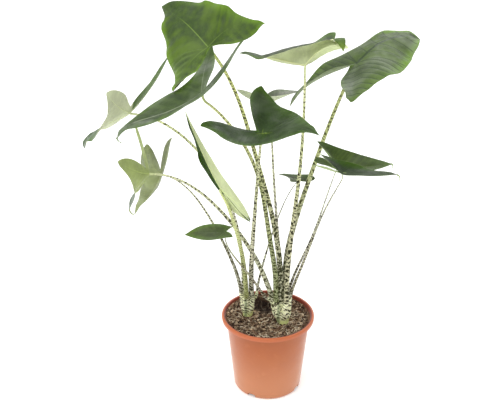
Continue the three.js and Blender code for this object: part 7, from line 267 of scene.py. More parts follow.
        1751,-1052,5350,1915,-1108,5379,1862,-1120,5362,1807,-1134,5349,1754,-1150,5338,1700,-1167,5328,1646,-1185,5321,1591,-1203,5315,1537,-1220,5311,1482,-1235,5310,1425,-1246,5309,1369,-1255,5312,1312,-1260,5316,1255,-1260,5326,1199,-1260,5340,1145,-1253,5357,1091,-1254,5378,1038,-1256,5399,986,-1259,5422,934,-1261,5446,885,-1260,5475,839,-1253,5507,848,-1224,5515,864,-1194,5510,884,-1163,5503,905,-1132,5490,929,-1100,5474,955,-1068,5454,983,-1035,5431,1016,-1003,5404,1053,-976,5374,
        1096,-955,5342,1141,-938,5313,1114,-891,5370,1085,-840,5410,1055,-786,5436,1026,-732,5453,1002,-678,5464,979,-627,5471,961,-578,5475,948,-530,5477,939,-486,5476,935,-444,5474,943,-410,5462,997,-430,5449,1049,-458,5436,1100,-489,5423,1149,-522,5413,1198,-557,5406,1247,-593,5401,1296,-628,5396,1347,-659,5392,1396,-694,5388,1445,-730,5385,1493,-766,5382,1541,-804,5380,1586,-843,5380,1631,-884,5379,1676,-924,5379,1722,-963,5379,1769,-1001,5378,1817,-1039,5378,
        1865,-1074,5378,2028,-1135,5403,1966,-1149,5384,1904,-1164,5366,1842,-1183,5353,1780,-1202,5342,1718,-1222,5334,1655,-1242,5329,1592,-1262,5325,1528,-1278,5325,1463,-1291,5326,1398,-1300,5327,1333,-1306,5333,1268,-1306,5343,1204,-1305,5361,1142,-1297,5380,1081,-1299,5406,1020,-1301,5429,958,-1307,5451,897,-1309,5476,837,-1310,5502,784,-1301,5538,796,-1269,5550,817,-1234,5550,840,-1198,5541,867,-1161,5530,894,-1124,5511,924,-1085,5488,956,-1047,5461,990,-1011,5427,1033,-980,5392,
        1083,-956,5354,1135,-936,5321,1104,-881,5387,1072,-823,5434,1035,-761,5463,1001,-698,5482,969,-637,5493,943,-578,5501,923,-520,5506,908,-466,5508,900,-413,5507,896,-365,5504,905,-326,5487,969,-352,5486,1029,-386,5473,1087,-422,5461,1144,-460,5450,1200,-501,5441,1255,-543,5436,1311,-584,5430,1371,-619,5424,1428,-659,5419,1484,-699,5415,1540,-741,5411,1594,-784,5409,1647,-829,5408,1699,-876,5409,1751,-923,5409,1804,-968,5409,1858,-1012,5409,1914,-1054,5407,
        1970,-1095,5406,2130,-1160,5424,2062,-1176,5403,1992,-1193,5383,1923,-1213,5367,1853,-1234,5356,1783,-1256,5348,1713,-1278,5343,1642,-1300,5340,1571,-1317,5340,1498,-1331,5343,1425,-1341,5345,1353,-1347,5351,1281,-1347,5363,1210,-1346,5381,1141,-1336,5404,1073,-1338,5432,1003,-1342,5456,933,-1350,5479,860,-1355,5496,791,-1356,5523,733,-1345,5563,749,-1311,5582,773,-1272,5583,800,-1231,5577,830,-1189,5564,864,-1146,5546,897,-1103,5521,931,-1059,5488,970,-1019,5450,1016,-984,5408,
        1072,-957,5365,1130,-935,5328,1096,-873,5403,1058,-807,5455,1017,-738,5488,975,-669,5507,939,-600,5519,911,-533,5528,889,-468,5534,875,-405,5537,866,-346,5536,861,-291,5528,871,-248,5508,943,-277,5509,1010,-320,5509,1076,-362,5496,1140,-405,5484,1202,-451,5476,1263,-499,5470,1326,-545,5463,1393,-583,5455,1456,-628,5448,1519,-672,5443,1582,-718,5438,1644,-766,5435,1702,-817,5436,1760,-870,5437,1818,-922,5438,1878,-973,5439,1939,-1021,5438,2002,-1069,5436,
        2065,-1115,5428,
    ],
    "right_lower": [
        1161,-1900,5564,1253,-1916,5568,1246,-1918,5568,1239,-1921,5569,1232,-1924,5569,1225,-1926,5570,1218,-1929,5570,1211,-1932,5571,1204,-1934,5571,1197,-1936,5572,1189,-1937,5573,1182,-1938,5573,1175,-1939,5574,1167,-1939,5575,1160,-1938,5576,1152,-1937,5578,1145,-1937,5579,1138,-1936,5581,1131,-1936,5583,1123,-1935,5585,1116,-1935,5587,1109,-1933,5588,1110,-1929,5587,1112,-1926,5586,1115,-1923,5584,1118,-1919,5582,1121,-1916,5580,1125,-1912,5578,1130,-1909,5576,1135,-1906,5574,1141,-1903,5571,
        1147,-1900,5569,1154,-1898,5567,1149,-1894,5569,1145,-1889,5572,1141,-1883,5574,1138,-1878,5576,1136,-1873,5577,1134,-1868,5578,1132,-1863,5579,1131,-1858,5580,1130,-1854,5580,1130,-1849,5580,1130,-1846,5580,1137,-1847,5577,1143,-1850,5574,1149,-1853,5572,1156,-1856,5570,1162,-1858,5568,1169,-1861,5566,1175,-1863,5565,1182,-1866,5564,1189,-1868,5563,1196,-1872,5562,1202,-1875,5562,1208,-1879,5562,1214,-1883,5562,1220,-1888,5563,1225,-1893,5564,1231,-1898,5564,1236,-1902,5565,1242,-1907,5566,
        1247,-1912,5567,1364,-1936,5573,1349,-1941,5574,1333,-1946,5575,1318,-1952,5576,1302,-1958,5577,1287,-1964,5578,1271,-1970,5579,1256,-1975,5580,1240,-1979,5582,1224,-1982,5583,1207,-1985,5584,1191,-1986,5586,1175,-1985,5588,1158,-1985,5591,1142,-1982,5594,1126,-1981,5598,1110,-1980,5602,1095,-1979,5606,1079,-1978,5610,1063,-1976,5614,1047,-1972,5618,1049,-1965,5615,1053,-1957,5611,1059,-1950,5608,1066,-1942,5603,1074,-1935,5599,1083,-1927,5595,1093,-1919,5590,1104,-1912,5585,1117,-1905,5580,
        1131,-1900,5575,1146,-1897,5570,1135,-1886,5576,1126,-1875,5582,1118,-1864,5587,1112,-1852,5590,1107,-1840,5593,1102,-1829,5596,1099,-1818,5598,1096,-1808,5599,1093,-1798,5600,1092,-1789,5600,1094,-1781,5599,1108,-1785,5593,1121,-1790,5587,1135,-1796,5582,1149,-1802,5577,1164,-1809,5573,1178,-1815,5569,1193,-1819,5566,1208,-1825,5564,1223,-1831,5562,1237,-1838,5561,1252,-1845,5560,1265,-1854,5560,1278,-1864,5561,1291,-1874,5562,1303,-1884,5563,1315,-1895,5565,1327,-1905,5567,1339,-1916,5569,
        1352,-1926,5571,1494,-1958,5581,1468,-1967,5582,1443,-1976,5584,1418,-1986,5585,1392,-1995,5587,1367,-2005,5588,1342,-2014,5590,1316,-2023,5592,1290,-2030,5594,1264,-2035,5596,1237,-2038,5598,1210,-2040,5600,1183,-2040,5603,1157,-2038,5608,1130,-2034,5613,1104,-2033,5620,1078,-2031,5627,1053,-2029,5634,1027,-2026,5641,1001,-2024,5648,975,-2018,5653,978,-2005,5648,985,-1993,5642,995,-1981,5636,1006,-1969,5629,1019,-1956,5622,1033,-1944,5614,1049,-1931,5606,1067,-1919,5598,1088,-1909,5590,
        1111,-1901,5582,1137,-1894,5574,1120,-1878,5585,1104,-1860,5594,1091,-1841,5602,1081,-1821,5608,1073,-1802,5613,1065,-1784,5617,1059,-1766,5620,1054,-1749,5622,1050,-1733,5623,1048,-1719,5624,1051,-1706,5622,1074,-1711,5611,1096,-1721,5602,1119,-1731,5593,1142,-1741,5586,1165,-1750,5579,1189,-1760,5573,1214,-1767,5569,1238,-1777,5565,1263,-1787,5563,1286,-1798,5561,1309,-1811,5559,1332,-1825,5559,1353,-1840,5560,1373,-1857,5562,1393,-1874,5564,1413,-1891,5567,1433,-1908,5570,1453,-1925,5574,
        1473,-1942,5578,1623,-1980,5591,1588,-1992,5592,1552,-2005,5594,1517,-2019,5595,1482,-2032,5597,1447,-2045,5600,1412,-2058,5602,1376,-2070,5605,1340,-2080,5607,1304,-2087,5609,1266,-2092,5612,1229,-2095,5615,1192,-2094,5619,1155,-2092,5625,1119,-2086,5633,1083,-2084,5644,1047,-2080,5655,1012,-2077,5665,976,-2074,5675,939,-2070,5684,904,-2062,5690,907,-2045,5683,918,-2029,5675,930,-2012,5665,946,-1995,5656,964,-1978,5645,984,-1961,5634,1006,-1943,5623,1031,-1927,5611,1060,-1912,5599,
        1092,-1901,5588,1128,-1892,5578,1104,-1869,5593,1082,-1845,5607,1065,-1818,5618,1050,-1791,5626,1038,-1764,5632,1028,-1739,5637,1019,-1714,5641,1012,-1691,5644,1007,-1669,5646,1003,-1648,5646,1007,-1630,5643,1039,-1638,5629,1070,-1651,5616,1102,-1665,5604,1134,-1679,5594,1167,-1692,5586,1200,-1706,5579,1235,-1716,5574,1269,-1729,5569,1303,-1743,5565,1335,-1758,5561,1367,-1776,5559,1398,-1796,5558,1428,-1817,5559,1456,-1840,5561,1484,-1864,5565,1512,-1887,5570,1539,-1911,5575,1567,-1935,5580,
        1595,-1958,5586,1753,-2002,5600,1707,-2017,5602,1662,-2034,5604,1617,-2052,5606,1572,-2069,5608,1527,-2086,5611,1482,-2102,5614,1437,-2117,5618,1391,-2129,5622,1344,-2139,5625,1296,-2145,5628,1248,-2149,5631,1201,-2149,5634,1153,-2146,5642,1108,-2138,5654,1063,-2133,5671,1018,-2129,5686,972,-2125,5700,926,-2121,5712,879,-2116,5722,834,-2107,5729,837,-2084,5720,850,-2063,5709,867,-2042,5697,886,-2020,5683,909,-1999,5670,934,-1977,5655,963,-1955,5640,994,-1934,5624,1031,-1915,5609,
        1072,-1901,5595,1118,-1890,5581,1088,-1861,5602,1061,-1830,5620,1038,-1796,5634,1019,-1761,5644,1004,-1727,5652,990,-1694,5658,978,-1663,5662,969,-1633,5665,962,-1605,5666,958,-1578,5666,962,-1555,5662,1004,-1565,5645,1044,-1581,5629,1085,-1599,5615,1127,-1617,5604,1169,-1635,5595,1212,-1652,5588,1257,-1665,5582,1300,-1682,5576,1343,-1699,5570,1385,-1719,5564,1425,-1742,5559,1465,-1767,5556,1502,-1794,5557,1539,-1823,5561,1574,-1853,5566,1610,-1883,5573,1645,-1913,5580,1680,-1943,5587,
        1716,-1973,5594,1872,-2022,5608,1818,-2041,5611,1763,-2061,5612,1710,-2082,5615,1656,-2103,5617,1602,-2123,5621,1548,-2143,5625,1493,-2160,5630,1438,-2175,5635,1381,-2186,5640,1324,-2194,5644,1266,-2199,5647,1209,-2198,5650,1152,-2196,5658,1098,-2185,5676,1045,-2179,5698,992,-2172,5719,937,-2167,5736,881,-2162,5751,825,-2157,5763,769,-2147,5768,773,-2120,5756,789,-2095,5742,808,-2069,5727,831,-2043,5711,858,-2017,5693,889,-1991,5675,922,-1965,5655,961,-1940,5636,1005,-1918,5618,
        1055,-1901,5601,1110,-1888,5585,1073,-1853,5610,1041,-1816,5632,1013,-1775,5649,990,-1733,5661,971,-1692,5669,954,-1653,5675,939,-1615,5680,928,-1579,5682,919,-1545,5683,914,-1514,5682,919,-1486,5676,969,-1498,5657,1020,-1517,5640,1070,-1538,5624,1120,-1559,5613,1172,-1581,5605,1223,-1603,5599,1277,-1619,5593,1329,-1639,5585,1380,-1659,5577,1431,-1683,5567,1479,-1710,5558,1526,-1740,5553,1572,-1773,5554,1615,-1808,5558,1658,-1844,5567,1701,-1879,5575,1743,-1915,5585,1785,-1952,5594,
        1828,-1987,5601,1982,-2042,5605,1919,-2064,5609,1857,-2087,5614,1795,-2111,5617,1733,-2135,5622,1671,-2158,5627,1608,-2180,5633,1545,-2201,5640,1481,-2218,5648,1416,-2230,5655,1350,-2238,5661,1283,-2244,5664,1216,-2245,5665,1150,-2242,5674,1089,-2228,5697,1029,-2220,5725,968,-2211,5751,905,-2204,5772,841,-2199,5789,775,-2195,5799,710,-2184,5804,714,-2153,5790,732,-2124,5773,754,-2094,5756,781,-2064,5737,812,-2034,5717,846,-2004,5694,885,-1974,5671,929,-1946,5648,980,-1921,5626,
        1038,-1901,5606,1102,-1887,5588,1060,-1846,5618,1022,-1802,5643,991,-1756,5663,964,-1708,5676,940,-1661,5684,919,-1615,5691,902,-1572,5694,889,-1530,5697,879,-1491,5696,872,-1454,5694,877,-1422,5685,938,-1435,5668,997,-1457,5649,1055,-1481,5633,1114,-1506,5621,1174,-1532,5616,1233,-1558,5611,1295,-1576,5603,1355,-1599,5595,1415,-1623,5585,1473,-1650,5570,1529,-1680,5557,1584,-1715,5550,1636,-1753,5551,1686,-1794,5558,1736,-1835,5568,1785,-1876,5580,1834,-1917,5591,1882,-1960,5600,
        1932,-2000,5609,2080,-2060,5593,2013,-2084,5608,1943,-2110,5614,1874,-2137,5619,1804,-2164,5625,1734,-2190,5632,1664,-2215,5640,1593,-2238,5649,1521,-2257,5659,1447,-2269,5669,1373,-2279,5676,1298,-2285,5679,1223,-2286,5681,1149,-2284,5688,1082,-2267,5717,1015,-2257,5751,948,-2245,5782,877,-2237,5807,804,-2232,5824,729,-2228,5835,657,-2217,5839,660,-2184,5820,680,-2151,5801,705,-2118,5781,735,-2083,5761,770,-2049,5738,809,-2015,5713,852,-1982,5686,901,-1951,5659,958,-1923,5633,
        1023,-1901,5611,1095,-1885,5591,1047,-1839,5624,1005,-1791,5653,970,-1738,5675,938,-1685,5689,911,-1632,5698,887,-1581,5703,868,-1532,5707,852,-1485,5708,841,-1441,5707,833,-1400,5702,839,-1364,5690,907,-1378,5672,976,-1402,5657,1042,-1429,5640,1108,-1458,5628,1176,-1487,5625,1242,-1517,5622,1312,-1537,5613,1380,-1563,5604,1447,-1590,5592,1512,-1619,5575,1574,-1653,5555,1636,-1692,5547,1695,-1735,5549,1752,-1781,5557,1807,-1827,5570,1862,-1873,5583,1917,-1920,5595,1971,-1968,5604,
        2025,-2014,5598,
    ],
    "small_rear": [
        622,1200,4109,583,1247,4105,587,1245,4105,591,1243,4105,595,1242,4105,599,1240,4105,603,1239,4106,608,1237,4106,612,1236,4107,616,1234,4107,620,1232,4108,624,1231,4109,628,1228,4109,631,1226,4110,635,1223,4111,638,1220,4112,641,1217,4112,644,1214,4112,648,1212,4112,652,1210,4112,656,1207,4112,659,1205,4111,658,1203,4111,656,1201,4110,654,1200,4110,651,1199,4109,648,1197,4109,645,1196,4109,641,1195,4108,637,1195,4108,633,1195,4108,
        629,1195,4109,625,1197,4109,624,1192,4110,624,1188,4110,622,1185,4111,621,1181,4113,619,1179,4114,616,1176,4115,614,1174,4116,612,1172,4117,610,1171,4118,608,1170,4119,606,1169,4119,605,1173,4119,604,1177,4119,604,1182,4118,603,1186,4118,601,1189,4117,599,1193,4117,597,1197,4117,595,1200,4116,594,1204,4115,592,1208,4114,591,1212,4113,590,1216,4112,590,1220,4111,589,1223,4110,588,1227,4109,587,1231,4108,586,1235,4107,585,1239,4106,
        584,1243,4105,536,1303,4099,545,1299,4099,554,1295,4099,563,1291,4100,572,1288,4100,581,1285,4101,591,1281,4102,600,1278,4103,609,1275,4104,618,1271,4106,626,1267,4108,635,1263,4110,643,1257,4112,650,1251,4113,657,1244,4115,664,1238,4116,672,1232,4116,680,1226,4116,688,1221,4116,697,1216,4115,704,1211,4114,702,1206,4112,697,1203,4111,692,1200,4110,686,1197,4109,680,1195,4108,672,1192,4107,664,1190,4107,656,1189,4107,647,1189,4107,
        638,1190,4108,628,1193,4109,627,1183,4110,626,1174,4112,623,1166,4114,619,1159,4117,614,1153,4119,610,1148,4121,605,1143,4124,601,1139,4126,596,1136,4128,591,1133,4130,587,1133,4132,585,1141,4131,583,1151,4130,582,1160,4129,580,1168,4128,577,1177,4127,572,1185,4127,567,1193,4126,563,1201,4125,560,1209,4123,557,1217,4121,555,1226,4118,553,1234,4116,551,1243,4113,549,1252,4111,548,1260,4108,546,1269,4106,544,1277,4104,542,1286,4102,
        539,1295,4100,482,1369,4092,497,1362,4093,511,1355,4093,526,1350,4094,541,1344,4095,556,1338,4096,571,1333,4098,586,1328,4100,601,1323,4102,615,1317,4105,629,1310,4108,643,1302,4111,656,1294,4114,668,1284,4117,679,1273,4120,690,1261,4121,703,1252,4123,716,1243,4122,730,1235,4122,744,1227,4120,757,1218,4117,753,1211,4114,745,1206,4112,737,1201,4110,727,1196,4108,716,1192,4107,705,1188,4106,692,1185,4105,678,1182,4104,663,1182,4105,
        648,1183,4106,632,1188,4108,631,1172,4111,628,1158,4114,623,1145,4117,616,1133,4121,609,1123,4126,602,1114,4129,594,1107,4133,587,1100,4137,579,1095,4140,572,1091,4144,564,1090,4147,561,1105,4146,559,1119,4144,557,1134,4143,553,1149,4141,548,1163,4140,540,1175,4139,533,1188,4138,526,1201,4136,521,1215,4133,516,1229,4129,512,1242,4125,509,1256,4121,506,1270,4116,503,1284,4112,501,1298,4108,498,1313,4104,494,1327,4101,491,1341,4098,
        487,1355,4095,428,1434,4086,448,1425,4087,468,1416,4088,488,1408,4089,509,1400,4090,530,1392,4092,551,1385,4094,572,1378,4096,592,1371,4100,613,1362,4103,632,1353,4108,651,1342,4113,669,1330,4118,686,1316,4123,701,1301,4127,716,1285,4130,734,1271,4132,752,1259,4132,772,1248,4131,791,1238,4128,808,1226,4121,803,1217,4116,793,1209,4113,781,1202,4110,768,1196,4107,753,1189,4105,737,1184,4104,719,1179,4102,700,1176,4102,679,1175,4103,
        658,1177,4105,635,1183,4108,634,1162,4111,630,1141,4116,623,1123,4121,614,1107,4126,604,1093,4132,593,1081,4138,583,1071,4143,572,1062,4148,562,1054,4153,551,1049,4157,541,1048,4161,537,1068,4161,535,1089,4159,532,1109,4157,527,1129,4155,520,1149,4154,509,1166,4153,499,1184,4151,490,1203,4148,483,1221,4144,476,1240,4139,470,1259,4133,465,1279,4126,461,1298,4120,458,1317,4114,454,1337,4108,449,1356,4103,445,1376,4098,440,1395,4094,
        434,1415,4089,372,1499,4078,398,1487,4079,424,1475,4082,450,1465,4083,477,1455,4085,503,1446,4087,530,1437,4090,557,1428,4094,584,1418,4097,610,1407,4102,635,1395,4108,660,1382,4114,683,1366,4121,704,1348,4128,723,1328,4135,742,1308,4140,764,1290,4144,788,1275,4144,813,1261,4141,838,1250,4134,860,1236,4124,854,1224,4117,841,1214,4112,826,1205,4108,809,1196,4105,790,1188,4102,769,1181,4101,746,1175,4099,722,1170,4099,695,1168,4100,
        668,1171,4103,639,1178,4107,637,1151,4112,632,1125,4117,622,1102,4124,611,1081,4131,598,1064,4139,585,1048,4146,571,1035,4153,557,1023,4159,544,1014,4165,530,1007,4171,517,1006,4176,513,1031,4176,510,1058,4174,507,1084,4172,501,1110,4170,492,1135,4168,478,1158,4168,466,1181,4165,454,1204,4162,444,1228,4156,436,1252,4149,428,1276,4141,422,1301,4133,417,1325,4124,412,1350,4116,407,1375,4109,401,1400,4102,395,1425,4095,389,1450,4089,
        381,1474,4083,320,1557,4065,351,1544,4074,382,1531,4077,414,1519,4080,446,1507,4082,479,1496,4085,511,1485,4088,544,1474,4091,576,1463,4096,608,1449,4101,639,1435,4107,668,1418,4115,696,1400,4124,721,1378,4133,744,1354,4142,766,1329,4150,792,1307,4156,821,1288,4157,851,1273,4152,881,1259,4144,907,1248,4124,900,1233,4115,885,1221,4109,867,1209,4104,847,1198,4100,824,1188,4098,799,1179,4096,771,1171,4096,742,1165,4096,710,1162,4098,
        677,1165,4102,642,1174,4107,640,1141,4112,633,1110,4119,622,1082,4127,608,1057,4136,592,1036,4145,576,1017,4153,560,1001,4162,543,987,4169,526,976,4176,510,968,4182,494,967,4188,489,998,4189,487,1030,4189,484,1061,4186,477,1092,4184,466,1122,4181,449,1149,4181,434,1177,4178,420,1206,4174,409,1234,4167,398,1263,4158,389,1292,4149,381,1321,4138,375,1351,4128,369,1380,4118,362,1410,4108,356,1440,4099,348,1469,4089,340,1499,4081,
        330,1528,4072,272,1609,4050,307,1595,4061,343,1582,4074,380,1568,4078,418,1555,4081,456,1542,4084,494,1529,4087,532,1517,4090,569,1503,4095,606,1488,4100,642,1471,4106,676,1452,4115,708,1431,4125,737,1405,4136,763,1378,4148,789,1349,4159,818,1323,4168,851,1301,4170,886,1283,4165,920,1274,4145,949,1262,4122,940,1246,4110,924,1230,4104,904,1216,4098,881,1202,4094,855,1190,4092,826,1178,4092,795,1168,4091,761,1160,4093,724,1157,4096,
        686,1160,4100,646,1170,4106,643,1132,4112,635,1095,4120,622,1063,4130,605,1035,4141,587,1011,4151,568,989,4160,549,970,4169,529,954,4177,509,942,4184,490,932,4191,471,931,4197,467,967,4201,465,1004,4201,462,1040,4200,454,1076,4196,442,1110,4193,422,1141,4192,405,1174,4190,389,1206,4185,376,1240,4178,364,1273,4167,353,1307,4156,344,1340,4144,336,1374,4132,329,1408,4121,322,1443,4109,313,1476,4095,304,1509,4084,295,1542,4070,
        283,1576,4060,229,1653,4026,265,1642,4054,306,1627,4069,349,1613,4081,392,1598,4084,435,1584,4085,478,1570,4087,521,1556,4090,563,1541,4094,604,1524,4099,644,1505,4106,683,1483,4114,719,1459,4126,752,1431,4139,781,1399,4153,809,1367,4167,842,1338,4179,879,1311,4183,919,1296,4170,957,1285,4147,983,1282,4111,976,1261,4104,958,1244,4097,938,1224,4091,912,1208,4087,883,1192,4085,851,1178,4085,816,1165,4088,778,1156,4090,737,1151,4094,
        694,1155,4099,649,1167,4106,645,1123,4112,637,1083,4122,622,1046,4133,603,1015,4145,582,988,4156,561,963,4166,539,942,4175,516,924,4184,494,910,4192,471,900,4199,449,899,4205,444,939,4209,445,980,4212,442,1021,4211,433,1060,4206,419,1099,4202,398,1134,4202,378,1170,4200,360,1207,4196,346,1245,4187,332,1282,4175,320,1320,4163,310,1358,4150,301,1396,4137,293,1434,4123,284,1471,4107,274,1509,4092,263,1544,4072,253,1580,4055,
        241,1616,4039,
    ],
}
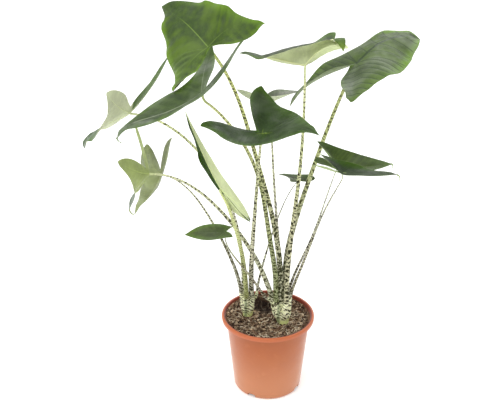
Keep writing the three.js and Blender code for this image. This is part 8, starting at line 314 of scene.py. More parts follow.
# The margin of each blade laid flat, in tenths of a millimetre: x towards the tip, y to the right.
FLATS = {
    "crest": [
        2014,0,1889,59,1764,118,1642,183,1520,249,1399,316,1279,385,1158,452,1036,516,910,575,781,625,650,669,517,706,381,731,244,753,107,767,-25,809,-152,865,-274,929,-397,993,-524,1041,-560,978,-567,898,-566,810,-556,715,-536,615,-507,510,-468,401,-415,291,-344,183,-248,86,
        -140,0,-275,-81,-386,-174,-475,-279,-547,-387,-605,-496,-654,-601,-692,-702,-721,-798,-740,-890,-750,-976,-727,-1049,-584,-1022,-443,-976,-302,-928,-161,-884,-17,-847,129,-824,276,-807,422,-778,565,-740,705,-693,843,-637,977,-575,1108,-505,1236,-431,1364,-356,1492,-281,1621,-207,1750,-133,1881,-66,
    ],
    "upper_left": [
        1679,0,1569,57,1459,116,1352,179,1245,242,1138,303,1030,365,919,422,806,473,690,515,569,546,447,568,324,583,200,589,76,598,-47,605,-169,629,-291,655,-412,683,-534,706,-656,712,-661,655,-641,595,-614,531,-581,465,-540,396,-492,326,-438,253,-374,181,-299,113,-211,53,
        -128,0,-272,-60,-389,-127,-491,-205,-580,-287,-659,-371,-729,-453,-791,-533,-843,-611,-888,-686,-923,-758,-930,-829,-793,-840,-654,-832,-515,-818,-377,-798,-240,-774,-104,-743,33,-721,170,-692,306,-664,441,-630,575,-590,706,-543,833,-485,956,-419,1077,-350,1197,-279,1316,-208,1435,-135,1556,-66,
    ],
    "far_left": [
        1773,0,1643,67,1516,137,1390,210,1264,283,1138,356,1011,428,883,498,752,560,617,614,479,661,340,706,201,749,62,791,-77,833,-215,880,-355,921,-496,958,-638,990,-781,1016,-924,1022,-932,942,-906,855,-869,764,-822,668,-765,570,-698,468,-621,364,-532,260,-425,162,-300,76,
        -143,0,-241,-68,-339,-145,-420,-232,-486,-323,-540,-414,-587,-502,-625,-587,-654,-669,-675,-747,-688,-820,-672,-885,-544,-865,-419,-827,-294,-785,-170,-742,-46,-701,81,-668,210,-646,340,-625,469,-602,597,-574,723,-537,846,-491,965,-436,1082,-376,1196,-312,1311,-248,1425,-183,1539,-119,1656,-59,
    ],
    "mid_left_front": [
        1190,0,1104,43,1019,88,936,135,853,183,770,232,687,280,604,329,519,374,433,416,345,455,257,492,167,526,76,556,-15,586,-105,620,-195,652,-286,683,-378,712,-470,738,-564,751,-578,696,-567,634,-550,568,-525,499,-494,426,-455,351,-409,274,-354,197,-286,123,-203,58,
        -101,0,-178,-54,-249,-115,-306,-183,-352,-254,-388,-325,-418,-394,-442,-460,-459,-523,-470,-582,-475,-638,-459,-685,-373,-667,-288,-637,-204,-604,-121,-572,-37,-540,47,-508,135,-489,221,-464,307,-439,392,-410,476,-377,558,-342,638,-301,717,-257,795,-212,873,-168,951,-124,1029,-80,1109,-39,
    ],
    "mid_left_rear": [
        1404,0,1313,46,1223,92,1135,142,1048,193,960,243,872,294,783,342,692,386,598,424,501,455,403,479,304,497,203,507,102,516,1,521,-98,543,-196,569,-292,600,-390,628,-488,643,-500,596,-490,543,-475,486,-454,427,-426,365,-392,301,-353,235,-305,168,-246,105,-174,49,
        -96,0,-190,-43,-271,-92,-341,-149,-402,-209,-455,-269,-502,-328,-543,-386,-578,-441,-607,-495,-630,-547,-632,-597,-526,-602,-418,-592,-310,-579,-202,-566,-94,-555,14,-550,122,-547,231,-538,338,-522,444,-498,547,-467,649,-427,746,-380,842,-328,935,-273,1028,-217,1121,-161,1214,-104,1308,-51,
    ],
    "front_centre": [
        1197,0,1102,49,1009,104,918,160,827,217,738,277,653,342,570,410,487,478,404,545,316,606,220,654,119,692,14,710,-91,732,-197,750,-303,767,-409,783,-515,799,-621,813,-726,813,-732,749,-711,681,-682,608,-646,533,-601,454,-549,374,-488,291,-418,208,-334,130,-235,61,
        -130,0,-256,-80,-358,-171,-439,-272,-503,-378,-553,-483,-595,-584,-626,-681,-649,-774,-662,-861,-667,-942,-642,-1010,-539,-991,-438,-957,-337,-922,-236,-887,-135,-852,-35,-816,64,-775,165,-741,260,-693,348,-633,428,-563,503,-486,576,-409,653,-335,735,-266,823,-206,915,-151,1007,-98,1101,-46,
    ],
    "folded": [
        1597,0,1491,61,1385,122,1282,187,1177,250,1071,311,963,368,851,418,736,458,617,485,495,496,373,493,252,476,132,452,11,436,-111,437,-232,451,-354,456,-476,455,-598,443,-714,412,-694,371,-659,334,-618,296,-572,257,-521,218,-465,177,-404,137,-337,97,-263,60,-183,28,
        -95,0,-177,-35,-254,-74,-322,-119,-382,-167,-436,-216,-484,-265,-528,-312,-566,-358,-598,-403,-625,-447,-634,-491,-519,-503,-401,-496,-284,-480,-169,-459,-54,-433,64,-427,180,-441,296,-461,413,-474,531,-474,648,-460,762,-432,873,-392,981,-345,1085,-290,1188,-233,1290,-174,1391,-113,1494,-57,
    ],
    "top_centre": [
        1366,0,1277,41,1189,83,1102,129,1016,175,930,221,844,269,758,315,671,360,582,400,491,436,399,468,305,498,213,529,118,555,30,597,-57,642,-142,690,-227,739,-312,786,-402,821,-432,772,-438,709,-438,640,-431,565,-417,487,-395,404,-365,318,-325,230,-269,145,-195,68,
        -108,0,-210,-41,-302,-87,-384,-141,-457,-198,-522,-256,-581,-313,-633,-369,-680,-424,-720,-477,-753,-528,-766,-581,-656,-601,-542,-606,-428,-606,-314,-603,-200,-598,-87,-588,27,-588,140,-575,253,-559,364,-532,472,-498,579,-458,681,-408,781,-353,879,-295,976,-235,1072,-174,1169,-114,1266,-55,
    ],
    "low_left": [
        838,0,790,23,742,45,696,71,650,96,604,122,558,149,512,175,465,199,417,221,367,239,316,253,264,262,212,266,159,263,107,254,57,238,7,222,-46,225,-94,247,-143,264,-151,248,-152,227,-151,205,-147,181,-141,155,-133,129,-122,101,-108,73,-89,46,-64,21,
        -38,0,-79,-20,-112,-44,-140,-70,-164,-98,-184,-126,-201,-154,-216,-180,-228,-206,-237,-230,-244,-253,-242,-274,-185,-271,-128,-261,-70,-256,-13,-264,42,-283,99,-295,157,-301,215,-298,272,-289,328,-274,383,-255,436,-231,487,-204,537,-175,586,-145,636,-114,685,-84,735,-54,786,-27,
    ],
    "top_right": [
        1877,0,1739,75,1604,155,1471,238,1339,322,1207,407,1075,493,943,577,808,657,669,730,525,794,378,847,225,881,69,901,-88,898,-244,908,-401,915,-558,922,-715,929,-871,933,-1025,916,-1017,838,-977,758,-928,676,-870,590,-802,501,-725,411,-638,318,-540,227,-428,141,-299,66,
        -164,0,-327,-76,-466,-162,-587,-261,-691,-366,-782,-471,-863,-574,-933,-675,-993,-772,-1042,-866,-1080,-956,-1084,-1043,-926,-1054,-765,-1044,-604,-1030,-444,-1015,-284,-998,-124,-979,37,-965,196,-941,351,-896,500,-836,644,-763,783,-681,919,-595,1053,-505,1187,-416,1322,-328,1459,-242,1596,-158,1735,-76,
    ],
    "rear_centre": [
        808,0,735,39,665,81,595,123,524,164,454,207,385,251,314,292,243,332,171,372,98,410,26,448,-49,479,-124,512,-202,538,-282,558,-362,571,-444,580,-526,586,-608,588,-687,576,-680,526,-653,475,-619,423,-578,369,-532,313,-480,256,-422,198,-356,141,-281,88,-197,41,
        -68,0,-61,-21,-84,-45,-101,-71,-113,-98,-123,-125,-129,-151,-134,-175,-136,-198,-136,-219,-134,-239,-124,-254,-80,-233,-38,-207,9,-190,58,-193,107,-202,156,-210,206,-215,256,-215,305,-211,354,-203,402,-190,449,-174,495,-154,540,-132,584,-110,628,-87,673,-64,717,-41,762,-21,
    ],
    "right_upper": [
        987,0,920,34,853,69,788,106,723,144,658,181,592,219,527,255,460,289,390,318,320,344,248,366,175,385,102,402,28,415,-44,436,-116,458,-188,480,-260,503,-332,523,-405,534,-415,495,-407,451,-394,404,-377,354,-354,303,-326,250,-293,195,-253,140,-204,87,-145,41,
        -85,0,-173,-53,-243,-113,-298,-180,-342,-250,-377,-320,-407,-387,-429,-452,-445,-514,-456,-573,-460,-627,-443,-673,-367,-657,-292,-630,-218,-601,-145,-571,-72,-539,0,-506,72,-474,146,-446,219,-413,290,-379,362,-344,432,-308,501,-269,569,-228,638,-188,707,-149,776,-110,845,-71,915,-34,
    ],
    "right_lower": [
        946,0,880,35,814,72,750,110,685,149,620,188,556,226,490,262,422,296,353,324,282,349,209,369,136,385,62,399,-13,406,-87,421,-161,434,-235,448,-309,460,-384,470,-458,469,-459,431,-444,391,-424,349,-400,305,-371,260,-337,213,-299,166,-255,118,-203,74,-143,34,
        -74,0,-139,-36,-196,-77,-245,-123,-286,-172,-321,-221,-351,-269,-377,-315,-398,-360,-414,-402,-425,-443,-421,-480,-349,-476,-277,-462,-205,-445,-134,-429,-62,-412,9,-396,82,-388,154,-374,226,-358,297,-338,366,-314,434,-286,499,-253,563,-217,627,-180,690,-143,753,-106,817,-69,881,-34,
    ],
    "small_rear": [
        607,0,567,20,528,40,489,63,450,85,412,108,374,132,336,155,297,177,257,198,216,216,174,232,132,244,88,252,43,256,-1,259,-45,267,-89,278,-131,292,-174,305,-217,313,-224,291,-221,265,-215,238,-207,209,-195,179,-180,148,-163,115,-142,83,-115,52,-82,24,
        -42,0,-76,-27,-106,-57,-127,-91,-143,-125,-155,-159,-163,-191,-169,-222,-172,-251,-172,-279,-169,-304,-158,-323,-119,-308,-82,-289,-45,-270,-6,-254,34,-243,76,-240,117,-233,158,-225,198,-212,237,-196,275,-179,313,-160,349,-139,385,-118,421,-97,458,-76,495,-56,531,-36,569,-18,
    ],
}
# The stalks, from crown to blade: x, y, z and radius, in hundredths of a millimetre.
STALKS = {
    "crest": [
        2668,-1215,18700,620,2559,-1597,20520,620,2534,-1732,22374,620,2467,-1682,24240,607,2370,-1595,26105,593,2245,-1470,27965,579,2084,-1309,29820,564,1880,-1124,31668,551,1628,-932,33510,537,1329,-744,35346,523,
        981,-569,37174,509,590,-406,38994,496,161,-253,40807,482,-298,-106,42612,469,-780,39,44413,456,-1108,136,45611,447,-1605,283,47406,434,-2104,434,49202,421,-2601,590,50997,408,-3096,749,52792,396,
        -3595,914,54586,383,-4104,1083,56376,371,-4637,1257,58159,359,-5207,1436,59930,347,-5832,1619,61682,336,-6525,1807,63407,324,-7298,1999,65097,313,-8159,2194,66743,303,-9108,2403,68321,293,-10109,2675,69743,284,
        -11217,2927,71133,276,
    ],
    "upper_left": [
        1942,-2299,18700,540,1621,-2419,20416,540,1470,-2609,22151,540,1448,-2779,23892,529,1414,-2901,25641,514,1285,-3038,27386,499,1090,-3192,29124,484,854,-3360,30855,469,598,-3541,32582,454,336,-3734,34307,439,
        77,-3937,36031,424,-173,-4150,37756,410,-414,-4374,39480,396,-652,-4607,41203,381,-898,-4851,42924,367,-1073,-5019,44069,358,-1365,-5279,45780,344,-1709,-5548,47480,330,-2116,-5828,49164,316,-2595,-6116,50827,303,
        -3155,-6414,52464,290,-3797,-6720,54068,276,-4520,-7034,55635,264,-5322,-7358,57163,251,-6194,-7691,58648,239,-7132,-8034,60091,226,-8137,-8389,61486,215,-9221,-8753,62815,204,-10381,-9203,64060,193,-11500,-9846,65268,183,
        -11813,-10466,66659,175,
    ],
    "far_left": [
        -4913,2143,18800,400,-5095,2420,20295,395,-5083,2500,21936,386,-5088,2576,23591,377,-5130,2662,25245,369,-5214,2760,26897,360,-5343,2867,28545,352,-5522,2983,30188,343,-5755,3106,31823,334,-6043,3236,33449,326,
        -6390,3373,35063,318,-6798,3515,36662,309,-7270,3663,38243,301,-7806,3816,39803,293,-8408,3974,41338,285,-8846,4082,42346,279,-9561,4247,43831,271,-10344,4417,45281,264,-11196,4592,46690,256,-12119,4770,48054,248,
        -13114,4953,49365,240,-14182,5141,50617,233,-15323,5333,51802,226,-16538,5529,52908,218,-17829,5730,53925,211,-19194,5935,54839,204,-20629,6145,55636,198,-22131,6357,56299,191,-23667,6560,56786,185,-25204,6740,57056,179,
        -26795,6933,57199,175,
    ],
    "mid_left_front": [
        1428,-1263,18700,540,1249,-1238,20047,540,823,-1199,21328,537,424,-1215,22666,522,-3,-1243,23995,508,-469,-1276,25311,493,-973,-1313,26611,479,-1514,-1360,27897,465,-2087,-1421,29168,450,-2689,-1504,30424,436,
        -3315,-1612,31667,422,-3963,-1746,32895,408,-4633,-1900,34110,395,-5326,-2069,35310,381,-6043,-2243,36494,367,-6535,-2360,37275,359,-7297,-2533,38431,345,-8089,-2700,39568,332,-8914,-2863,40682,319,-9771,-3023,41771,306,
        -10665,-3183,42831,293,-11597,-3344,43857,281,-12572,-3509,44841,269,-13594,-3679,45776,257,-14668,-3855,46648,245,-15799,-4036,47444,233,-16989,-4224,48146,222,-18236,-4416,48733,211,-19495,-4620,49174,201,-20779,-4828,49453,192,
        -22119,-5028,49586,184,
    ],
    "mid_left_rear": [
        -5223,1290,18800,420,-5295,969,19691,420,-5485,863,20642,411,-5620,941,21746,399,-5813,1040,22844,386,-6061,1155,23930,374,-6357,1284,25003,362,-6697,1425,26061,350,-7072,1575,27105,337,-7478,1734,28137,325,
        -7909,1901,29157,313,-8361,2073,30167,302,-8831,2252,31168,290,-9316,2435,32161,278,-9815,2624,33146,267,-10155,2752,33799,259,-10676,2949,34771,248,-11211,3150,35734,237,-11763,3357,36686,225,-12335,3569,37625,215,
        -12931,3786,38548,204,-13556,4009,39450,193,-14217,4239,40325,183,-14921,4475,41163,172,-15676,4717,41954,162,-16488,4965,42682,152,-17364,5217,43331,143,-18287,5458,43874,134,-19250,5682,44295,125,-20261,5898,44592,117,
        -21320,6121,44786,110,
    ],
    "front_centre": [
        -3419,896,18800,560,-3338,763,20068,560,-3371,153,21233,552,-3429,-181,22724,538,-3455,-537,24229,523,-3456,-933,25725,509,-3439,-1360,27212,495,-3407,-1804,28694,481,-3362,-2256,30173,466,-3308,-2709,31652,453,
        -3245,-3161,33130,439,-3175,-3615,34608,425,-3100,-4076,36083,411,-3023,-4550,37554,398,-2944,-5044,39019,384,-2892,-5385,39991,375,-2814,-5916,41442,362,-2737,-6467,42886,349,-2661,-7037,44322,336,-2588,-7625,45752,324,
        -2515,-8229,47175,311,-2444,-8846,48592,299,-2372,-9478,50003,286,-2301,-10123,51407,274,-2227,-10781,52806,263,-2151,-11452,54198,251,-2071,-12136,55584,240,-1984,-12834,56962,230,-1888,-13539,58296,219,-1779,-14251,59580,210,
        -1658,-14978,60893,202,
    ],
    "folded": [
        -4532,499,18800,520,-4417,440,19737,520,-4458,53,20458,520,-4431,-412,21220,514,-4478,-584,22294,506,-4533,-773,23371,497,-4594,-984,24443,489,-4662,-1216,25511,480,-4737,-1466,26574,472,-4821,-1734,27632,463,
        -4915,-2017,28686,455,-5019,-2314,29734,447,-5135,-2623,30778,438,-5262,-2942,31817,430,-5401,-3272,32852,422,-5501,-3497,33539,417,-5661,-3842,34566,409,-5833,-4196,35587,401,-6017,-4559,36604,393,-6212,-4930,37615,386,
        -6418,-5308,38621,378,-6634,-5695,39623,371,-6859,-6089,40619,363,-7092,-6491,41610,356,-7331,-6901,42597,349,-7575,-7317,43580,342,-7823,-7741,44558,336,-8126,-8197,45502,329,-8479,-8683,46415,323,-8826,-9173,47328,317,
        -9112,-9642,48271,313,
    ],
    "top_centre": [
        3271,-2326,18700,540,3549,-2337,20328,540,3608,-2400,22040,540,3602,-2407,23759,529,3627,-2417,25478,515,3687,-2428,27195,500,3778,-2441,28912,486,3895,-2455,30627,472,4032,-2471,32340,458,4185,-2487,34053,444,
        4349,-2505,35764,430,4520,-2523,37474,416,4695,-2542,39184,402,4869,-2562,40894,389,5039,-2583,42605,375,5149,-2597,43745,367,5307,-2619,45457,353,5453,-2642,47170,340,5586,-2665,48884,327,5705,-2689,50598,315,
        5808,-2714,52314,302,5894,-2740,54031,290,5964,-2766,55748,277,6018,-2793,57466,265,6057,-2820,59185,254,6082,-2849,60903,242,6096,-2878,62622,231,6103,-2907,64341,220,6090,-2967,66045,210,6034,-3110,67708,201,
        6005,-3209,69393,193,
    ],
    "low_left": [
        1007,-410,18700,300,745,-527,19423,300,455,-686,20086,300,-133,-780,20375,300,-632,-871,20850,293,-1013,-979,21517,284,-1382,-1102,22190,275,-1744,-1240,22864,266,-2103,-1389,23537,258,-2461,-1549,24209,249,
        -2822,-1717,24877,240,-3186,-1892,25540,231,-3555,-2074,26200,223,-3929,-2263,26855,214,-4307,-2456,27506,206,-4561,-2589,27939,200,-4944,-2791,28584,192,-5327,-2998,29228,184,-5708,-3210,29872,176,-6084,-3426,30517,168,
        -6451,-3646,31166,160,-6805,-3871,31821,152,-7142,-4100,32483,145,-7454,-4333,33155,137,-7737,-4570,33840,130,-7981,-4808,34531,123,-8177,-5046,35222,116,-8319,-5284,35917,109,-8404,-5519,36621,103,-8429,-5752,37337,97,
        -8403,-5982,38069,92,
    ],
    "top_right": [
        3995,-1307,18700,620,4107,-1223,20379,620,3829,-1134,22106,606,3585,-1006,23850,593,3478,-881,25608,579,3490,-770,27370,565,3608,-687,29130,552,3809,-633,30884,539,4082,-603,32629,525,4410,-590,34365,512,
        4785,-584,36092,499,5195,-577,37810,486,5635,-567,39521,473,6095,-551,41227,460,6570,-531,42929,448,6892,-515,44062,439,7382,-489,45759,427,7877,-461,47455,415,8376,-431,49150,402,8881,-400,50843,390,
        9393,-368,52534,378,9915,-335,54221,367,10451,-301,55905,355,11002,-266,57583,344,11573,-230,59255,333,12167,-194,60919,322,12785,-157,62573,312,13432,-118,64217,302,14128,-77,65817,292,14919,-26,67291,283,
        15712,21,68804,276,
    ],
    "rear_centre": [
        2558,253,18700,400,2585,553,20051,400,2545,782,21424,400,2521,958,22807,390,2483,1144,24187,380,2426,1361,25563,370,2354,1606,26933,360,2268,1877,28298,351,2172,2170,29657,341,2068,2482,31011,331,
        1959,2810,32362,321,1847,3154,33708,312,1734,3511,35050,302,1623,3883,36389,293,1514,4266,37725,283,1443,4529,38613,277,1340,4931,39944,268,1243,5345,41272,259,1151,5768,42596,250,1063,6202,43918,241,
        981,6644,45237,232,903,7096,46554,224,827,7556,47867,215,753,8024,49178,207,679,8500,50486,199,601,8984,51791,191,519,9475,53093,183,426,9972,54383,175,299,10467,55487,168,145,10962,56502,162,
        -7,11468,57650,156,
    ],
    "right_upper": [
        3386,490,18700,380,3907,464,19688,380,4390,561,20653,376,4597,386,21841,364,4822,159,23044,352,5086,-97,24234,341,5382,-375,25410,329,5702,-667,26577,318,6037,-968,27738,306,6382,-1276,28894,295,
        6728,-1592,30047,284,7072,-1915,31199,272,7408,-2247,32351,261,7732,-2587,33504,250,8042,-2938,34657,240,8240,-3176,35427,232,8524,-3541,36583,222,8792,-3915,37740,211,9047,-4297,38897,201,9291,-4687,40054,190,
        9525,-5085,41210,180,9754,-5490,42364,170,9978,-5902,43517,160,10200,-6322,44668,150,10421,-6750,45816,141,10643,-7186,46961,132,10866,-7630,48102,123,11090,-8083,49230,114,11311,-8543,50322,106,11534,-9012,51402,98,
        11762,-9492,52504,92,
    ],
    "right_lower": [
        4033,-187,18700,420,4628,-117,19657,415,4855,-430,21004,403,5079,-844,22375,390,5325,-1326,23722,377,5582,-1852,25050,364,5848,-2406,26366,351,6118,-2975,27674,339,6392,-3553,28977,326,6666,-4138,30277,314,
        6937,-4729,31575,302,7202,-5330,32870,289,7460,-5940,34162,277,7709,-6564,35449,265,7951,-7200,36731,253,8108,-7632,37583,246,8340,-8292,38856,234,8571,-8965,40121,222,8804,-9651,41379,211,9045,-10350,42629,200,
        9298,-11062,43868,188,9567,-11786,45097,177,9853,-12523,46315,167,10154,-13274,47521,156,10467,-14038,48715,146,10786,-14817,49898,135,11103,-15614,51069,126,11406,-16431,52230,116,11674,-17276,53337,107,11825,-18150,54410,99,
        11586,-19022,55483,92,
    ],
    "small_rear": [
        -3060,1785,18800,280,-2628,1561,19299,280,-2358,1543,19983,274,-2239,1716,20874,266,-2092,1925,21758,258,-1921,2166,22629,250,-1729,2433,23489,242,-1519,2722,24337,234,-1295,3029,25175,227,-1057,3351,26003,219,
        -810,3688,26823,212,-553,4038,27635,204,-289,4399,28440,197,-19,4770,29237,189,257,5150,30028,182,445,5409,30552,177,732,5805,31332,170,1024,6208,32106,163,1325,6619,32873,156,1633,7037,33633,149,
        1952,7462,34384,142,2283,7894,35126,135,2628,8332,35859,129,2989,8777,36579,122,3370,9227,37285,116,3773,9682,37976,109,4201,10141,38635,103,4654,10600,39250,98,5138,11061,39832,92,5657,11523,40392,87,
        6209,11985,40947,83,
    ],
}

CROWN_OF = {
    "crest": "right", "upper_left": "right", "far_left": "left", "mid_left_front": "right", "mid_left_rear": "left",
    "front_centre": "left", "folded": "left", "top_centre": "right", "low_left": "right", "top_right": "right",
    "rear_centre": "right", "right_upper": "right", "right_lower": "right", "small_rear": "left",
}

SOIL_Z = 154.0
RIM_TOP = 164.5
CROWNS = {
    "left": {
        "top": 187.6,
        "axis": [(136, -41.5, 10.5), (154, -41.5, 11), (175, -41.5, 13), (187.6, -41.8, 13.8)],
        "radius": [(136, 7.5), (145, 9), (154, 9.6), (163, 11.2), (170, 13), (187.6, 15)],
    },
    "right": {
        "top": 186.6,
        "axis": [(136, 30.5, -15), (154, 30.5, -15), (175, 27, -11), (186.6, 26.6, -9.8)],
        "radius": [(136, 9), (145, 11), (154, 11.6), (163, 14.2), (172, 17), (186.6, 20)],
    },
}


# ------------------------------------------------------------------ small helpers
def srgb(r, g, b, a=1.0):
    def one(c):
        c /= 255.0
        return c / 12.92 if c <= 0.04045 else ((c + 0.055) / 1.055) ** 2.4

    return (one(r), one(g), one(b), a)


def smooth(e0, e1, x):
    t = np.clip((np.asarray(x, float) - e0) / (e1 - e0), 0, 1)
    return t * t * (3 - 2 * t)


def catmull(y, xs, xq, closed=False):
    """Cubic interpolation of the rows of y, given at xs, at the places xq."""
    y = np.asarray(y, float)
    xs = np.asarray(xs, float)
    m = np.zeros_like(y)
    h = np.diff(xs)
    d = np.diff(y, axis=0) / h[(slice(None),) + (None,) * (y.ndim - 1)]
    m[1:-1] = (d[:-1] * h[1:][(slice(None),) + (None,) * (y.ndim - 1)] + d[1:] * h[:-1][(slice(None),) + (None,) * (y.ndim - 1)]) / (
        (h[1:] + h[:-1])[(slice(None),) + (None,) * (y.ndim - 1)]
    )
    m[0] = 1.5 * d[0] - 0.5 * m[1] if len(y) > 2 else d[0]
    m[-1] = 1.5 * d[-1] - 0.5 * m[-2] if len(y) > 2 else d[-1]
    i = np.clip(np.searchsorted(xs, xq, side="right") - 1, 0, len(xs) - 2)
    t = (xq - xs[i]) / h[i]
    t = t[(slice(None),) + (None,) * (y.ndim - 1)]
    hh = h[i][(slice(None),) + (None,) * (y.ndim - 1)]
    t2, t3 = t * t, t * t * t
    return (2 * t3 - 3 * t2 + 1) * y[i] + (t3 - 2 * t2 + t) * hh * m[i] + (-2 * t3 + 3 * t2) * y[i + 1] + (t3 - t2) * hh * m[i + 1]


def make(name, verts, faces, mats, slots=None, attrs=None, smooth_faces=True):
    """A mesh object from points in millimetres."""
    me = bpy.data.meshes.new(name)
    me.from_pydata((np.asarray(verts, float) * MM).tolist(), [], [tuple(int(v) for v in f) for f in faces])
    for m in mats:
        me.materials.append(m)
    if slots is not None:
        me.polygons.foreach_set("material_index", np.asarray(slots, np.int32))
    me.polygons.foreach_set("use_smooth", np.full(len(me.polygons), smooth_faces))
    for key, values in (attrs or {}).items():
        values = np.asarray(values, np.float32)
        if values.ndim == 1:
            me.attributes.new(key, "FLOAT", "POINT").data.foreach_set("value", values)
        elif values.shape[1] == 3:
            me.attributes.new(key, "FLOAT_VECTOR", "POINT").data.foreach_set("vector", values.ravel())
        else:
            me.attributes.new(key, "FLOAT_COLOR", "POINT").data.foreach_set("color", values.ravel())
    me.validate()
    me.update()
    ob = bpy.data.objects.new(name, me)
    bpy.context.scene.collection.objects.link(ob)
    return ob


def settle(ob, node):
    ob.name = node + "_look"
    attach(ob, "root")
    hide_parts(node)
    return ob


class Nodes:
    """Shader nodes, one call each."""

    def __init__(self, name):
        self.mat = bpy.data.materials.new(name)
        self.mat.use_nodes = True
        self.tree = self.mat.node_tree
        self.bsdf = self.tree.nodes["Principled BSDF"]

    def new(self, kind):
        return self.tree.nodes.new(kind)

    def link(self, a, b):
        self.tree.links.new(a, b)

    def put(self, socket, value):
        if hasattr(value, "is_output") or isinstance(value, bpy.types.NodeSocket):
            self.link(value, socket)
        else:
            socket.default_value = value

    def attr(self, name, vector=False, color=False):
        n = self.new("ShaderNodeAttribute")
        n.attribute_name = name
        return n.outputs["Color"] if color else n.outputs["Vector"] if vector else n.outputs["Fac"]

    def position(self):
        return self.new("ShaderNodeTexCoord").outputs["Object"]

    def math(self, op, a, b=0.0, c=0.0, clamp=False):
        n = self.new("ShaderNodeMath")
        n.operation = op
        n.use_clamp = clamp
        self.put(n.inputs[0], a)
        self.put(n.inputs[1], b)
        if len(n.inputs) > 2:
            self.put(n.inputs[2], c)
        return n.outputs[0]

    def vmath(self, op, a, b=(0, 0, 0)):
        n = self.new("ShaderNodeVectorMath")
        n.operation = op
        self.put(n.inputs[0], a)
        if op == "SCALE":
            self.put(n.inputs["Scale"], b)
        else:
            self.put(n.inputs[1], b)
        return n.outputs[0]

    def ramp(self, x, lo, hi, a=0.0, b=1.0, soft=True):
        n = self.new("ShaderNodeMapRange")
        n.interpolation_type = "SMOOTHSTEP" if soft else "LINEAR"
        n.clamp = True
        self.put(n.inputs["Value"], x)
        self.put(n.inputs["From Min"], lo)
        self.put(n.inputs["From Max"], hi)
        self.put(n.inputs["To Min"], a)
        self.put(n.inputs["To Max"], b)
        return n.outputs["Result"]

    def noise(self, vector, scale, detail=2.0, rough=0.5, distortion=0.0):
        n = self.new("ShaderNodeTexNoise")
        n.noise_dimensions = "3D"
        self.link(vector, n.inputs["Vector"])
        n.inputs["Scale"].default_value = scale
        n.inputs["Detail"].default_value = detail
        n.inputs["Roughness"].default_value = rough
        n.inputs["Distortion"].default_value = distortion
        return n.outputs["Fac"]

    def voronoi(self, vector, scale, feature="F1"):
        n = self.new("ShaderNodeTexVoronoi")
        n.feature = feature
        self.link(vector, n.inputs["Vector"])
        n.inputs["Scale"].default_value = scale
        return n.outputs["Distance"]

    def mix(self, fac, a, b, mode="MIX"):
        n = self.new("ShaderNodeMix")
        n.data_type = "RGBA"
        n.blend_type = mode
        self.put(n.inputs["Factor"], fac)
        self.put(n.inputs["A"], a)
        self.put(n.inputs["B"], b)
        return n.outputs["Result"]

    def bump(self, height, strength, distance=0.001, normal=None):
        n = self.new("ShaderNodeBump")
        n.inputs["Strength"].default_value = strength
        n.inputs["Distance"].default_value = distance
        self.link(height, n.inputs["Height"])
        if normal is not None:
            self.link(normal, n.inputs["Normal"])
        return n.outputs["Normal"]

    def finish(self, color, rough=0.5, normal=None, **sockets):
        self.put(self.bsdf.inputs["Base Color"], color)
        self.put(self.bsdf.inputs["Roughness"], rough)
        if normal is not None:
            self.link(normal, self.bsdf.inputs["Normal"])
        for key, value in sockets.items():
            self.bsdf.inputs[key.replace("_", " ")].default_value = value
        return self.mat


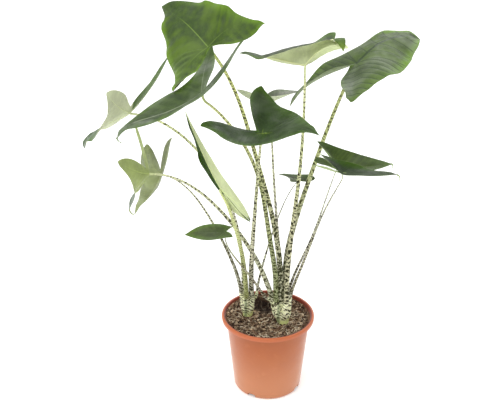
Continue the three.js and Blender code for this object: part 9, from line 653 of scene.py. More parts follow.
# ------------------------------------------------------------------ blades
# up, dark: the two greens of the upper side; mid: its midrib, how strong, and how far out it shows;
# side: its side veins; un: the underside; shade: a darker green on one part of the underside, painted shade on folded
# and top_centre and the green of the upper side on far_left's lobe
# glow, tint: how strong and what colour the painted glow of light through the margins is
# the grey patches of the upper side and the pale patches of the underside are painted reflections, set per leaf
LEAVES = {
    "crest": dict(up=(77, 101, 24), dark=(49, 69, 27), mid=((120, 148, 62), 0.75, 0.62), side=((55, 81, 28), 0.35), un=(157, 176, 107), puff=0.95, glow=0.55, bow=0.15, midw=0.9, tint=(112, 152, 22), gloss=0.14, highlight=0.04, ridge=0.4),
    "upper_left": dict(up=(63, 82, 35), dark=(43, 59, 28), mid=((146, 156, 130), 0.8, 1.0), side=((56, 77, 40), 0.3), un=(118, 138, 83), puff=0.3, glow=0.2, midw=1.6, gloss=0.15, highlight=0.26),
    "far_left": dict(up=(68, 95, 45), dark=(48, 71, 35), mid=((102, 125, 71), 0.5, 0.8), side=((62, 89, 43), 0.3), un=(200, 208, 168), puff=0.3, glow=0.3, shade=(94, 122, 60), gloss=0.15, highlight=0.2, ridge=0.3),
    "mid_left_front": dict(up=(60, 89, 36), dark=(44, 67, 31), mid=((96, 123, 65), 0.5, 0.8), side=((56, 85, 38), 0.3), un=(164, 178, 111), puff=0.2, glow=0.2, gloss=0.15, highlight=0.12, low=0.84, ridge=0.25, sheen_patches=0.1),
    "mid_left_rear": dict(up=(60, 90, 38), dark=(42, 66, 32), mid=((96, 124, 66), 0.5, 0.8), side=((56, 86, 40), 0.3), un=(148, 160, 108), puff=0.2, glow=0.2, gloss=0.15, highlight=0.1, low=0.74, ridge=0.2, sheen_patches=0.1),
    "front_centre": dict(up=(41, 65, 9), dark=(26, 46, 5), mid=((122, 140, 50), 0.75, 0.22), side=((40, 62, 24), 0.25), un=(117, 139, 74), puff=0.35, glow=0.25, gloss=0.15, highlight=0.14),
    "folded": dict(up=(54, 86, 8), dark=(42, 70, 6), mid=((100, 130, 60), 0.5, 0.8), side=((56, 86, 34), 0.3), un=(200, 210, 162), puff=0.2, glow=0.3, shade=(44, 74, 2), gloss=0.1, highlight=0.0, sheen_patches=0.0, sheen=0.02),
    "top_centre": dict(up=(80, 88, 66), dark=(56, 64, 54), mid=((102, 117, 78), 0.4, 0.8), side=((69, 83, 57), 0.3), un=(222, 231, 184), puff=0.3, glow=0.6, shade=(176, 190, 132), gloss=0.15, highlight=0.28),
    "low_left": dict(up=(83, 98, 45), dark=(61, 76, 38), mid=((97, 116, 70), 0.35, 0.8), side=((63, 83, 43), 0.3), un=(140, 158, 108), puff=0.2, glow=0.4, gloss=0.15, highlight=0.1),
    "top_right": dict(up=(71, 92, 32), dark=(49, 66, 26), mid=((39, 58, 25), 0.95, 1.0), side=((40, 58, 26), 0.7), un=(116, 134, 84), puff=0.16, glow=0.8, gx=(0.185, 0.235), bow=0.1, midw=3.4, sidew=2.6, tint=(108, 146, 34), gloss=0.15, highlight=0.2),
    "rear_centre": dict(up=(112, 113, 101), dark=(86, 91, 79), mid=((100, 120, 83), 0.4, 0.8), side=((76, 96, 63), 0.3), un=(178, 188, 152), puff=0.2, glow=0.2, gloss=0.15, highlight=0.25),
    "right_upper": dict(up=(74, 92, 39), dark=(54, 69, 31), mid=((96, 115, 63), 0.45, 0.9), side=((54, 74, 36), 0.3), un=(124, 147, 87), puff=0.2, glow=0.2, gloss=0.15, highlight=0.12),
    "right_lower": dict(up=(33, 50, 13), dark=(22, 40, 10), mid=((70, 93, 42), 0.45, 0.9), side=((29, 50, 15), 0.3), un=(156, 171, 122), puff=0.2, glow=0.2, gloss=0.12, highlight=0.04),
    "small_rear": dict(up=(69, 77, 48), dark=(50, 58, 35), mid=((92, 106, 75), 0.3, 0.8), side=((64, 82, 51), 0.3), un=(142, 154, 116), puff=0.1, glow=0.2, gloss=0.15, highlight=0.25),
}
# drip tips that curl beyond the blade: x, y, z and half width, in millimetres
TAILS = {
    "mid_left_front": [(-267.3, -18.5, 412.8, 1.0), (-268.0, -17.5, 406.4, 1.15), (-266.2, -16.0, 400.2, 1.1), (-262.5, -15.0, 396.9, 1.0), (-258.8, -15.0, 397.8, 0.85), (-256.5, -15.0, 401.0, 0.5)],
    "upper_left": [(-260.0, -158.5, 607.5, 1.6), (-258.9, -159.0, 604.8, 1.25), (-257.6, -159.2, 602.4, 1.0), (-255.2, -159.4, 600.0, 0.8), (-251.6, -159.3, 598.0, 0.6), (-247.2, -159.0, 597.2, 0.3)],
    "right_lower": [(204.6, -205.0, 559.6, 1.7), (207.4, -206.0, 558.6, 1.3), (209.6, -206.4, 555.6, 1.0), (210.0, -206.6, 552.0, 0.75), (208.0, -206.4, 548.6, 0.35)],
    "right_upper": [(209.4, -115.6, 543.0, 1.5), (212.2, -116.0, 541.2, 1.1), (213.2, -116.4, 538.0, 0.8), (211.2, -116.6, 534.4, 0.35)],
}
# the corner of a margin that has folded over and hangs in front of the blade: left side, right side
FLAPS = {
    "top_centre": (
        [(101.0, -46.8, 744.5), (106.2, -57.0, 746.3), (112.2, -65.5, 743.8), (117.8, -70.0, 737.2), (121.7, -71.5, 731.4)],
        [(125.4, -52.5, 750.0), (126.3, -60.0, 747.9), (125.7, -67.0, 743.4), (124.3, -71.0, 737.4), (122.5, -72.0, 731.6)],
    ),
}
SUB = 4          # points between two neighbours of a ring
RINGS = [0, 0.045, 0.10, 0.16, 0.22, 0.29, 0.36, 0.43, 0.50, 0.57, 0.64, 0.70, 0.76, 0.81, 0.86, 0.90, 0.94, 0.97, 0.99, 1.0]
# places of the outline with a sharp corner: 0 the drip tip, 20 and 42 the lobes, 31 the notch between them
CORNERS = {name: [0, 31, 62] for name in NETS}
CORNERS["crest"] = [0, 20, 31, 62]
CORNERS["right_upper"] = CORNERS["right_lower"] = [0, 20, 31, 42, 62]
NET_RF = [0, 0.10, 0.22, 0.36, 0.50, 0.64, 0.77, 0.89, 1.0]
THICK = 0.75


# small waves of a margin: place on the outline, how far it spreads, movement in millimetres, how
# steeply it dies out towards the middle of the blade (0: strongest half way out, none at the margin)
NUDGE = {
    "top_right": [(36.0, 4.5, (-0.6, -13.0, 6.6), 2.0), (26.0, 3.2, (-3.4, 0.0, 0.4), 2.0), (21.6, 1.0, (-2.8, 0.0, -2.4), 4.0), (17.6, 1.1, (2.0, 0.0, -3.4), 4.0), (62.0, 5.0, (1.0, 0.0, 0.4), 4.0), (19.6, 1.1, (1.2, 0.0, -0.8), 4.0), (9.0, 5.0, (0.8, 0.0, -1.0), 4.0)],
    "top_centre": [(10.0, 6.0, (0.0, -1.8, -4.2), 2.5), (54.0, 6.0, (0.0, 0.8, 1.8), 2.5)],
    "far_left": [(26.0, 4.0, (-1.9, 0.0, 0.0), 2.0)],
    "folded": [(0.0, 9.0, (3.6, 0.0, 0.3), 0.0), (17.0, 3.2, (-4.2, 0.0, -3.0), 2.0), (44.6, 3.6, (5.8, 0.0, 1.4), 2.0), (26.0, 4.0, (3.0, 0.0, 2.0), 1.5), (36.5, 3.5, (-1.0, 0.0, -0.6), 2.0), (20.4, 1.8, (6.4, 0.0, -0.4), 4.0), (42.0, 1.4, (-0.4, 0.0, -2.6), 4.0)],
    "upper_left": [(36.5, 4.0, (2.2, 0.0, -0.6), 2.0), (8.0, 6.0, (-0.6, 0.4, 1.4), 4.0)],
    "front_centre": [(34.0, 2.5, (2.0, 0.0, 0.0), 2.0), (28.5, 2.5, (0.0, -0.8, -1.6), 2.0), (52.0, 6.0, (0.6, 0.4, 1.2), 4.0)],
    "crest": [(8.0, 5.0, (-0.9, 0.0, 0.8), 4.0), (51.0, 6.0, (-1.4, 0.0, 0.0), 4.0), (14.5, 0.9, (0.8, 0.6, 1.6), 8.0), (40.0, 2.5, (-1.6, 0.0, 0.0), 3.0)],
}


def refine(name):
    """Fine grid of a blade: points (rings x rays), flat coordinates of the same points."""
    net = np.array(NETS[name], float).reshape(-1, 3) / 10.0
    flat = np.array(FLATS[name], float).reshape(-1, 2) / 10.0
    O = net[0]
    rings = net[1:].reshape(8, 62, 3)
    full = np.concatenate([np.repeat(O[None, None], 62, 1), rings], 0)        # 9 x 62 x 3
    closed = np.concatenate([full, full[:, :1]], 1)
    fl = np.concatenate([flat, flat[:1]], 0)
    cols, fcols = [], []
    for a, b in zip(CORNERS[name][:-1], CORNERS[name][1:]):
        q = np.linspace(a, b, (b - a) * SUB + 1)[:-1]
        cols.append(catmull(np.swapaxes(closed[:, a : b + 1], 0, 1), np.arange(a, b + 1), q))
        fcols.append(catmull(fl[a : b + 1], np.arange(a, b + 1), q))
    cols = np.swapaxes(np.concatenate(cols, 0), 0, 1)                         # 9 x m x 3
    flat = np.concatenate(fcols, 0)
    grid = catmull(cols, NET_RF, np.array(RINGS[1:]))
    for k0, width, move, power in NUDGE.get(name, []):
        d = (np.arange(len(flat)) / SUB - k0 + 31) % 62 - 31
        w = np.exp(-((d / width) ** 2))
        f = np.array(RINGS[1:])
        f = f ** power if power else 4 * f * (1 - f)
        grid += f[:, None, None] * w[None, :, None] * np.array(move)
    F2 = flat[None] * np.array(RINGS[1:])[:, None, None]
    return O, grid, F2


def blade(name):
    look = LEAVES[name]
    O, G, F2 = refine(name)
    nr, m = G.shape[:2]
    pts = np.concatenate([O[None], G.reshape(-1, 3)])
    flat = np.concatenate([np.zeros((1, 2)), F2.reshape(-1, 2)])
    frac = np.concatenate([[0.0], np.repeat(np.array(RINGS[1:]), m)])
    ids = 1 + np.arange(nr * m).reshape(nr, m)
    nxt = np.roll(ids, -1, axis=1)
    fan = np.stack([np.zeros(m, int), ids[0], nxt[0]], -1)
    quads = np.stack([ids[:-1], ids[1:], nxt[1:], nxt[:-1]], -1).reshape(-1, 4)

    def normals(P):
        N = np.zeros_like(P)
        for f in (fan, quads[:, :3], quads[:, [0, 2, 3]]):
            n = -np.cross(P[f[:, 1]] - P[f[:, 0]], P[f[:, 2]] - P[f[:, 0]])
            for k in range(3):
                np.add.at(N, f[:, k], n)
        return N / np.maximum(np.linalg.norm(N, axis=1), 1e-9)[:, None]

    # flat measures
    tip, right, left = F2[-1, 0], F2[-1, 20 * SUB], F2[-1, 42 * SUB]
    La = np.linalg.norm(tip)
    x, y = flat[:, 0], np.abs(flat[:, 1])
    spacing = La / 6.2
    v_front = (x - 0.50 * y - 0.0016 * y * y * 190 / La) / spacing
    bow = look.get("bow", 0.06)

    def along(v, p, bend):
        """distance along and away from a rib that runs to v, bowed towards the tip of the leaf"""
        L = np.linalg.norm(v)
        u = v / L
        w = np.array([-u[1], u[0]])
        if w[0] < 0:
            w = -w
        t = p @ u
        q = np.clip(t / L, 0, 1)
        d = np.abs(p @ w - bend * L * 4 * q * (1 - q))
        return t, np.where(t < 0, np.hypot(p[:, 0], p[:, 1]), np.where(t > L, np.hypot(*(p - v).T), d)), L

    def rib_line(v, bend, q):
        L = np.linalg.norm(v)
        u = v / L
        w = np.array([-u[1], u[0]])
        if w[0] < 0:
            w = -w
        return q[:, None] * v + (bend * L * 4 * q * (1 - q))[:, None] * w

    sm, dm, Lm = along(tip, flat, 0.0)
    sr, dr, Lr = along(right, flat, bow)
    sl, dl, Ll = along(left, flat, bow)
    s_back = np.where(flat[:, 1] > 0, sr, sl)
    d_back = np.where(flat[:, 1] > 0, dr, dl)
    v_back = (s_back - 0.5 * d_back) / (0.55 * spacing)
    costa = np.minimum(dr, dl)
    rib = np.minimum(dm, costa * 1.25)
    radius = np.concatenate([[1.0], np.repeat(np.linalg.norm(F2[-1], axis=1)[None], nr, 0).ravel()])
    edge = (1 - frac) * radius

    # relief: the surface swells between the side veins and dips along the main ribs
    N = normals(pts)
    phase = np.where(v_front > 0, v_front, v_back)
    puff = look["puff"] * 1.35 * La / 190
    swell = (0.5 - 0.5 * np.cos(2 * math.pi * phase)) * smooth(2, 16, rib) * smooth(0, 10, edge) * smooth(0.0, 0.15, np.abs(v_front))
    dip = np.exp(-((dm / (1.4 + 1.6 * (1 - np.clip(sm / La, 0, 1)))) ** 2)) * (1 - np.clip(sm / La, 0, 1)) * 0.6
    grain = np.array([noise.noise(Vector((p[0] * 0.045, p[1] * 0.045, p[2] * 0.045 + len(name)))) for p in pts])
    lift = puff * (swell - 0.4) - dip + 0.6 * look["puff"] * grain * smooth(2, 12, rib)
    lift = lift * smooth(0, 0.1, frac)
    mid = pts + N * lift[:, None]
    N = normals(mid)
    half = THICK * (0.5 - 0.22 * frac)
    upper = mid + N * half[:, None]
    lower = mid - N * half[:, None]
    n = len(pts)
    verts = [upper, lower]
    faces = [f[::-1].tolist() for f in fan] + [f[::-1].tolist() for f in quads]
    slots = [0] * len(faces)
    under = [(f + n).tolist() for f in fan] + [(f + n).tolist() for f in quads]
    faces += under
    slots += [1] * len(under)
    last = ids[-1]
    for k in range(m):
        a, b = last[k], last[(k + 1) % m]
        faces.append([a, b, b + n, a + n])
        slots.append(1)
    shade = np.zeros(n)
    # painted shade on folded: the right half of the underside and a band along the inner edge of the right lobe are
    # painted dark green where they lie in shade; the lobe tips take the same green
    if name == "folded":
        shade = smooth(0.5, 2.5, flat[:, 1]) * smooth(-14, -4, flat[:, 0])
        for lobe in (20, 42):
            d = np.linalg.norm(flat - F2[-1, lobe * SUB], axis=1)
            shade = np.maximum(shade, smooth(9, 3, d) * 0.8)
        for k in range(22 * SUB, 30 * SUB, 2):
            d = np.linalg.norm(flat - F2[-1, k], axis=1)
            shade = np.maximum(shade, smooth(8.5, 5.0, d) * 0.9)
    # painted shade on top_centre: the underside is painted darker towards the lobes, to even out the light that falls
    # there
    if name == "top_centre":
        shade = smooth(14, -46, flat[:, 0]) * 0.6
    # far_left: the green of the upper side, which shows on the lobe strip, is painted onto the underside there
    if name == "far_left":
        shade = smooth(1, 6, flat[:, 1]) * smooth(4, -8, flat[:, 0] - 0.35 * flat[:, 1])
    at = {
        "front": np.tile(v_front, 2), "back": np.tile(v_back, 2), "rib": np.tile(dm, 2), "costa": np.tile(costa, 2), "edge": np.tile(edge, 2),
        "reach": np.tile(np.hypot(flat[:, 0], flat[:, 1]) / La, 2), "flank": np.tile(np.sin(2 * math.pi * phase) * smooth(3, 14, rib) * smooth(0.0, 0.15, np.abs(v_front)), 2),
        "shade": np.tile(shade, 2), "ridge": np.zeros(2 * n),
    }
    count = 2 * n

    def extra(points, fc, slot, ridge=0.0, shade_value=0.0):
        """one more closed or half-sunk piece of the same blade"""
        nonlocal count
        verts.append(np.asarray(points, float))
        for f in fc:
            faces.append([count + i for i in f])
            slots.append(slot)
        nb = len(points)
        fill = {"ridge": ridge, "edge": 9.0, "front": 0.5, "back": 0.5, "rib": 30.0, "costa": 30.0, "reach": 0.5, "flank": 0.0, "shade": shade_value}
        for key in at:
            at[key] = np.concatenate([at[key], np.full(nb, fill[key]) if np.isscalar(fill[key]) else fill[key]])
        count += nb

    # the same surface sampled anywhere on the flat leaf
    ang = np.unwrap(np.arctan2(F2[-1, :, 1], F2[-1, :, 0]))
    rad = np.linalg.norm(F2[-1], axis=1)
    fr = np.array(RINGS)

    def sample(p):
        a = math.atan2(p[1], p[0])
        if p[1] < 0:
            a += 2 * math.pi
        cols = ang if ang[10] > ang[0] else -ang
        j = int(np.clip(np.searchsorted(cols, a) - 1, 0, m - 1))
        j2 = (j + 1) % m
        a0, a1 = cols[j], cols[j2] if j2 else cols[0] + 2 * math.pi
        w = 0.0 if a1 == a0 else float(np.clip((a - a0) / (a1 - a0), 0, 1))
        f = np.hypot(*p) / (rad[j] * (1 - w) + rad[j2] * w)
        i = int(np.clip(np.searchsorted(fr, f) - 1, 0, nr - 1))
        g = float(np.clip((f - fr[i]) / (fr[i + 1] - fr[i]), 0, 1))

        def at_ring(A, r, c):
            return A[0] if r == 0 else A[ids[r - 1, c]]

        out = []
        for A in (mid, N, half):
            lo = at_ring(A, i, j) * (1 - w) + at_ring(A, i, j2) * w
            hi = at_ring(A, i + 1, j) * (1 - w) + at_ring(A, i + 1, j2) * w
            out.append(lo * (1 - g) + hi * g)
        return out

    # the raised ribs of the underside: three tapering half-sunk cords from the stalk to the tip and lobes
    R0 = np.array(STALKS[name], float).reshape(-1, 4)[-1, 3] / 100.0
    for v, bend, reach, r0 in ((tip, 0.0, 0.97, 0.62 * R0 + 0.25), (right, bow, 0.9, 0.42 * R0 + 0.15), (left, bow, 0.9, 0.42 * R0 + 0.15)):
        q = np.linspace(0.0, reach, 44)
        got = [sample(p) for p in rib_line(v, bend, q)]
        P = np.array([g[0] for g in got])
        NN = np.array([g[1] for g in got])
        h = np.array([float(g[2]) for g in got])
        T = np.gradient(P, axis=0)
        T /= np.linalg.norm(T, axis=1)[:, None]
        NN -= (NN * T).sum(1)[:, None] * T
        NN /= np.linalg.norm(NN, axis=1)[:, None]
        S = np.cross(T, NN)
        r = r0 * (1 - q / reach) ** 0.75 + 0.12
        K = 9
        block, fc = [], []
        for i in range(len(q)):
            for k in range(K):
                a = math.pi * k / (K - 1)
                block.append(P[i] + S[i] * math.cos(a) * r[i] * 1.25 - NN[i] * (math.sin(a) * r[i] * 0.95 + h[i] - 0.12 * r[i] - 0.02))
        for i in range(len(q) - 1):
            for k in range(K - 1):
                fc.append([i * K + k, i * K + k + 1, (i + 1) * K + k + 1, (i + 1) * K + k])
        # closed over the top, inside the blade
        for i in range(len(q) - 1):
            fc.append([i * K + K - 1, i * K, (i + 1) * K, (i + 1) * K + K - 1])
        fc.append(list(range(K))[::-1])
        fc.append([(len(q) - 1) * K + k for k in range(K)])
        extra(block, fc, 1, 1.0)

    if name in TAILS:
        pts_t = np.array(TAILS[name])
        s_t = np.concatenate([[0], np.cumsum(np.linalg.norm(np.diff(pts_t[:, :3], axis=0), axis=1))])
        Q = catmull(pts_t, s_t, np.linspace(0, s_t[-1], 24))
        P, r = Q[:, :3], np.maximum(Q[:, 3], 0.2)
        T = np.gradient(P, axis=0)
        T /= np.linalg.norm(T, axis=1)[:, None]
        ref = np.array([0.0, 1.0, 0.0])
        block, fc = [], []
        for i in range(len(P)):
            S = np.cross(T[i], ref)
            S /= np.linalg.norm(S)
            D = np.cross(S, T[i])
            for k in range(8):
                a = 2 * math.pi * k / 8
                block.append(P[i] + S * math.cos(a) * r[i] + D * math.sin(a) * r[i] * 0.55)
        for i in range(len(P) - 1):
            for k in range(8):
                l = (k + 1) % 8
                fc.append([i * 8 + k, i * 8 + l, (i + 1) * 8 + l, (i + 1) * 8 + k])
        fc.append(list(range(8))[::-1])
        fc.append([(len(P) - 1) * 8 + k for k in range(8)])
        extra(block, fc, 1, 0.35)

    if name in FLAPS:
        lo, hi = (np.array(c, float) for c in FLAPS[name])
        tv = np.linspace(0, 1, len(lo))
        qv, qu = np.linspace(0, 1, 22), np.linspace(0, 1, 14)
        A, B = catmull(lo, tv, qv), catmull(hi, tv, qv)
        G2 = A[:, None] * (1 - qu)[None, :, None] + B[:, None] * qu[None, :, None]
        G2[..., 2] += (np.sin(math.pi * qu)[None] * 1.5 * (1 - qv)[:, None] ** 2)
        G2[..., 1] -= (np.sin(math.pi * qu)[None] * 2.0 * np.sin(math.pi * qv)[:, None])
        nv, nu = len(qv), len(qu)
        gu = np.gradient(G2, axis=1)
        gv = np.gradient(G2, axis=0)
        nn = np.cross(gu, gv)
        nn /= np.maximum(np.linalg.norm(nn, axis=2), 1e-9)[..., None]
        nn *= np.where(nn[..., 1:2] > 0, -1, 1)
        front_side, back_side = G2 + nn * 0.3, G2 - nn * 0.3
        block = np.concatenate([front_side.reshape(-1, 3), back_side.reshape(-1, 3)])
        fc_front, fc_back, rim_f = [], [], []
        off = nv * nu
        for i in range(nv - 1):
            for j in range(nu - 1):
                c4 = [i * nu + j, i * nu + j + 1, (i + 1) * nu + j + 1, (i + 1) * nu + j]
                fc_front.append(c4)
                fc_back.append([c + off for c in c4[::-1]])
        loop = [j for j in range(nu)] + [i * nu + nu - 1 for i in range(1, nv)] + [(nv - 1) * nu + j for j in range(nu - 2, -1, -1)] + [i * nu for i in range(nv - 2, 0, -1)]
        for c0, c1 in zip(loop, loop[1:] + loop[:1]):
            rim_f.append([c1, c0, c0 + off, c1 + off])
        # the front side shows the upper green, the back the underside
        normal0 = np.cross(block[1] - block[0], block[nu + 1] - block[1])
        if normal0 @ nn[0, 0] < 0:
            fc_front = [f[::-1] for f in fc_front]
            fc_back = [f[::-1] for f in fc_back]
            rim_f = [f[::-1] for f in rim_f]
        start_slot = len(slots)
        extra(block, fc_front + fc_back + rim_f, 1, 1.0)
        for i in range(len(fc_front)):
            slots[start_slot + i] = 0
        at["edge"][-len(block):] = np.tile(np.repeat(5.0 - 5.0 * qv, nu), 2)

    ob = make("blade_" + name, np.concatenate(verts), faces, [upper_material(name, spacing), under_material(name, spacing)], slots, at)
    return settle(ob, "blade_" + name)


def vein_lines(g, spacing, width):
    """1 on the side veins, 0 between them."""
    front = g.attr("front")
    back = g.attr("back")

    def dist(v, unit):
        f = g.math("FRACT", g.math("ADD", v, 0.5))
        return g.math("MULTIPLY", g.math("ABSOLUTE", g.math("SUBTRACT", f, 0.5)), unit)

    df = dist(front, spacing)
    db = dist(back, 0.55 * spacing)
    lf = g.ramp(df, 0.15 * width, width, 1.0, 0.0)
    lb = g.ramp(db, 0.15 * width, width, 1.0, 0.0)
    sel = g.math("GREATER_THAN", front, -0.04)
    both = g.math("ADD", g.math("MULTIPLY", lf, sel), g.math("MULTIPLY", lb, g.math("SUBTRACT", 1.0, sel)))
    return g.math("MULTIPLY", both, g.ramp(g.attr("edge"), 0.5, 7.0))


def fine_net(g, pos):
    """the net of the smallest veins"""
    return g.ramp(g.voronoi(pos, 420.0, "DISTANCE_TO_EDGE"), 0.0, 0.12, 1.0, 0.0)


def upper_material(name, spacing):
    look = LEAVES[name]
    g = Nodes("leaf_upper_" + name)
    pos = g.position()
    big = g.noise(pos, 13.0, 3.0, 0.55)
    base = g.mix(g.ramp(g.math("ADD", big, g.math("MULTIPLY", g.attr("flank"), 0.07)), 0.36, 0.66), srgb(*look["dark"]), srgb(*look["up"]))
    small = g.noise(pos, 95.0, 3.0, 0.6)
    base = g.mix(g.ramp(small, 0.3, 0.75, 0.0, 0.22), base, srgb(*[min(255, int(c * 1.25)) for c in look["up"]]))
    # painted glow: the margins are painted a lighter yellow-green, as light shining through them from behind would
    # make them; the mask below sets where along the margin it shows
    glow = g.math("MULTIPLY", g.ramp(g.attr("edge"), 1.0, 24.0, 1.0, 0.0), look["glow"])
    glow_spread = g.ramp(g.noise(pos, 9.0, 2.0), 0.40, 0.60, 0.05, 0.9)
    if "gx" in look:
        sep = g.new("ShaderNodeSeparateXYZ")
        g.link(pos, sep.inputs[0])
        glow_spread = g.ramp(sep.outputs["X"], look["gx"][0], look["gx"][1], 0.22, 0.95)
    base = g.mix(g.math("MULTIPLY", glow, glow_spread), base, srgb(*look.get("tint", (104, 148, 30))))
    lines = vein_lines(g, spacing, look.get("sidew", 1.0))
    color, strength = look["side"]
    base = g.mix(g.math("MULTIPLY", lines, strength), base, srgb(*color))
    color, strength, far = look["mid"]
    rib = g.ramp(g.attr("rib"), 0.25 * look.get("midw", 1.0), 1.5 * look.get("midw", 1.0), strength, 0.0)
    rib = g.math("MULTIPLY", rib, g.ramp(g.attr("reach"), far * 0.45, far, 1.0, 0.0 if far < 0.9 else 0.45))
    side_rib = g.math("MULTIPLY", g.ramp(g.attr("costa"), 0.3, 1.3, strength * 0.5, 0.0), g.ramp(g.attr("reach"), far * 0.2, far * 0.6, 1.0, 0.0))
    base = g.mix(g.math("MAXIMUM", rib, side_rib), base, srgb(*color))
    # painted highlight: soft grey patches of reflected light painted into the colour
    highlight_patch = g.math("ADD", g.noise(pos, 14.0, 3.0, 0.55, 0.4), g.math("MULTIPLY", g.attr("flank"), 0.012))
    base = g.mix(g.math("MULTIPLY", g.ramp(highlight_patch, 0.40, 0.74, 0.0, look["highlight"] * 1.25), g.math("SUBTRACT", 1.0, g.math("MULTIPLY", lines, 0.45))), base, srgb(168, 172, 164))
    rim = g.ramp(g.attr("edge"), 0.15, 0.9, 0.4, 0.0)
    base = g.mix(rim, base, srgb(124, 150, 74))
    # the folded-over corner takes the upper green, painted lighter yellow-green towards its tip like the painted glow
    # of the margins
    if name in FLAPS:
        base = g.mix(g.attr("ridge"), base, g.mix(g.ramp(g.attr("edge"), 0.0, 4.0), srgb(118, 144, 60), g.mix(g.ramp(small, 0.3, 0.7), srgb(58, 82, 24), srgb(76, 102, 36))))
    rough = g.ramp(g.noise(pos, 60.0, 3.0, 0.6), 0.3, 0.7, 0.33, 0.48)
    h = g.math("ADD", g.math("MULTIPLY", lines, -0.6), g.math("ADD", g.math("MULTIPLY", fine_net(g, pos), -0.12), g.math("MULTIPLY", small, 0.25)))
    return g.finish(base, rough, g.bump(h, 0.35, 0.0008), Specular_IOR_Level=look.get("gloss", 0.22))


def under_material(name, spacing):
    look = LEAVES[name]
    un = look["un"]
    g = Nodes("leaf_under_" + name)
    pos = g.position()
    big = g.noise(pos, 16.0, 3.0, 0.55)
    base = g.mix(g.ramp(big, 0.32, 0.7), srgb(*[int(c * look.get("low", 0.87)) for c in un]), srgb(*un))
    small = g.noise(pos, 110.0, 3.0, 0.6)
    base = g.mix(g.ramp(small, 0.3, 0.75, 0.0, 0.25), base, srgb(*[min(255, int(c * 1.1)) for c in un]))
    lines = vein_lines(g, spacing, 1.2)
    bright = tuple(min(255, int(c * 1.1 + 6)) for c in un)
    base = g.mix(g.math("MULTIPLY", lines, 0.16), base, srgb(*bright))
    # painted shade: the darker green is mixed in where the shade attribute is set (the upper side's green on far_left)
    if "shade" in look:
        dark = g.mix(g.ramp(big, 0.32, 0.7), srgb(*[int(c * 0.84) for c in look["shade"]]), srgb(*look["shade"]))
        base = g.mix(g.attr("shade"), base, dark)
    # painted sheen: pale whitish patches of reflected light on the underside
    base = g.mix(g.ramp(g.noise(pos, 22.0, 2.0, 0.5), 0.48, 0.66, 0.0, look.get("sheen_patches", 0.04)), base, srgb(222, 228, 206))
    ridge = g.attr("ridge")
    base = g.mix(g.math("MULTIPLY", ridge, look.get("ridge", 0.5)), base, srgb(min(255, bright[0] + 6), min(255, bright[1] + 10), int(bright[2] * 0.94)))
    rough = g.ramp(small, 0.3, 0.7, 0.46, 0.62)
    h = g.math("ADD", g.math("MULTIPLY", lines, 0.8), g.math("ADD", g.math("MULTIPLY", fine_net(g, pos), 0.15), g.math("MULTIPLY", small, 0.3)))
    return g.finish(base, rough, g.bump(h, 0.4, 0.0008), Specular_IOR_Level=look.get("sheen", 0.2))


# ------------------------------------------------------------------ stalks
# per stalk: pale colour low down and near the blade, dark colour, share of dark low and high,
# distance from band to band in millimetres low and high
BANDS = {
    "crest": dict(low=(218, 217, 184), high=(219, 224, 144), dark=(64, 66, 37), duty=(0.66, 0.34), pitch=(9.0, 7.0)),
    "upper_left": dict(low=(156, 164, 120), high=(223, 226, 160), dark=(59, 62, 19), duty=(0.55, 0.3), pitch=(8.0, 6.6)),
    "far_left": dict(low=(235, 231, 217), high=(212, 219, 159), dark=(86, 87, 44), duty=(0.5, 0.34), pitch=(9.0, 7.4)),
    "mid_left_front": dict(low=(217, 218, 187), high=(229, 230, 190), dark=(75, 74, 47), duty=(0.48, 0.36), pitch=(10.0, 7.6)),
    "mid_left_rear": dict(low=(190, 188, 168), high=(207, 209, 175), dark=(73, 70, 43), duty=(0.52, 0.42), pitch=(8.0, 6.8)),
    "front_centre": dict(low=(206, 204, 177), high=(222, 225, 177), dark=(41, 37, 6), duty=(0.5, 0.36), pitch=(9.5, 7.6)),
    "folded": dict(low=(180, 185, 126), high=(228, 235, 168), dark=(86, 92, 40), duty=(0.5, 0.05), pitch=(4.6, 4.6)),
    "top_centre": dict(low=(212, 209, 173), high=(221, 226, 169), dark=(39, 38, 6), duty=(0.54, 0.28), pitch=(10.5, 8.0)),
    "low_left": dict(low=(194, 190, 168), high=(164, 169, 125), dark=(76, 62, 41), duty=(0.5, 0.4), pitch=(7.0, 6.5)),
    "top_right": dict(low=(193, 192, 164), high=(194, 203, 134), dark=(76, 78, 45), duty=(0.5, 0.34), pitch=(11.0, 8.0)),
    "rear_centre": dict(low=(230, 227, 217), high=(226, 227, 188), dark=(85, 80, 67), duty=(0.48, 0.38), pitch=(9.0, 7.6)),
    "right_upper": dict(low=(208, 205, 184), high=(214, 219, 192), dark=(52, 46, 31), duty=(0.54, 0.42), pitch=(8.5, 7.0)),
    "right_lower": dict(low=(196, 193, 164), high=(194, 196, 170), dark=(74, 68, 50), duty=(0.52, 0.42), pitch=(8.5, 7.0)),
    "small_rear": dict(low=(214, 216, 190), high=(172, 176, 150), dark=(66, 59, 50), duty=(0.5, 0.42), pitch=(7.0, 6.5)),
}
SIDES = 20
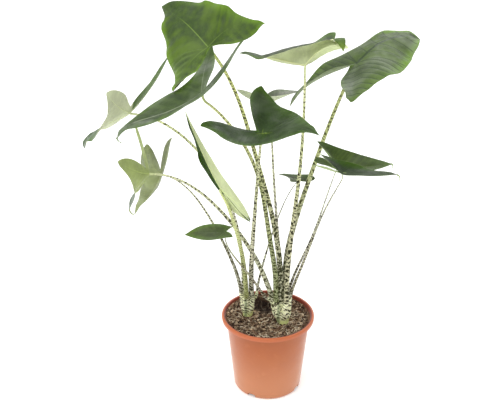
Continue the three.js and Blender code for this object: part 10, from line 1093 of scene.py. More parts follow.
# where a stalk stands a little aside of its middle line or is slimmer: place along it, sideways, scale
LEAN = {
    "right_upper": [(0.0, -2.2, 0.9), (0.08, -3.2, 0.86), (0.28, -2.4, 0.82), (0.45, -0.8, 0.82), (0.7, 0.2, 0.9), (1.0, 0.0, 1.0)],
    "right_lower": [(0.0, -2.6, 0.9), (0.08, -3.0, 0.86), (0.28, -1.2, 0.82), (0.45, -0.4, 0.82), (0.7, 0.0, 0.9), (1.0, 0.0, 1.0)],
    "mid_left_front": [(0.0, 0.0, 1.0), (0.06, -1.4, 1.0), (0.14, -2.0, 1.0), (0.3, -0.6, 1.0), (1.0, 0.0, 1.0)],
    "top_right": [(0.0, 0.0, 1.0), (0.1, -0.6, 1.05), (0.3, -1.0, 1.1), (0.6, 0.0, 1.05), (1.0, 0.0, 1.03)],
    "top_centre": [(0.0, 0.0, 1.0), (0.2, 0.0, 1.08), (0.6, 0.0, 1.06), (1.0, 0.0, 1.05)],
    "folded": [(0.0, 0.0, 1.0), (0.5, 0.0, 1.0), (0.8, 0.0, 0.86), (1.0, 0.0, 0.66)],
    "upper_left": [(0.0, 0.0, 1.0), (0.4, 0.0, 1.1), (1.0, 0.0, 1.2)],
    "far_left": [(0.0, 0.0, 1.0), (0.4, 0.0, 1.08), (1.0, 0.0, 1.2)],
}
for stalk_name, rows in LEAN.items():
    line = np.array(STALKS[stalk_name], float).reshape(-1, 4)
    along_line = np.concatenate([[0], np.cumsum(np.linalg.norm(np.diff(line[:, :3], axis=0), axis=1))])
    along_line /= along_line[-1]
    line[:, 0] += 100.0 * np.interp(along_line, [r[0] for r in rows], [r[1] for r in rows])
    line[:, 3] *= np.interp(along_line, [r[0] for r in rows], [r[2] for r in rows])
    STALKS[stalk_name] = line.ravel().tolist()


def zebra(g, band, share, where, warp=(0.05, 2.5, 0.20, 1.35), gate=(0.13, 0.38, 1.62), turn=None, sway=None):
    """1 on the dark bands: warped rings whose width swells and breaks."""
    w1 = g.noise(where, warp[0], 1.0, 0.5)
    w2 = g.noise(where, warp[2], 1.5, 0.55)
    v = g.math("ADD", band, g.math("ADD", g.math("MULTIPLY", w1, warp[1]), g.math("MULTIPLY", w2, warp[3])))
    tri = g.math("MULTIPLY", g.math("ABSOLUTE", g.math("SUBTRACT", g.math("FRACT", v), 0.5)), 2.0)
    gt = g.noise(where, gate[0], 1.5, 0.5, 0.3)
    limit = g.math("MULTIPLY", share, g.ramp(gt, 0.34, 0.66, gate[1], gate[2]))
    if turn is not None:
        # every other band leans to the other side of the stalk
        lean = g.math("MULTIPLY", g.math("MULTIPLY", turn, g.math("SINE", g.math("MULTIPLY", v, math.pi))), sway)
        limit = g.math("MULTIPLY", limit, g.math("ADD", 1.0, lean))
    return g.ramp(g.math("SUBTRACT", tri, limit), -0.07, 0.07, 1.0, 0.0)


def band_material(name, look):
    """Zebra bands: wavy rings along the stalk, swelling and breaking into spots."""
    g = Nodes("zebra_" + name)
    where = g.attr("zc", vector=True)
    t = g.attr("t")
    share = g.ramp(t, 0.0, 1.0, look["duty"][0], look["duty"][1], soft=False)
    share = g.math("MULTIPLY", share, g.ramp(t, 0.88, 0.98, 1.0, 0.12))
    sway = g.ramp(t, 0.15, 0.6, 0.3, 0.95)
    ink = zebra(g, g.attr("band"), share, where, turn=g.attr("turn"), sway=sway)
    low, high = look["low"], look["high"]
    pale = g.mix(g.ramp(t, 0.2, 0.8), srgb(*low), srgb(*high))
    mott = g.noise(where, 0.35, 2.0, 0.6)
    pale = g.mix(g.ramp(mott, 0.35, 0.7, 0.0, 0.4), pale, srgb(*[int(c * 0.84) for c in low]))
    pale = g.mix(g.ramp(t, 0.90, 1.0, 0.0, 0.6), pale, srgb(*[min(255, int(c * 1.04)) for c in LEAVES[name]["un"]]))
    soft = tuple(int(0.45 * d + 0.55 * h * 0.62) for d, h in zip(look["dark"], high))
    dark = g.mix(g.ramp(t, 0.45, 0.85), srgb(*look["dark"]), srgb(*soft))
    color = g.mix(ink, pale, dark)
    fine = g.noise(where, 1.6, 2.0)
    h = g.math("ADD", g.math("MULTIPLY", fine, 0.4), g.math("MULTIPLY", ink, 0.25))
    return g.finish(color, g.ramp(fine, 0.3, 0.7, 0.42, 0.58), g.bump(h, 0.35, 0.0006), Specular_IOR_Level=0.18)


def stalk(name):
    raw = np.array(STALKS[name], float).reshape(-1, 4) / 100.0
    s = np.concatenate([[0], np.cumsum(np.linalg.norm(np.diff(raw[:, :3], axis=0), axis=1))])
    count = max(60, int(s[-1] / 3.2))
    q = np.linspace(0, s[-1], count)
    P = catmull(raw, s, q)
    P, R = P[:, :3], P[:, 3]
    O = np.array(NETS[name][:3], float) / 10.0
    # the last millimetre runs into the blade and spreads a little
    P = np.concatenate([P, (O * 0.9 + P[-1] * 0.1)[None]])
    R = np.concatenate([R, [R[-1] * 0.9]])
    q = np.concatenate([q, [q[-1] + 1.2]])
    swell = np.exp(-((q[-1] - q) / 7.0) ** 2) * 0.12
    R = R * (1 + swell)
    T = np.gradient(P, axis=0)
    T /= np.linalg.norm(T, axis=1)[:, None]
    side = np.array([1.0, 0, 0])
    verts, zc, band, tt, turn = [], [], [], [], []
    look = BANDS[name]
    step = np.gradient(q)
    phase = np.cumsum(step / (look["pitch"][0] + (look["pitch"][1] - look["pitch"][0]) * q / q[-1]))
    seed = sum(ord(c) for c in name)
    for i in range(len(P)):
        side = side - (side @ T[i]) * T[i]
        side /= np.linalg.norm(side)
        other = np.cross(T[i], side)
        K = min(9.0, max(3.4, 1.7 * R[i]))
        for k in range(SIDES):
            a = 2 * math.pi * k / SIDES
            wave = 1 + 0.018 * math.sin(3 * a + q[i] * 0.02) + 0.012 * math.sin(q[i] * 0.11 + 2 * a)
            verts.append(P[i] + R[i] * wave * (side * math.cos(a) + other * math.sin(a)))
            zc.append((K * math.cos(a), K * math.sin(a) + seed, q[i] + 13.0 * (seed % 31)))
            band.append(phase[i] + 0.22 * math.sin(a + q[i] * 0.035 + seed))
            tt.append(q[i] / q[-1])
            turn.append(math.cos(a))
    faces = []
    for i in range(len(P) - 1):
        for k in range(SIDES):
            l = (k + 1) % SIDES
            faces.append([i * SIDES + k, i * SIDES + l, (i + 1) * SIDES + l, (i + 1) * SIDES + k])
    faces.append([k for k in range(SIDES)][::-1])
    faces.append([(len(P) - 1) * SIDES + k for k in range(SIDES)])
    ob = make("stalk_" + name, verts, faces, [band_material(name, look)], None, {"zc": np.array(zc), "band": np.array(band), "t": np.array(tt), "turn": np.array(turn)})
    return settle(ob, "stalk_" + name)


# ------------------------------------------------------------------ crowns
def table(rows, z, col=1):
    return float(np.interp(z, [r[0] for r in rows], [r[col] for r in rows]))


def crown(side_name):
    spec = CROWNS[side_name]
    top = spec["top"]
    discs = []
    for name, which in CROWN_OF.items():
        if which == side_name:
            raw = np.array(STALKS[name], float).reshape(-1, 4) / 100.0
            discs.append((name, raw))
    bm = bmesh.new()

    def loft(rings, cap=True):
        rows = [[bm.verts.new(Vector([float(c) for c in p]) * MM) for p in ring] for ring in rings]
        n = len(rows[0])
        for a, b in zip(rows[:-1], rows[1:]):
            for k in range(n):
                l = (k + 1) % n
                bm.faces.new([a[k], a[l], b[l], b[k]])
        bm.faces.new(rows[0][::-1])
        bm.faces.new(rows[-1])

    cx, cy = table(spec["axis"], top, 1), table(spec["axis"], top, 2)
    n = 64
    rings = []
    for z in np.concatenate([np.linspace(137, top, 22), [top + 1.5]]):
        zz = min(z, top)
        w = float(smooth(160, top - 2, zz))
        ax, ay = table(spec["axis"], zz, 1), table(spec["axis"], zz, 2)
        ring = []
        for k in range(n):
            a = 2 * math.pi * k / n
            dx, dy = math.cos(a), math.sin(a)
            reach = 4.0
            for _, raw in discs:
                px, py, R = raw[0, 0] - cx, raw[0, 1] - cy, raw[0, 3] + 0.9
                u, v = px * dx + py * dy, px * dy - py * dx
                if abs(v) < R:
                    reach = max(reach, u + math.sqrt(R * R - v * v))
            r = table(spec["radius"], zz) * (1 - w) + reach * w
            if z > top:
                r *= 0.8
            r *= 1 + 0.02 * math.sin(3 * a + z * 0.2)
            ring.append((ax + r * dx, ay + r * dy, z))
        rings.append(ring)
    loft(rings)
    # a sheath round the foot of each stalk, hugging it like a collar at its top
    for i, (name, raw) in enumerate(discs):
        s = np.concatenate([[0], np.cumsum(np.linalg.norm(np.diff(raw[:, :3], axis=0), axis=1))])
        up = 16.0 + 9.0 * ((i * 37) % 10) / 10.0
        q = np.linspace(0, up, 12)
        P = catmull(raw, s, q)
        first = P[0, :3].copy()
        low = np.array([[first[0] * (1 - f) + table(spec["axis"], first[2] - 22 * f, 1) * f, first[1] * (1 - f) + table(spec["axis"], first[2] - 22 * f, 2) * f, first[2] - 22 * f] for f in (0.85, 0.6, 0.3)])
        path = np.concatenate([low, P[:, :3]])
        rad = np.concatenate([[P[0, 3] * 0.75 + 0.4, P[0, 3] * 0.85 + 0.7, P[0, 3] + 0.85], P[:, 3] + 0.85 * (1 - (q / up)) ** 0.7 + 0.08])
        T = np.gradient(path, axis=0)
        T /= np.linalg.norm(T, axis=1)[:, None]
        sd = np.array([1.0, 0, 0])
        rows = []
        for j in range(len(path)):
            sd = sd - (sd @ T[j]) * T[j]
            sd /= np.linalg.norm(sd)
            ot = np.cross(T[j], sd)
            rows.append([path[j] + rad[j] * (sd * math.cos(2 * math.pi * k / 28) + ot * math.sin(2 * math.pi * k / 28)) for k in range(28)])
        loft(rows)
    me = bpy.data.meshes.new("crown")
    bm.to_mesh(me)
    bm.free()
    ob = bpy.data.objects.new("crown_tmp", me)
    bpy.context.scene.collection.objects.link(ob)
    md = ob.modifiers.new("r", "REMESH")
    md.mode = "VOXEL"
    md.voxel_size = 0.00062
    sm = ob.modifiers.new("s", "SMOOTH")
    sm.factor = 0.5
    sm.iterations = 3
    dg = bpy.context.evaluated_depsgraph_get()
    ev = ob.evaluated_get(dg)
    out = bpy.data.meshes.new_from_object(ev)
    bpy.data.objects.remove(ob)
    co = np.zeros(len(out.vertices) * 3, np.float32)
    out.vertices.foreach_get("co", co)
    co = co.reshape(-1, 3) / MM
    faces = [tuple(p.vertices) for p in out.polygons]
    bpy.data.meshes.remove(out)
    ax = np.interp(co[:, 2], [r[0] for r in spec["axis"]], [r[1] for r in spec["axis"]])
    ay = np.interp(co[:, 2], [r[0] for r in spec["axis"]], [r[2] for r in spec["axis"]])
    zc = np.stack([co[:, 0] - ax, co[:, 1] - ay, co[:, 2] + (300 if side_name == "left" else 0)], -1)
    spine, pitch = (-45.5, 6.4) if side_name == "left" else (20.5, 9.5)
    off = np.abs(co[:, 0] - spine)
    band = (co[:, 2] + 0.55 * np.sqrt(off ** 2 + 4.0)) / pitch
    t = np.clip((co[:, 2] - 154) / 45.0, 0, 1)
    mat = crown_material(side_name)
    ob = make("crown_" + side_name, co, faces, [mat], None, {"zc": zc, "band": band, "t": t, "height": co[:, 2] - SOIL_Z, "spine": off})
    return settle(ob, "crown_" + side_name)


def crown_material(side_name):
    left = side_name == "left"
    g = Nodes("zebra_crown_" + side_name)
    where = g.attr("zc", vector=True)
    height = g.attr("height")
    share = g.ramp(height, 4.0, 17.0, 0.03, 0.40 if left else 0.34)
    ink = zebra(g, g.attr("band"), share, where, (0.07, 2.2, 0.2, 1.3), (0.12, 0.5, 1.45))
    pale = g.mix(g.ramp(height, 3.0, 20.0), srgb(240, 250, 164), srgb(250, 250, 212))
    pale = g.mix(g.ramp(g.noise(where, 0.22, 2.0), 0.38, 0.66, 0.0, 0.4), pale, srgb(218, 226, 160))
    pale = g.mix(g.ramp(g.attr("spine"), 0.8, 4.5, 0.75, 0.0), pale, srgb(134, 152, 112))
    color = g.mix(ink, pale, srgb(58, 55, 28))
    fine = g.noise(where, 1.4, 2.0)
    return g.finish(color, g.ramp(fine, 0.3, 0.7, 0.45, 0.62), g.bump(g.math("ADD", fine, g.math("MULTIPLY", ink, 0.4)), 0.35, 0.0006), Specular_IOR_Level=0.22)


# ------------------------------------------------------------------ pot
SLOPE = (84.8 - 70.0) / 145.0
WALL = 1.9


def wall_out(z):
    return 70.0 + SLOPE * (z - 5)


# the inside of the rim and of the wall below it, from the top down: radius, height
MOUTH = [
    (90.4, 164.5), (89.7, 164.35), (89.1, 163.9), (88.7, 163.2), (88.5, 162.4), (88.1, 160.0), (87.7, 158.5), (87.1, 157.2), (86.3, 155.9), (85.3, 154.5), (84.2, 152.8),
] + [(wall_out(z) - WALL, z) for z in (150.5, 140, 120, 95, 70, 45, 25, 10)]


def inner_radius(z):
    rows = sorted((h, r) for r, h in MOUTH)
    return np.interp(z, [h for h, _ in rows], [r for _, r in rows])


def lathe(profile, n):
    """Rings of a closed profile of (radius, z), turned about the Z axis."""
    verts, ids = [], []
    for r, z in profile:
        if r == 0:
            ids.append([len(verts)])
            verts.append((0, 0, z))
        else:
            ids.append(list(range(len(verts), len(verts) + n)))
            verts += [(r * math.cos(2 * math.pi * k / n), r * math.sin(2 * math.pi * k / n), z) for k in range(n)]
    faces = []
    for a, b in zip(ids[:-1], ids[1:]):
        for k in range(n):
            l = (k + 1) % n
            if len(a) == 1 and len(b) == 1:
                break
            if len(a) == 1:
                faces.append([a[0], b[l], b[k]])
            elif len(b) == 1:
                faces.append([a[k], a[l], b[0]])
            else:
                faces.append([a[k], a[l], b[l], b[k]])
    return verts, faces


def pot():
    outer = [(0, 0), (32, 0), (61, 0), (64.6, 0.05), (66.4, 0.35), (67.9, 1.0), (69.0, 2.1), (69.7, 3.4), (70.0, 5.0)]
    outer += [(wall_out(z), z) for z in (8, 14, 24, 40, 60, 80, 100, 118, 132, 142, 148)]
    # the wall turns out into the rim, which hangs down again outside it
    outer += [(84.9, 150.2), (85.6, 151.8), (86.7, 153.6), (87.9, 155.1), (88.9, 156.5), (89.6, 158.0), (90.1, 159.6), (90.4, 160.9), (90.9, 161.7), (91.6, 162.1), (92.3, 162.15), (92.9, 161.8), (93.1, 161.2)]
    outer += [(93.1, 157.0), (93.2, 156.5), (93.55, 156.2), (94.1, 156.15), (94.55, 156.4), (94.78, 157.0), (94.95, 159.0), (95.0, 161.2), (94.85, 162.4), (94.4, 163.4), (93.7, 164.1), (92.8, 164.5), (91.6, 164.6)]
    inner = MOUTH + [(66.6, 7.2), (64.6, 6.3), (60, 6.0), (32, 6.0), (0, 6.0)]
    verts, faces = lathe(outer + inner, 192)
    ob = make("pot_tmp", verts, faces, [], None, None)
    cutters = []
    for i in range(4):
        turn = math.radians(-29.5 + i * 90) - math.pi / 2
        bm = bmesh.new()
        bmesh.ops.create_cube(bm, size=1.0)
        bmesh.ops.scale(bm, vec=Vector((24, 18, 16.0)) * MM, verts=bm.verts)
        bmesh.ops.bevel(bm, geom=[e for e in bm.edges if abs(e.verts[0].co.x - e.verts[1].co.x) > 1e-6 and e.verts[0].co.z > 0], offset=0.0011, segments=3, affect="EDGES")
        bmesh.ops.translate(bm, vec=Vector((68.0, 0, 0.0)) * MM, verts=bm.verts)
        c, s = math.cos(turn), math.sin(turn)
        for v in bm.verts:
            x, y = v.co.x, v.co.y
            v.co.x, v.co.y = c * x - s * y, s * x + c * y
        me = bpy.data.meshes.new("slot")
        bm.to_mesh(me)
        bm.free()
        co = bpy.data.objects.new("slot_tmp%d" % i, me)
        bpy.context.scene.collection.objects.link(co)
        cutters.append(co)
        md = ob.modifiers.new("cut%d" % i, "BOOLEAN")
        md.operation = "DIFFERENCE"
        md.solver = "EXACT"
        md.object = co
    dg = bpy.context.evaluated_depsgraph_get()
    out = bpy.data.meshes.new_from_object(ob.evaluated_get(dg))
    co = np.zeros(len(out.vertices) * 3, np.float32)
    out.vertices.foreach_get("co", co)
    faces = [tuple(p.vertices) for p in out.polygons]
    bpy.data.meshes.remove(out)
    for o in [ob] + cutters:
        bpy.data.objects.remove(o)
    ob = make("pot", co.reshape(-1, 3) / MM, faces, [pot_material()])
    # crisp edges only round the slots
    bm = bmesh.new()
    bm.from_mesh(ob.data)
    for e in bm.edges:
        if len(e.link_faces) == 2 and e.calc_face_angle(0) > math.radians(38):
            e.smooth = False
    bm.to_mesh(ob.data)
    bm.free()
    return settle(ob, "pot")


def pot_material():
    g = Nodes("terracotta_plastic")
    pos = g.position()
    sep = g.new("ShaderNodeSeparateXYZ")
    g.link(pos, sep.inputs[0])
    big = g.noise(pos, 9.0, 3.0, 0.5)
    base = g.mix(g.ramp(big, 0.3, 0.72), srgb(171, 90, 43), srgb(181, 99, 50))
    scuff = g.noise(pos, 55.0, 4.0, 0.65)
    base = g.mix(g.ramp(scuff, 0.52, 0.75, 0.0, 0.16), base, srgb(212, 140, 100))
    speck = g.noise(pos, 900.0, 2.0, 0.6)
    base = g.mix(g.ramp(speck, 0.55, 0.8, 0.0, 0.16), base, srgb(168, 90, 54))
    # the rim is a little redder, the inside of the mouth is painted dark as shade, and the foot dusty
    base = g.mix(g.ramp(sep.outputs["Z"], 0.1545, 0.1565, 0.0, 0.55), base, srgb(204, 108, 66))
    far = g.math("SQRT", g.math("ADD", g.math("MULTIPLY", sep.outputs["X"], sep.outputs["X"]), g.math("MULTIPLY", sep.outputs["Y"], sep.outputs["Y"])))
    deep = g.math("MULTIPLY", g.ramp(far, 0.0904, 0.0917, 1.0, 0.0), g.ramp(sep.outputs["Z"], 0.152, 0.1535))
    deep = g.math("MULTIPLY", deep, g.ramp(far, 0.080, 0.083))
    base = g.mix(g.math("MULTIPLY", deep, 0.86), base, srgb(134, 46, 30))
    low = g.ramp(sep.outputs["Z"], 0.0, 0.02, 0.3, 0.0)
    base = g.mix(g.math("MULTIPLY", low, g.ramp(scuff, 0.4, 0.7)), base, srgb(150, 100, 72))
    # fuller near the rim, paler towards the foot: painted light, bounced up from the floor
    base = g.mix(g.ramp(sep.outputs["Z"], 0.01, 0.14, 0.56, 0.0), base, srgb(216, 150, 110))
    # faint rings left by the mould
    rings = g.math("SINE", g.math("MULTIPLY", sep.outputs["Z"], 1500.0))
    h = g.math("ADD", g.math("MULTIPLY", speck, 0.5), g.math("ADD", g.math("MULTIPLY", rings, 0.05), g.math("MULTIPLY", scuff, 0.3)))
    return g.finish(base, g.ramp(scuff, 0.35, 0.7, 0.44, 0.58), g.bump(h, 0.22, 0.0005), Specular_IOR_Level=0.45, Sheen_Weight=0.68, Sheen_Roughness=0.32)


# ------------------------------------------------------------------ soil
def hollow(x, y):
    u = x + 10 + 4.0 * noise.noise(Vector((x * 0.08, y * 0.08, 3.0)))
    w = y - 47 + 7.0 * noise.noise(Vector((x * 0.07, y * 0.07, 9.0)))
    return 11.0 * math.exp(-((((u + 0.25 * w) / 20.0) ** 2 + (w / 25.0) ** 2) ** 1.25))


def soil_height(x, y):
    r = math.hypot(x, y)
    v = Vector((x, y, 0.0))
    wall = 0.5 + 0.5 * (y * 0.8 - x * 0.6) / max(r, 1.0)
    h = (3.2 + 2.3 * wall) * float(smooth(50, 85, r))
    rough = 1.0 - 0.55 * float(smooth(76, 86, r))
    h += rough * (1.5 * noise.noise(v * 0.045 + Vector((3, 1, 7))) + 1.3 * noise.noise(v * 0.11 + Vector((9, 4, 2))) + 1.2 * noise.noise(v * 0.26) + 0.9 * abs(noise.noise(v * 0.55 + Vector((5, 5, 5)))))
    h += 0.55 * noise.noise(v * 1.1 + Vector((1, 8, 3)))
    # a hollow behind the crowns with a little heap beyond it
    h -= hollow(x, y)
    h += 2.0 * math.exp(-(((x + 2) / 22.0) ** 2 + ((y - 78) / 7.0) ** 2))
    h -= 2.0 * math.exp(-(((x - 55) / 13.0) ** 2 + ((y - 22) / 24.0) ** 2))
    return SOIL_Z + h


def soil():
    rnd = random.Random(11)
    n, nr = 240, 96
    verts, faces = [], []
    edge, edge_z = [], []
    for k in range(n):
        a = 2 * math.pi * k / n
        z = min(soil_height(86.5 * math.cos(a), 86.5 * math.sin(a)), 161.2)
        edge.append(float(inner_radius(z)) - 0.3)
        edge_z.append(z)
    verts.append((0, 0, soil_height(0, 0)))
    for i in range(1, nr + 1):
        for k in range(n):
            a = 2 * math.pi * k / n
            r = edge[k] * i / nr
            x, y = r * math.cos(a), r * math.sin(a)
            w = float(smooth(80, 86, r))
            verts.append((x, y, soil_height(x, y) * (1 - w) + edge_z[k] * w))
    for k in range(n):
        faces.append([0, 1 + k, 1 + (k + 1) % n])
    for i in range(nr - 1):
        for k in range(n):
            l = (k + 1) % n
            a = 1 + i * n
            b = a + n
            faces.append([a + k, b + k, b + l, a + l])
    prev = 1 + (nr - 1) * n
    for f in (0.3, 0.6, 1.0, None, None, None, None, None):
        cur = len(verts)
        level = {3: 150.0, 4: 100.0, 5: 50.0, 6: 9.0, 7: 6.4}
        j = (cur - 1) // n - nr
        for k in range(n):
            a = 2 * math.pi * k / n
            z = edge_z[k] + (152.5 - edge_z[k]) * f if f is not None else level[j]
            r = float(inner_radius(z)) - 0.3 if z > 7 else 60.0
            verts.append((r * math.cos(a), r * math.sin(a), z))
        for k in range(n):
            l = (k + 1) % n
            faces.append([prev + k, cur + k, cur + l, prev + l])
        prev = cur
    faces.append([prev + k for k in range(n)][::-1])
    base_count = len(verts)
    kind = [0.0] * base_count
    tone = [0.5] * base_count

    def clear(x, y, pad):
        if math.hypot(x, y) > 86.8 - pad:
            return False
        if math.hypot(x + 41.5, y - 11) < 9.5 + pad * 0.6:
            return False
        return math.hypot(x - 30.5, y + 15) >= 11.5 + pad * 0.6

    # crumbs and chips of bark and peat
    def chip(x, y, size, t):
        z = soil_height(x, y)
        c = Vector((x, y, z + size * 0.10))
        ax = Vector((rnd.gauss(0, 1), rnd.gauss(0, 1), rnd.gauss(0, 0.5))).normalized()
        bx = ax.cross(Vector((rnd.gauss(0, 1), rnd.gauss(0, 1), rnd.gauss(0, 1)))).normalized()
        cx = ax.cross(bx)
        la, lb, lc = size * rnd.uniform(0.5, 1.0), size * rnd.uniform(0.28, 0.6), size * rnd.uniform(0.12, 0.4)
        i0 = len(verts)
        pts = []
        for (u, v, w) in ((1, 0, 0), (-1, 0, 0), (0, 1, 0), (0, -1, 0), (0, 0, 1), (0, 0, -1), (0.6, 0.6, 0.5), (-0.6, 0.5, -0.5), (0.5, -0.6, -0.5), (-0.5, -0.5, 0.6)):
            j = 0.75 + rnd.random() * 0.5
            pts.append(c + ax * (u * la * j) + bx * (v * lb * j) + cx * (w * lc * j))
        hull = bmesh.new()
        for p in pts:
            hull.verts.new(p)
        res = bmesh.ops.convex_hull(hull, input=hull.verts)
        hull.verts.index_update()
        used = {}
        for f in hull.faces:
            row = []
            for v in f.verts:
                if v not in used:
                    used[v] = len(verts)
                    verts.append(tuple(v.co))
                    kind.append(0.35)
                    tone.append(t)
                row.append(used[v])
            faces.append(row)
        hull.free()

    def fibre(x, y, length, width, t):
        heading = rnd.uniform(0, 2 * math.pi)
        bend = rnd.gauss(0, 0.24)
        steps = 7
        px, py = x, y
        line = []
        rise = rnd.uniform(0.1, 1.3)
        for i in range(steps):
            f = i / (steps - 1)
            line.append(Vector((px, py, soil_height(px, py) + width * 0.5 + rise * math.sin(math.pi * f) + rnd.uniform(0, 0.2))))
            heading += bend + rnd.gauss(0, 0.12)
            px += math.cos(heading) * length / (steps - 1)
            py += math.sin(heading) * length / (steps - 1)
        if not clear(px, py, 1.0):
            return
        rows = []
        for i, p in enumerate(line):
            d = (line[min(i + 1, steps - 1)] - line[max(i - 1, 0)]).normalized()
            s = d.cross(Vector((0, 0, 1))).normalized()
            u = s.cross(d)
            w = width * (0.35 + 0.65 * math.sin(math.pi * (0.12 + 0.76 * i / (steps - 1))))
            row = []
            for (a, b) in ((1, 0), (0, 0.5), (-1, 0), (0, -0.5)):
                row.append(len(verts))
                verts.append(tuple(p + s * (a * w * 0.5) + u * (b * w * 0.6)))
                kind.append(1.0)
                tone.append(t)
            rows.append(row)
        for r0, r1 in zip(rows[:-1], rows[1:]):
            for k in range(4):
                l = (k + 1) % 4
                faces.append([r0[k], r0[l], r1[l], r1[k]])
        faces.append(rows[0][::-1])
        faces.append(rows[-1])

    def spot(pad):
        while True:
            a, r = rnd.uniform(0, 2 * math.pi), 86.0 * math.sqrt(rnd.random())
            x, y = r * math.cos(a), r * math.sin(a)
            if clear(x, y, pad):
                return x, y

    for _ in range(1900):
        s = rnd.choice((1.4, 2.0, 2.8, 3.6, 4.6))
        x, y = spot(s * 0.5)
        chip(x, y, s, rnd.random() ** 2.3)
    for _ in range(260):
        s = rnd.uniform(4.0, 7.5)
        x, y = spot(s)
        chip(x, y, s, rnd.random() ** 1.8)
    chip(-79.0, 25.0, 7.0, 0.75)
    chip(-74.5, 31.0, 5.0, 0.55)
    for _ in range(340):
        x, y = spot(1.0)
        fibre(x, y, rnd.uniform(3.0, 9.0), rnd.uniform(0.7, 1.4), rnd.random() ** 1.4)
    for _ in range(240):
        x, y = spot(2.0)
        fibre(x, y, rnd.uniform(8.0, 19.0), rnd.uniform(1.2, 2.4), rnd.random())
    # how deep each point lies in the hollow, for the painted shade there
    deep = np.array([hollow(v[0], v[1]) / 11.0 for v in verts])
    ob = make("potting_soil", verts, faces, [soil_material()], None, {"kind": np.array(kind), "tone": np.array(tone), "deep": deep})
    return settle(ob, "potting_soil")


def soil_material():
    g = Nodes("peat")
    pos = g.position()
    kind, tone = g.attr("kind"), g.attr("tone")
    grain = g.noise(pos, 260.0, 4.0, 0.7)
    big = g.noise(pos, 45.0, 3.0, 0.6)
    patch = g.noise(pos, 80.0, 2.0, 0.6)
    earth = g.mix(g.ramp(grain, 0.38, 0.62), srgb(36, 22, 16), srgb(104, 76, 58))
    earth = g.mix(g.ramp(big, 0.42, 0.62, 0.0, 0.6), earth, srgb(134, 106, 82))
    chips = g.mix(g.ramp(tone, 0.0, 1.0), srgb(44, 29, 21), srgb(226, 198, 164))
    chips = g.mix(g.ramp(patch, 0.4, 0.62, 0.0, 0.55), chips, srgb(70, 54, 42))
    straw = g.mix(g.ramp(tone, 0.0, 1.0), srgb(142, 112, 84), srgb(246, 230, 204))
    straw = g.mix(g.ramp(grain, 0.3, 0.7, 0.0, 0.25), straw, srgb(150, 128, 100))
    color = g.mix(g.ramp(kind, 0.0, 0.35, soft=False), earth, chips)
    color = g.mix(g.ramp(kind, 0.35, 1.0, soft=False), color, straw)
    # painted shade: the hollow behind the crowns is painted darker
    color = g.mix(g.ramp(g.attr("deep"), 0.05, 0.5, 0.0, 0.84), color, srgb(36, 24, 20))
    fine = g.noise(pos, 900.0, 3.0, 0.7)
    h = g.math("ADD", g.math("MULTIPLY", grain, 1.0), g.math("MULTIPLY", fine, 0.6))
    return g.finish(color, g.ramp(fine, 0.3, 0.7, 0.82, 0.98), g.bump(h, 0.7, 0.0012), Specular_IOR_Level=0.2)


# ------------------------------------------------------------------ build
pot()
soil()
for side_name in CROWNS:
    crown(side_name)
for leaf_name in NETS:
    stalk(leaf_name)
    blade(leaf_name)

# ------------------------------------------------------------------ floor, light and camera
floor = make("floor", [(-9000, -9000, 0), (9000, -9000, 0), (9000, 12000, 0), (-9000, 12000, 0)], [[0, 1, 2, 3]], [])
g = Nodes("floor_pale")
fpos = g.position()
floor.data.materials.append(g.finish(g.mix(g.ramp(g.noise(fpos, 2.0, 2.0), 0.3, 0.7), (0.93, 0.93, 0.93, 1), (0.95, 0.95, 0.95, 1)), 0.7, None, Specular_IOR_Level=0.1, Emission_Color=(1.0, 1.0, 1.0, 1.0), Emission_Strength=0.2))

world = bpy.data.worlds.new("studio")
world.use_nodes = True
wt = world.node_tree
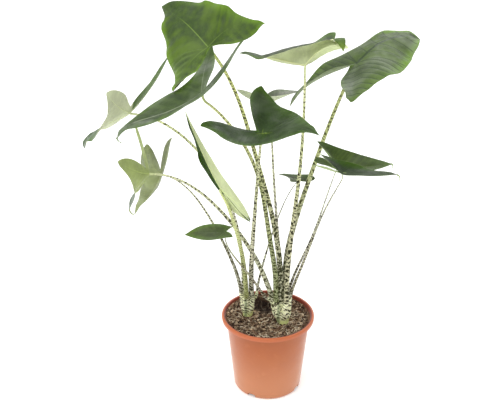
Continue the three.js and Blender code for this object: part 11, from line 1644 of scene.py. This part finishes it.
# a white room: darker where the camera stands, brighter behind and above the plant
w_coord = wt.nodes.new("ShaderNodeTexCoord")
w_sep = wt.nodes.new("ShaderNodeSeparateXYZ")
wt.links.new(w_coord.outputs["Generated"], w_sep.inputs[0])
w_range = wt.nodes.new("ShaderNodeMapRange")
w_range.inputs["From Min"].default_value = -0.9
w_range.inputs["From Max"].default_value = 0.35
w_range.inputs["To Min"].default_value = 0.42
w_range.inputs["To Max"].default_value = 0.95
wt.links.new(w_sep.outputs["Y"], w_range.inputs["Value"])
w_rise = wt.nodes.new("ShaderNodeMapRange")
w_rise.inputs["From Min"].default_value = 0.1
w_rise.inputs["From Max"].default_value = 0.62
w_rise.inputs["To Min"].default_value = 0.5
w_rise.inputs["To Max"].default_value = 1.3
wt.links.new(w_sep.outputs["Z"], w_rise.inputs["Value"])
w_mul = wt.nodes.new("ShaderNodeMath")
w_mul.operation = "MULTIPLY"
wt.links.new(w_range.outputs["Result"], w_mul.inputs[0])
wt.links.new(w_rise.outputs["Result"], w_mul.inputs[1])
wt.nodes["Background"].inputs["Color"].default_value = (1.0, 1.0, 1.0, 1)
wt.links.new(w_mul.outputs[0], wt.nodes["Background"].inputs["Strength"])
bpy.context.scene.world = world
bpy.context.scene.view_settings.view_transform = "Standard"
bpy.context.scene.view_settings.look = "None"

sun = bpy.data.lights.new("sun", "SUN")
sun.energy = 1.5
sun.angle = math.radians(70)
sun_ob = bpy.data.objects.new("sun", sun)
bpy.context.scene.collection.objects.link(sun_ob)
sun_ob.location = (-0.6, -0.8, 2.5)
sun_ob.rotation_euler = (Vector((0, 0, 0)) - Vector((-0.55, -0.8, 2.4))).to_track_quat("-Z", "Y").to_euler()


def area(name, where, aim, size, power, color=(1, 1, 1)):
    lamp = bpy.data.lights.new(name, "AREA")
    lamp.shape = "RECTANGLE"
    lamp.size, lamp.size_y = size
    lamp.energy = power
    lamp.color = color
    ob = bpy.data.objects.new(name, lamp)
    bpy.context.scene.collection.objects.link(ob)
    ob.location = where
    ob.rotation_euler = (Vector(aim) - Vector(where)).to_track_quat("-Z", "Y").to_euler()
    return ob


area("key", (-1.2, -1.0, 2.2), (0, 0, 0.45), (1.0, 1.0), 9)
area("back", (0.6, 1.6, 1.8), (0, 0, 0.4), (1.4, 1.2), 8)

cam = bpy.data.cameras.new("camera")
cam.sensor_fit = "HORIZONTAL"
cam.sensor_width = 36.0
cam.lens = 61.50
cam.clip_start = 0.05
cam.clip_end = 60.0
view = bpy.data.objects.new("camera", cam)
bpy.context.scene.collection.objects.link(view)
view.location = (-0.0368, -1.5, 1.1049)
view.rotation_euler = (math.radians(90.0 - 24.53), 0.0, 0.0)
bpy.context.scene.camera = view
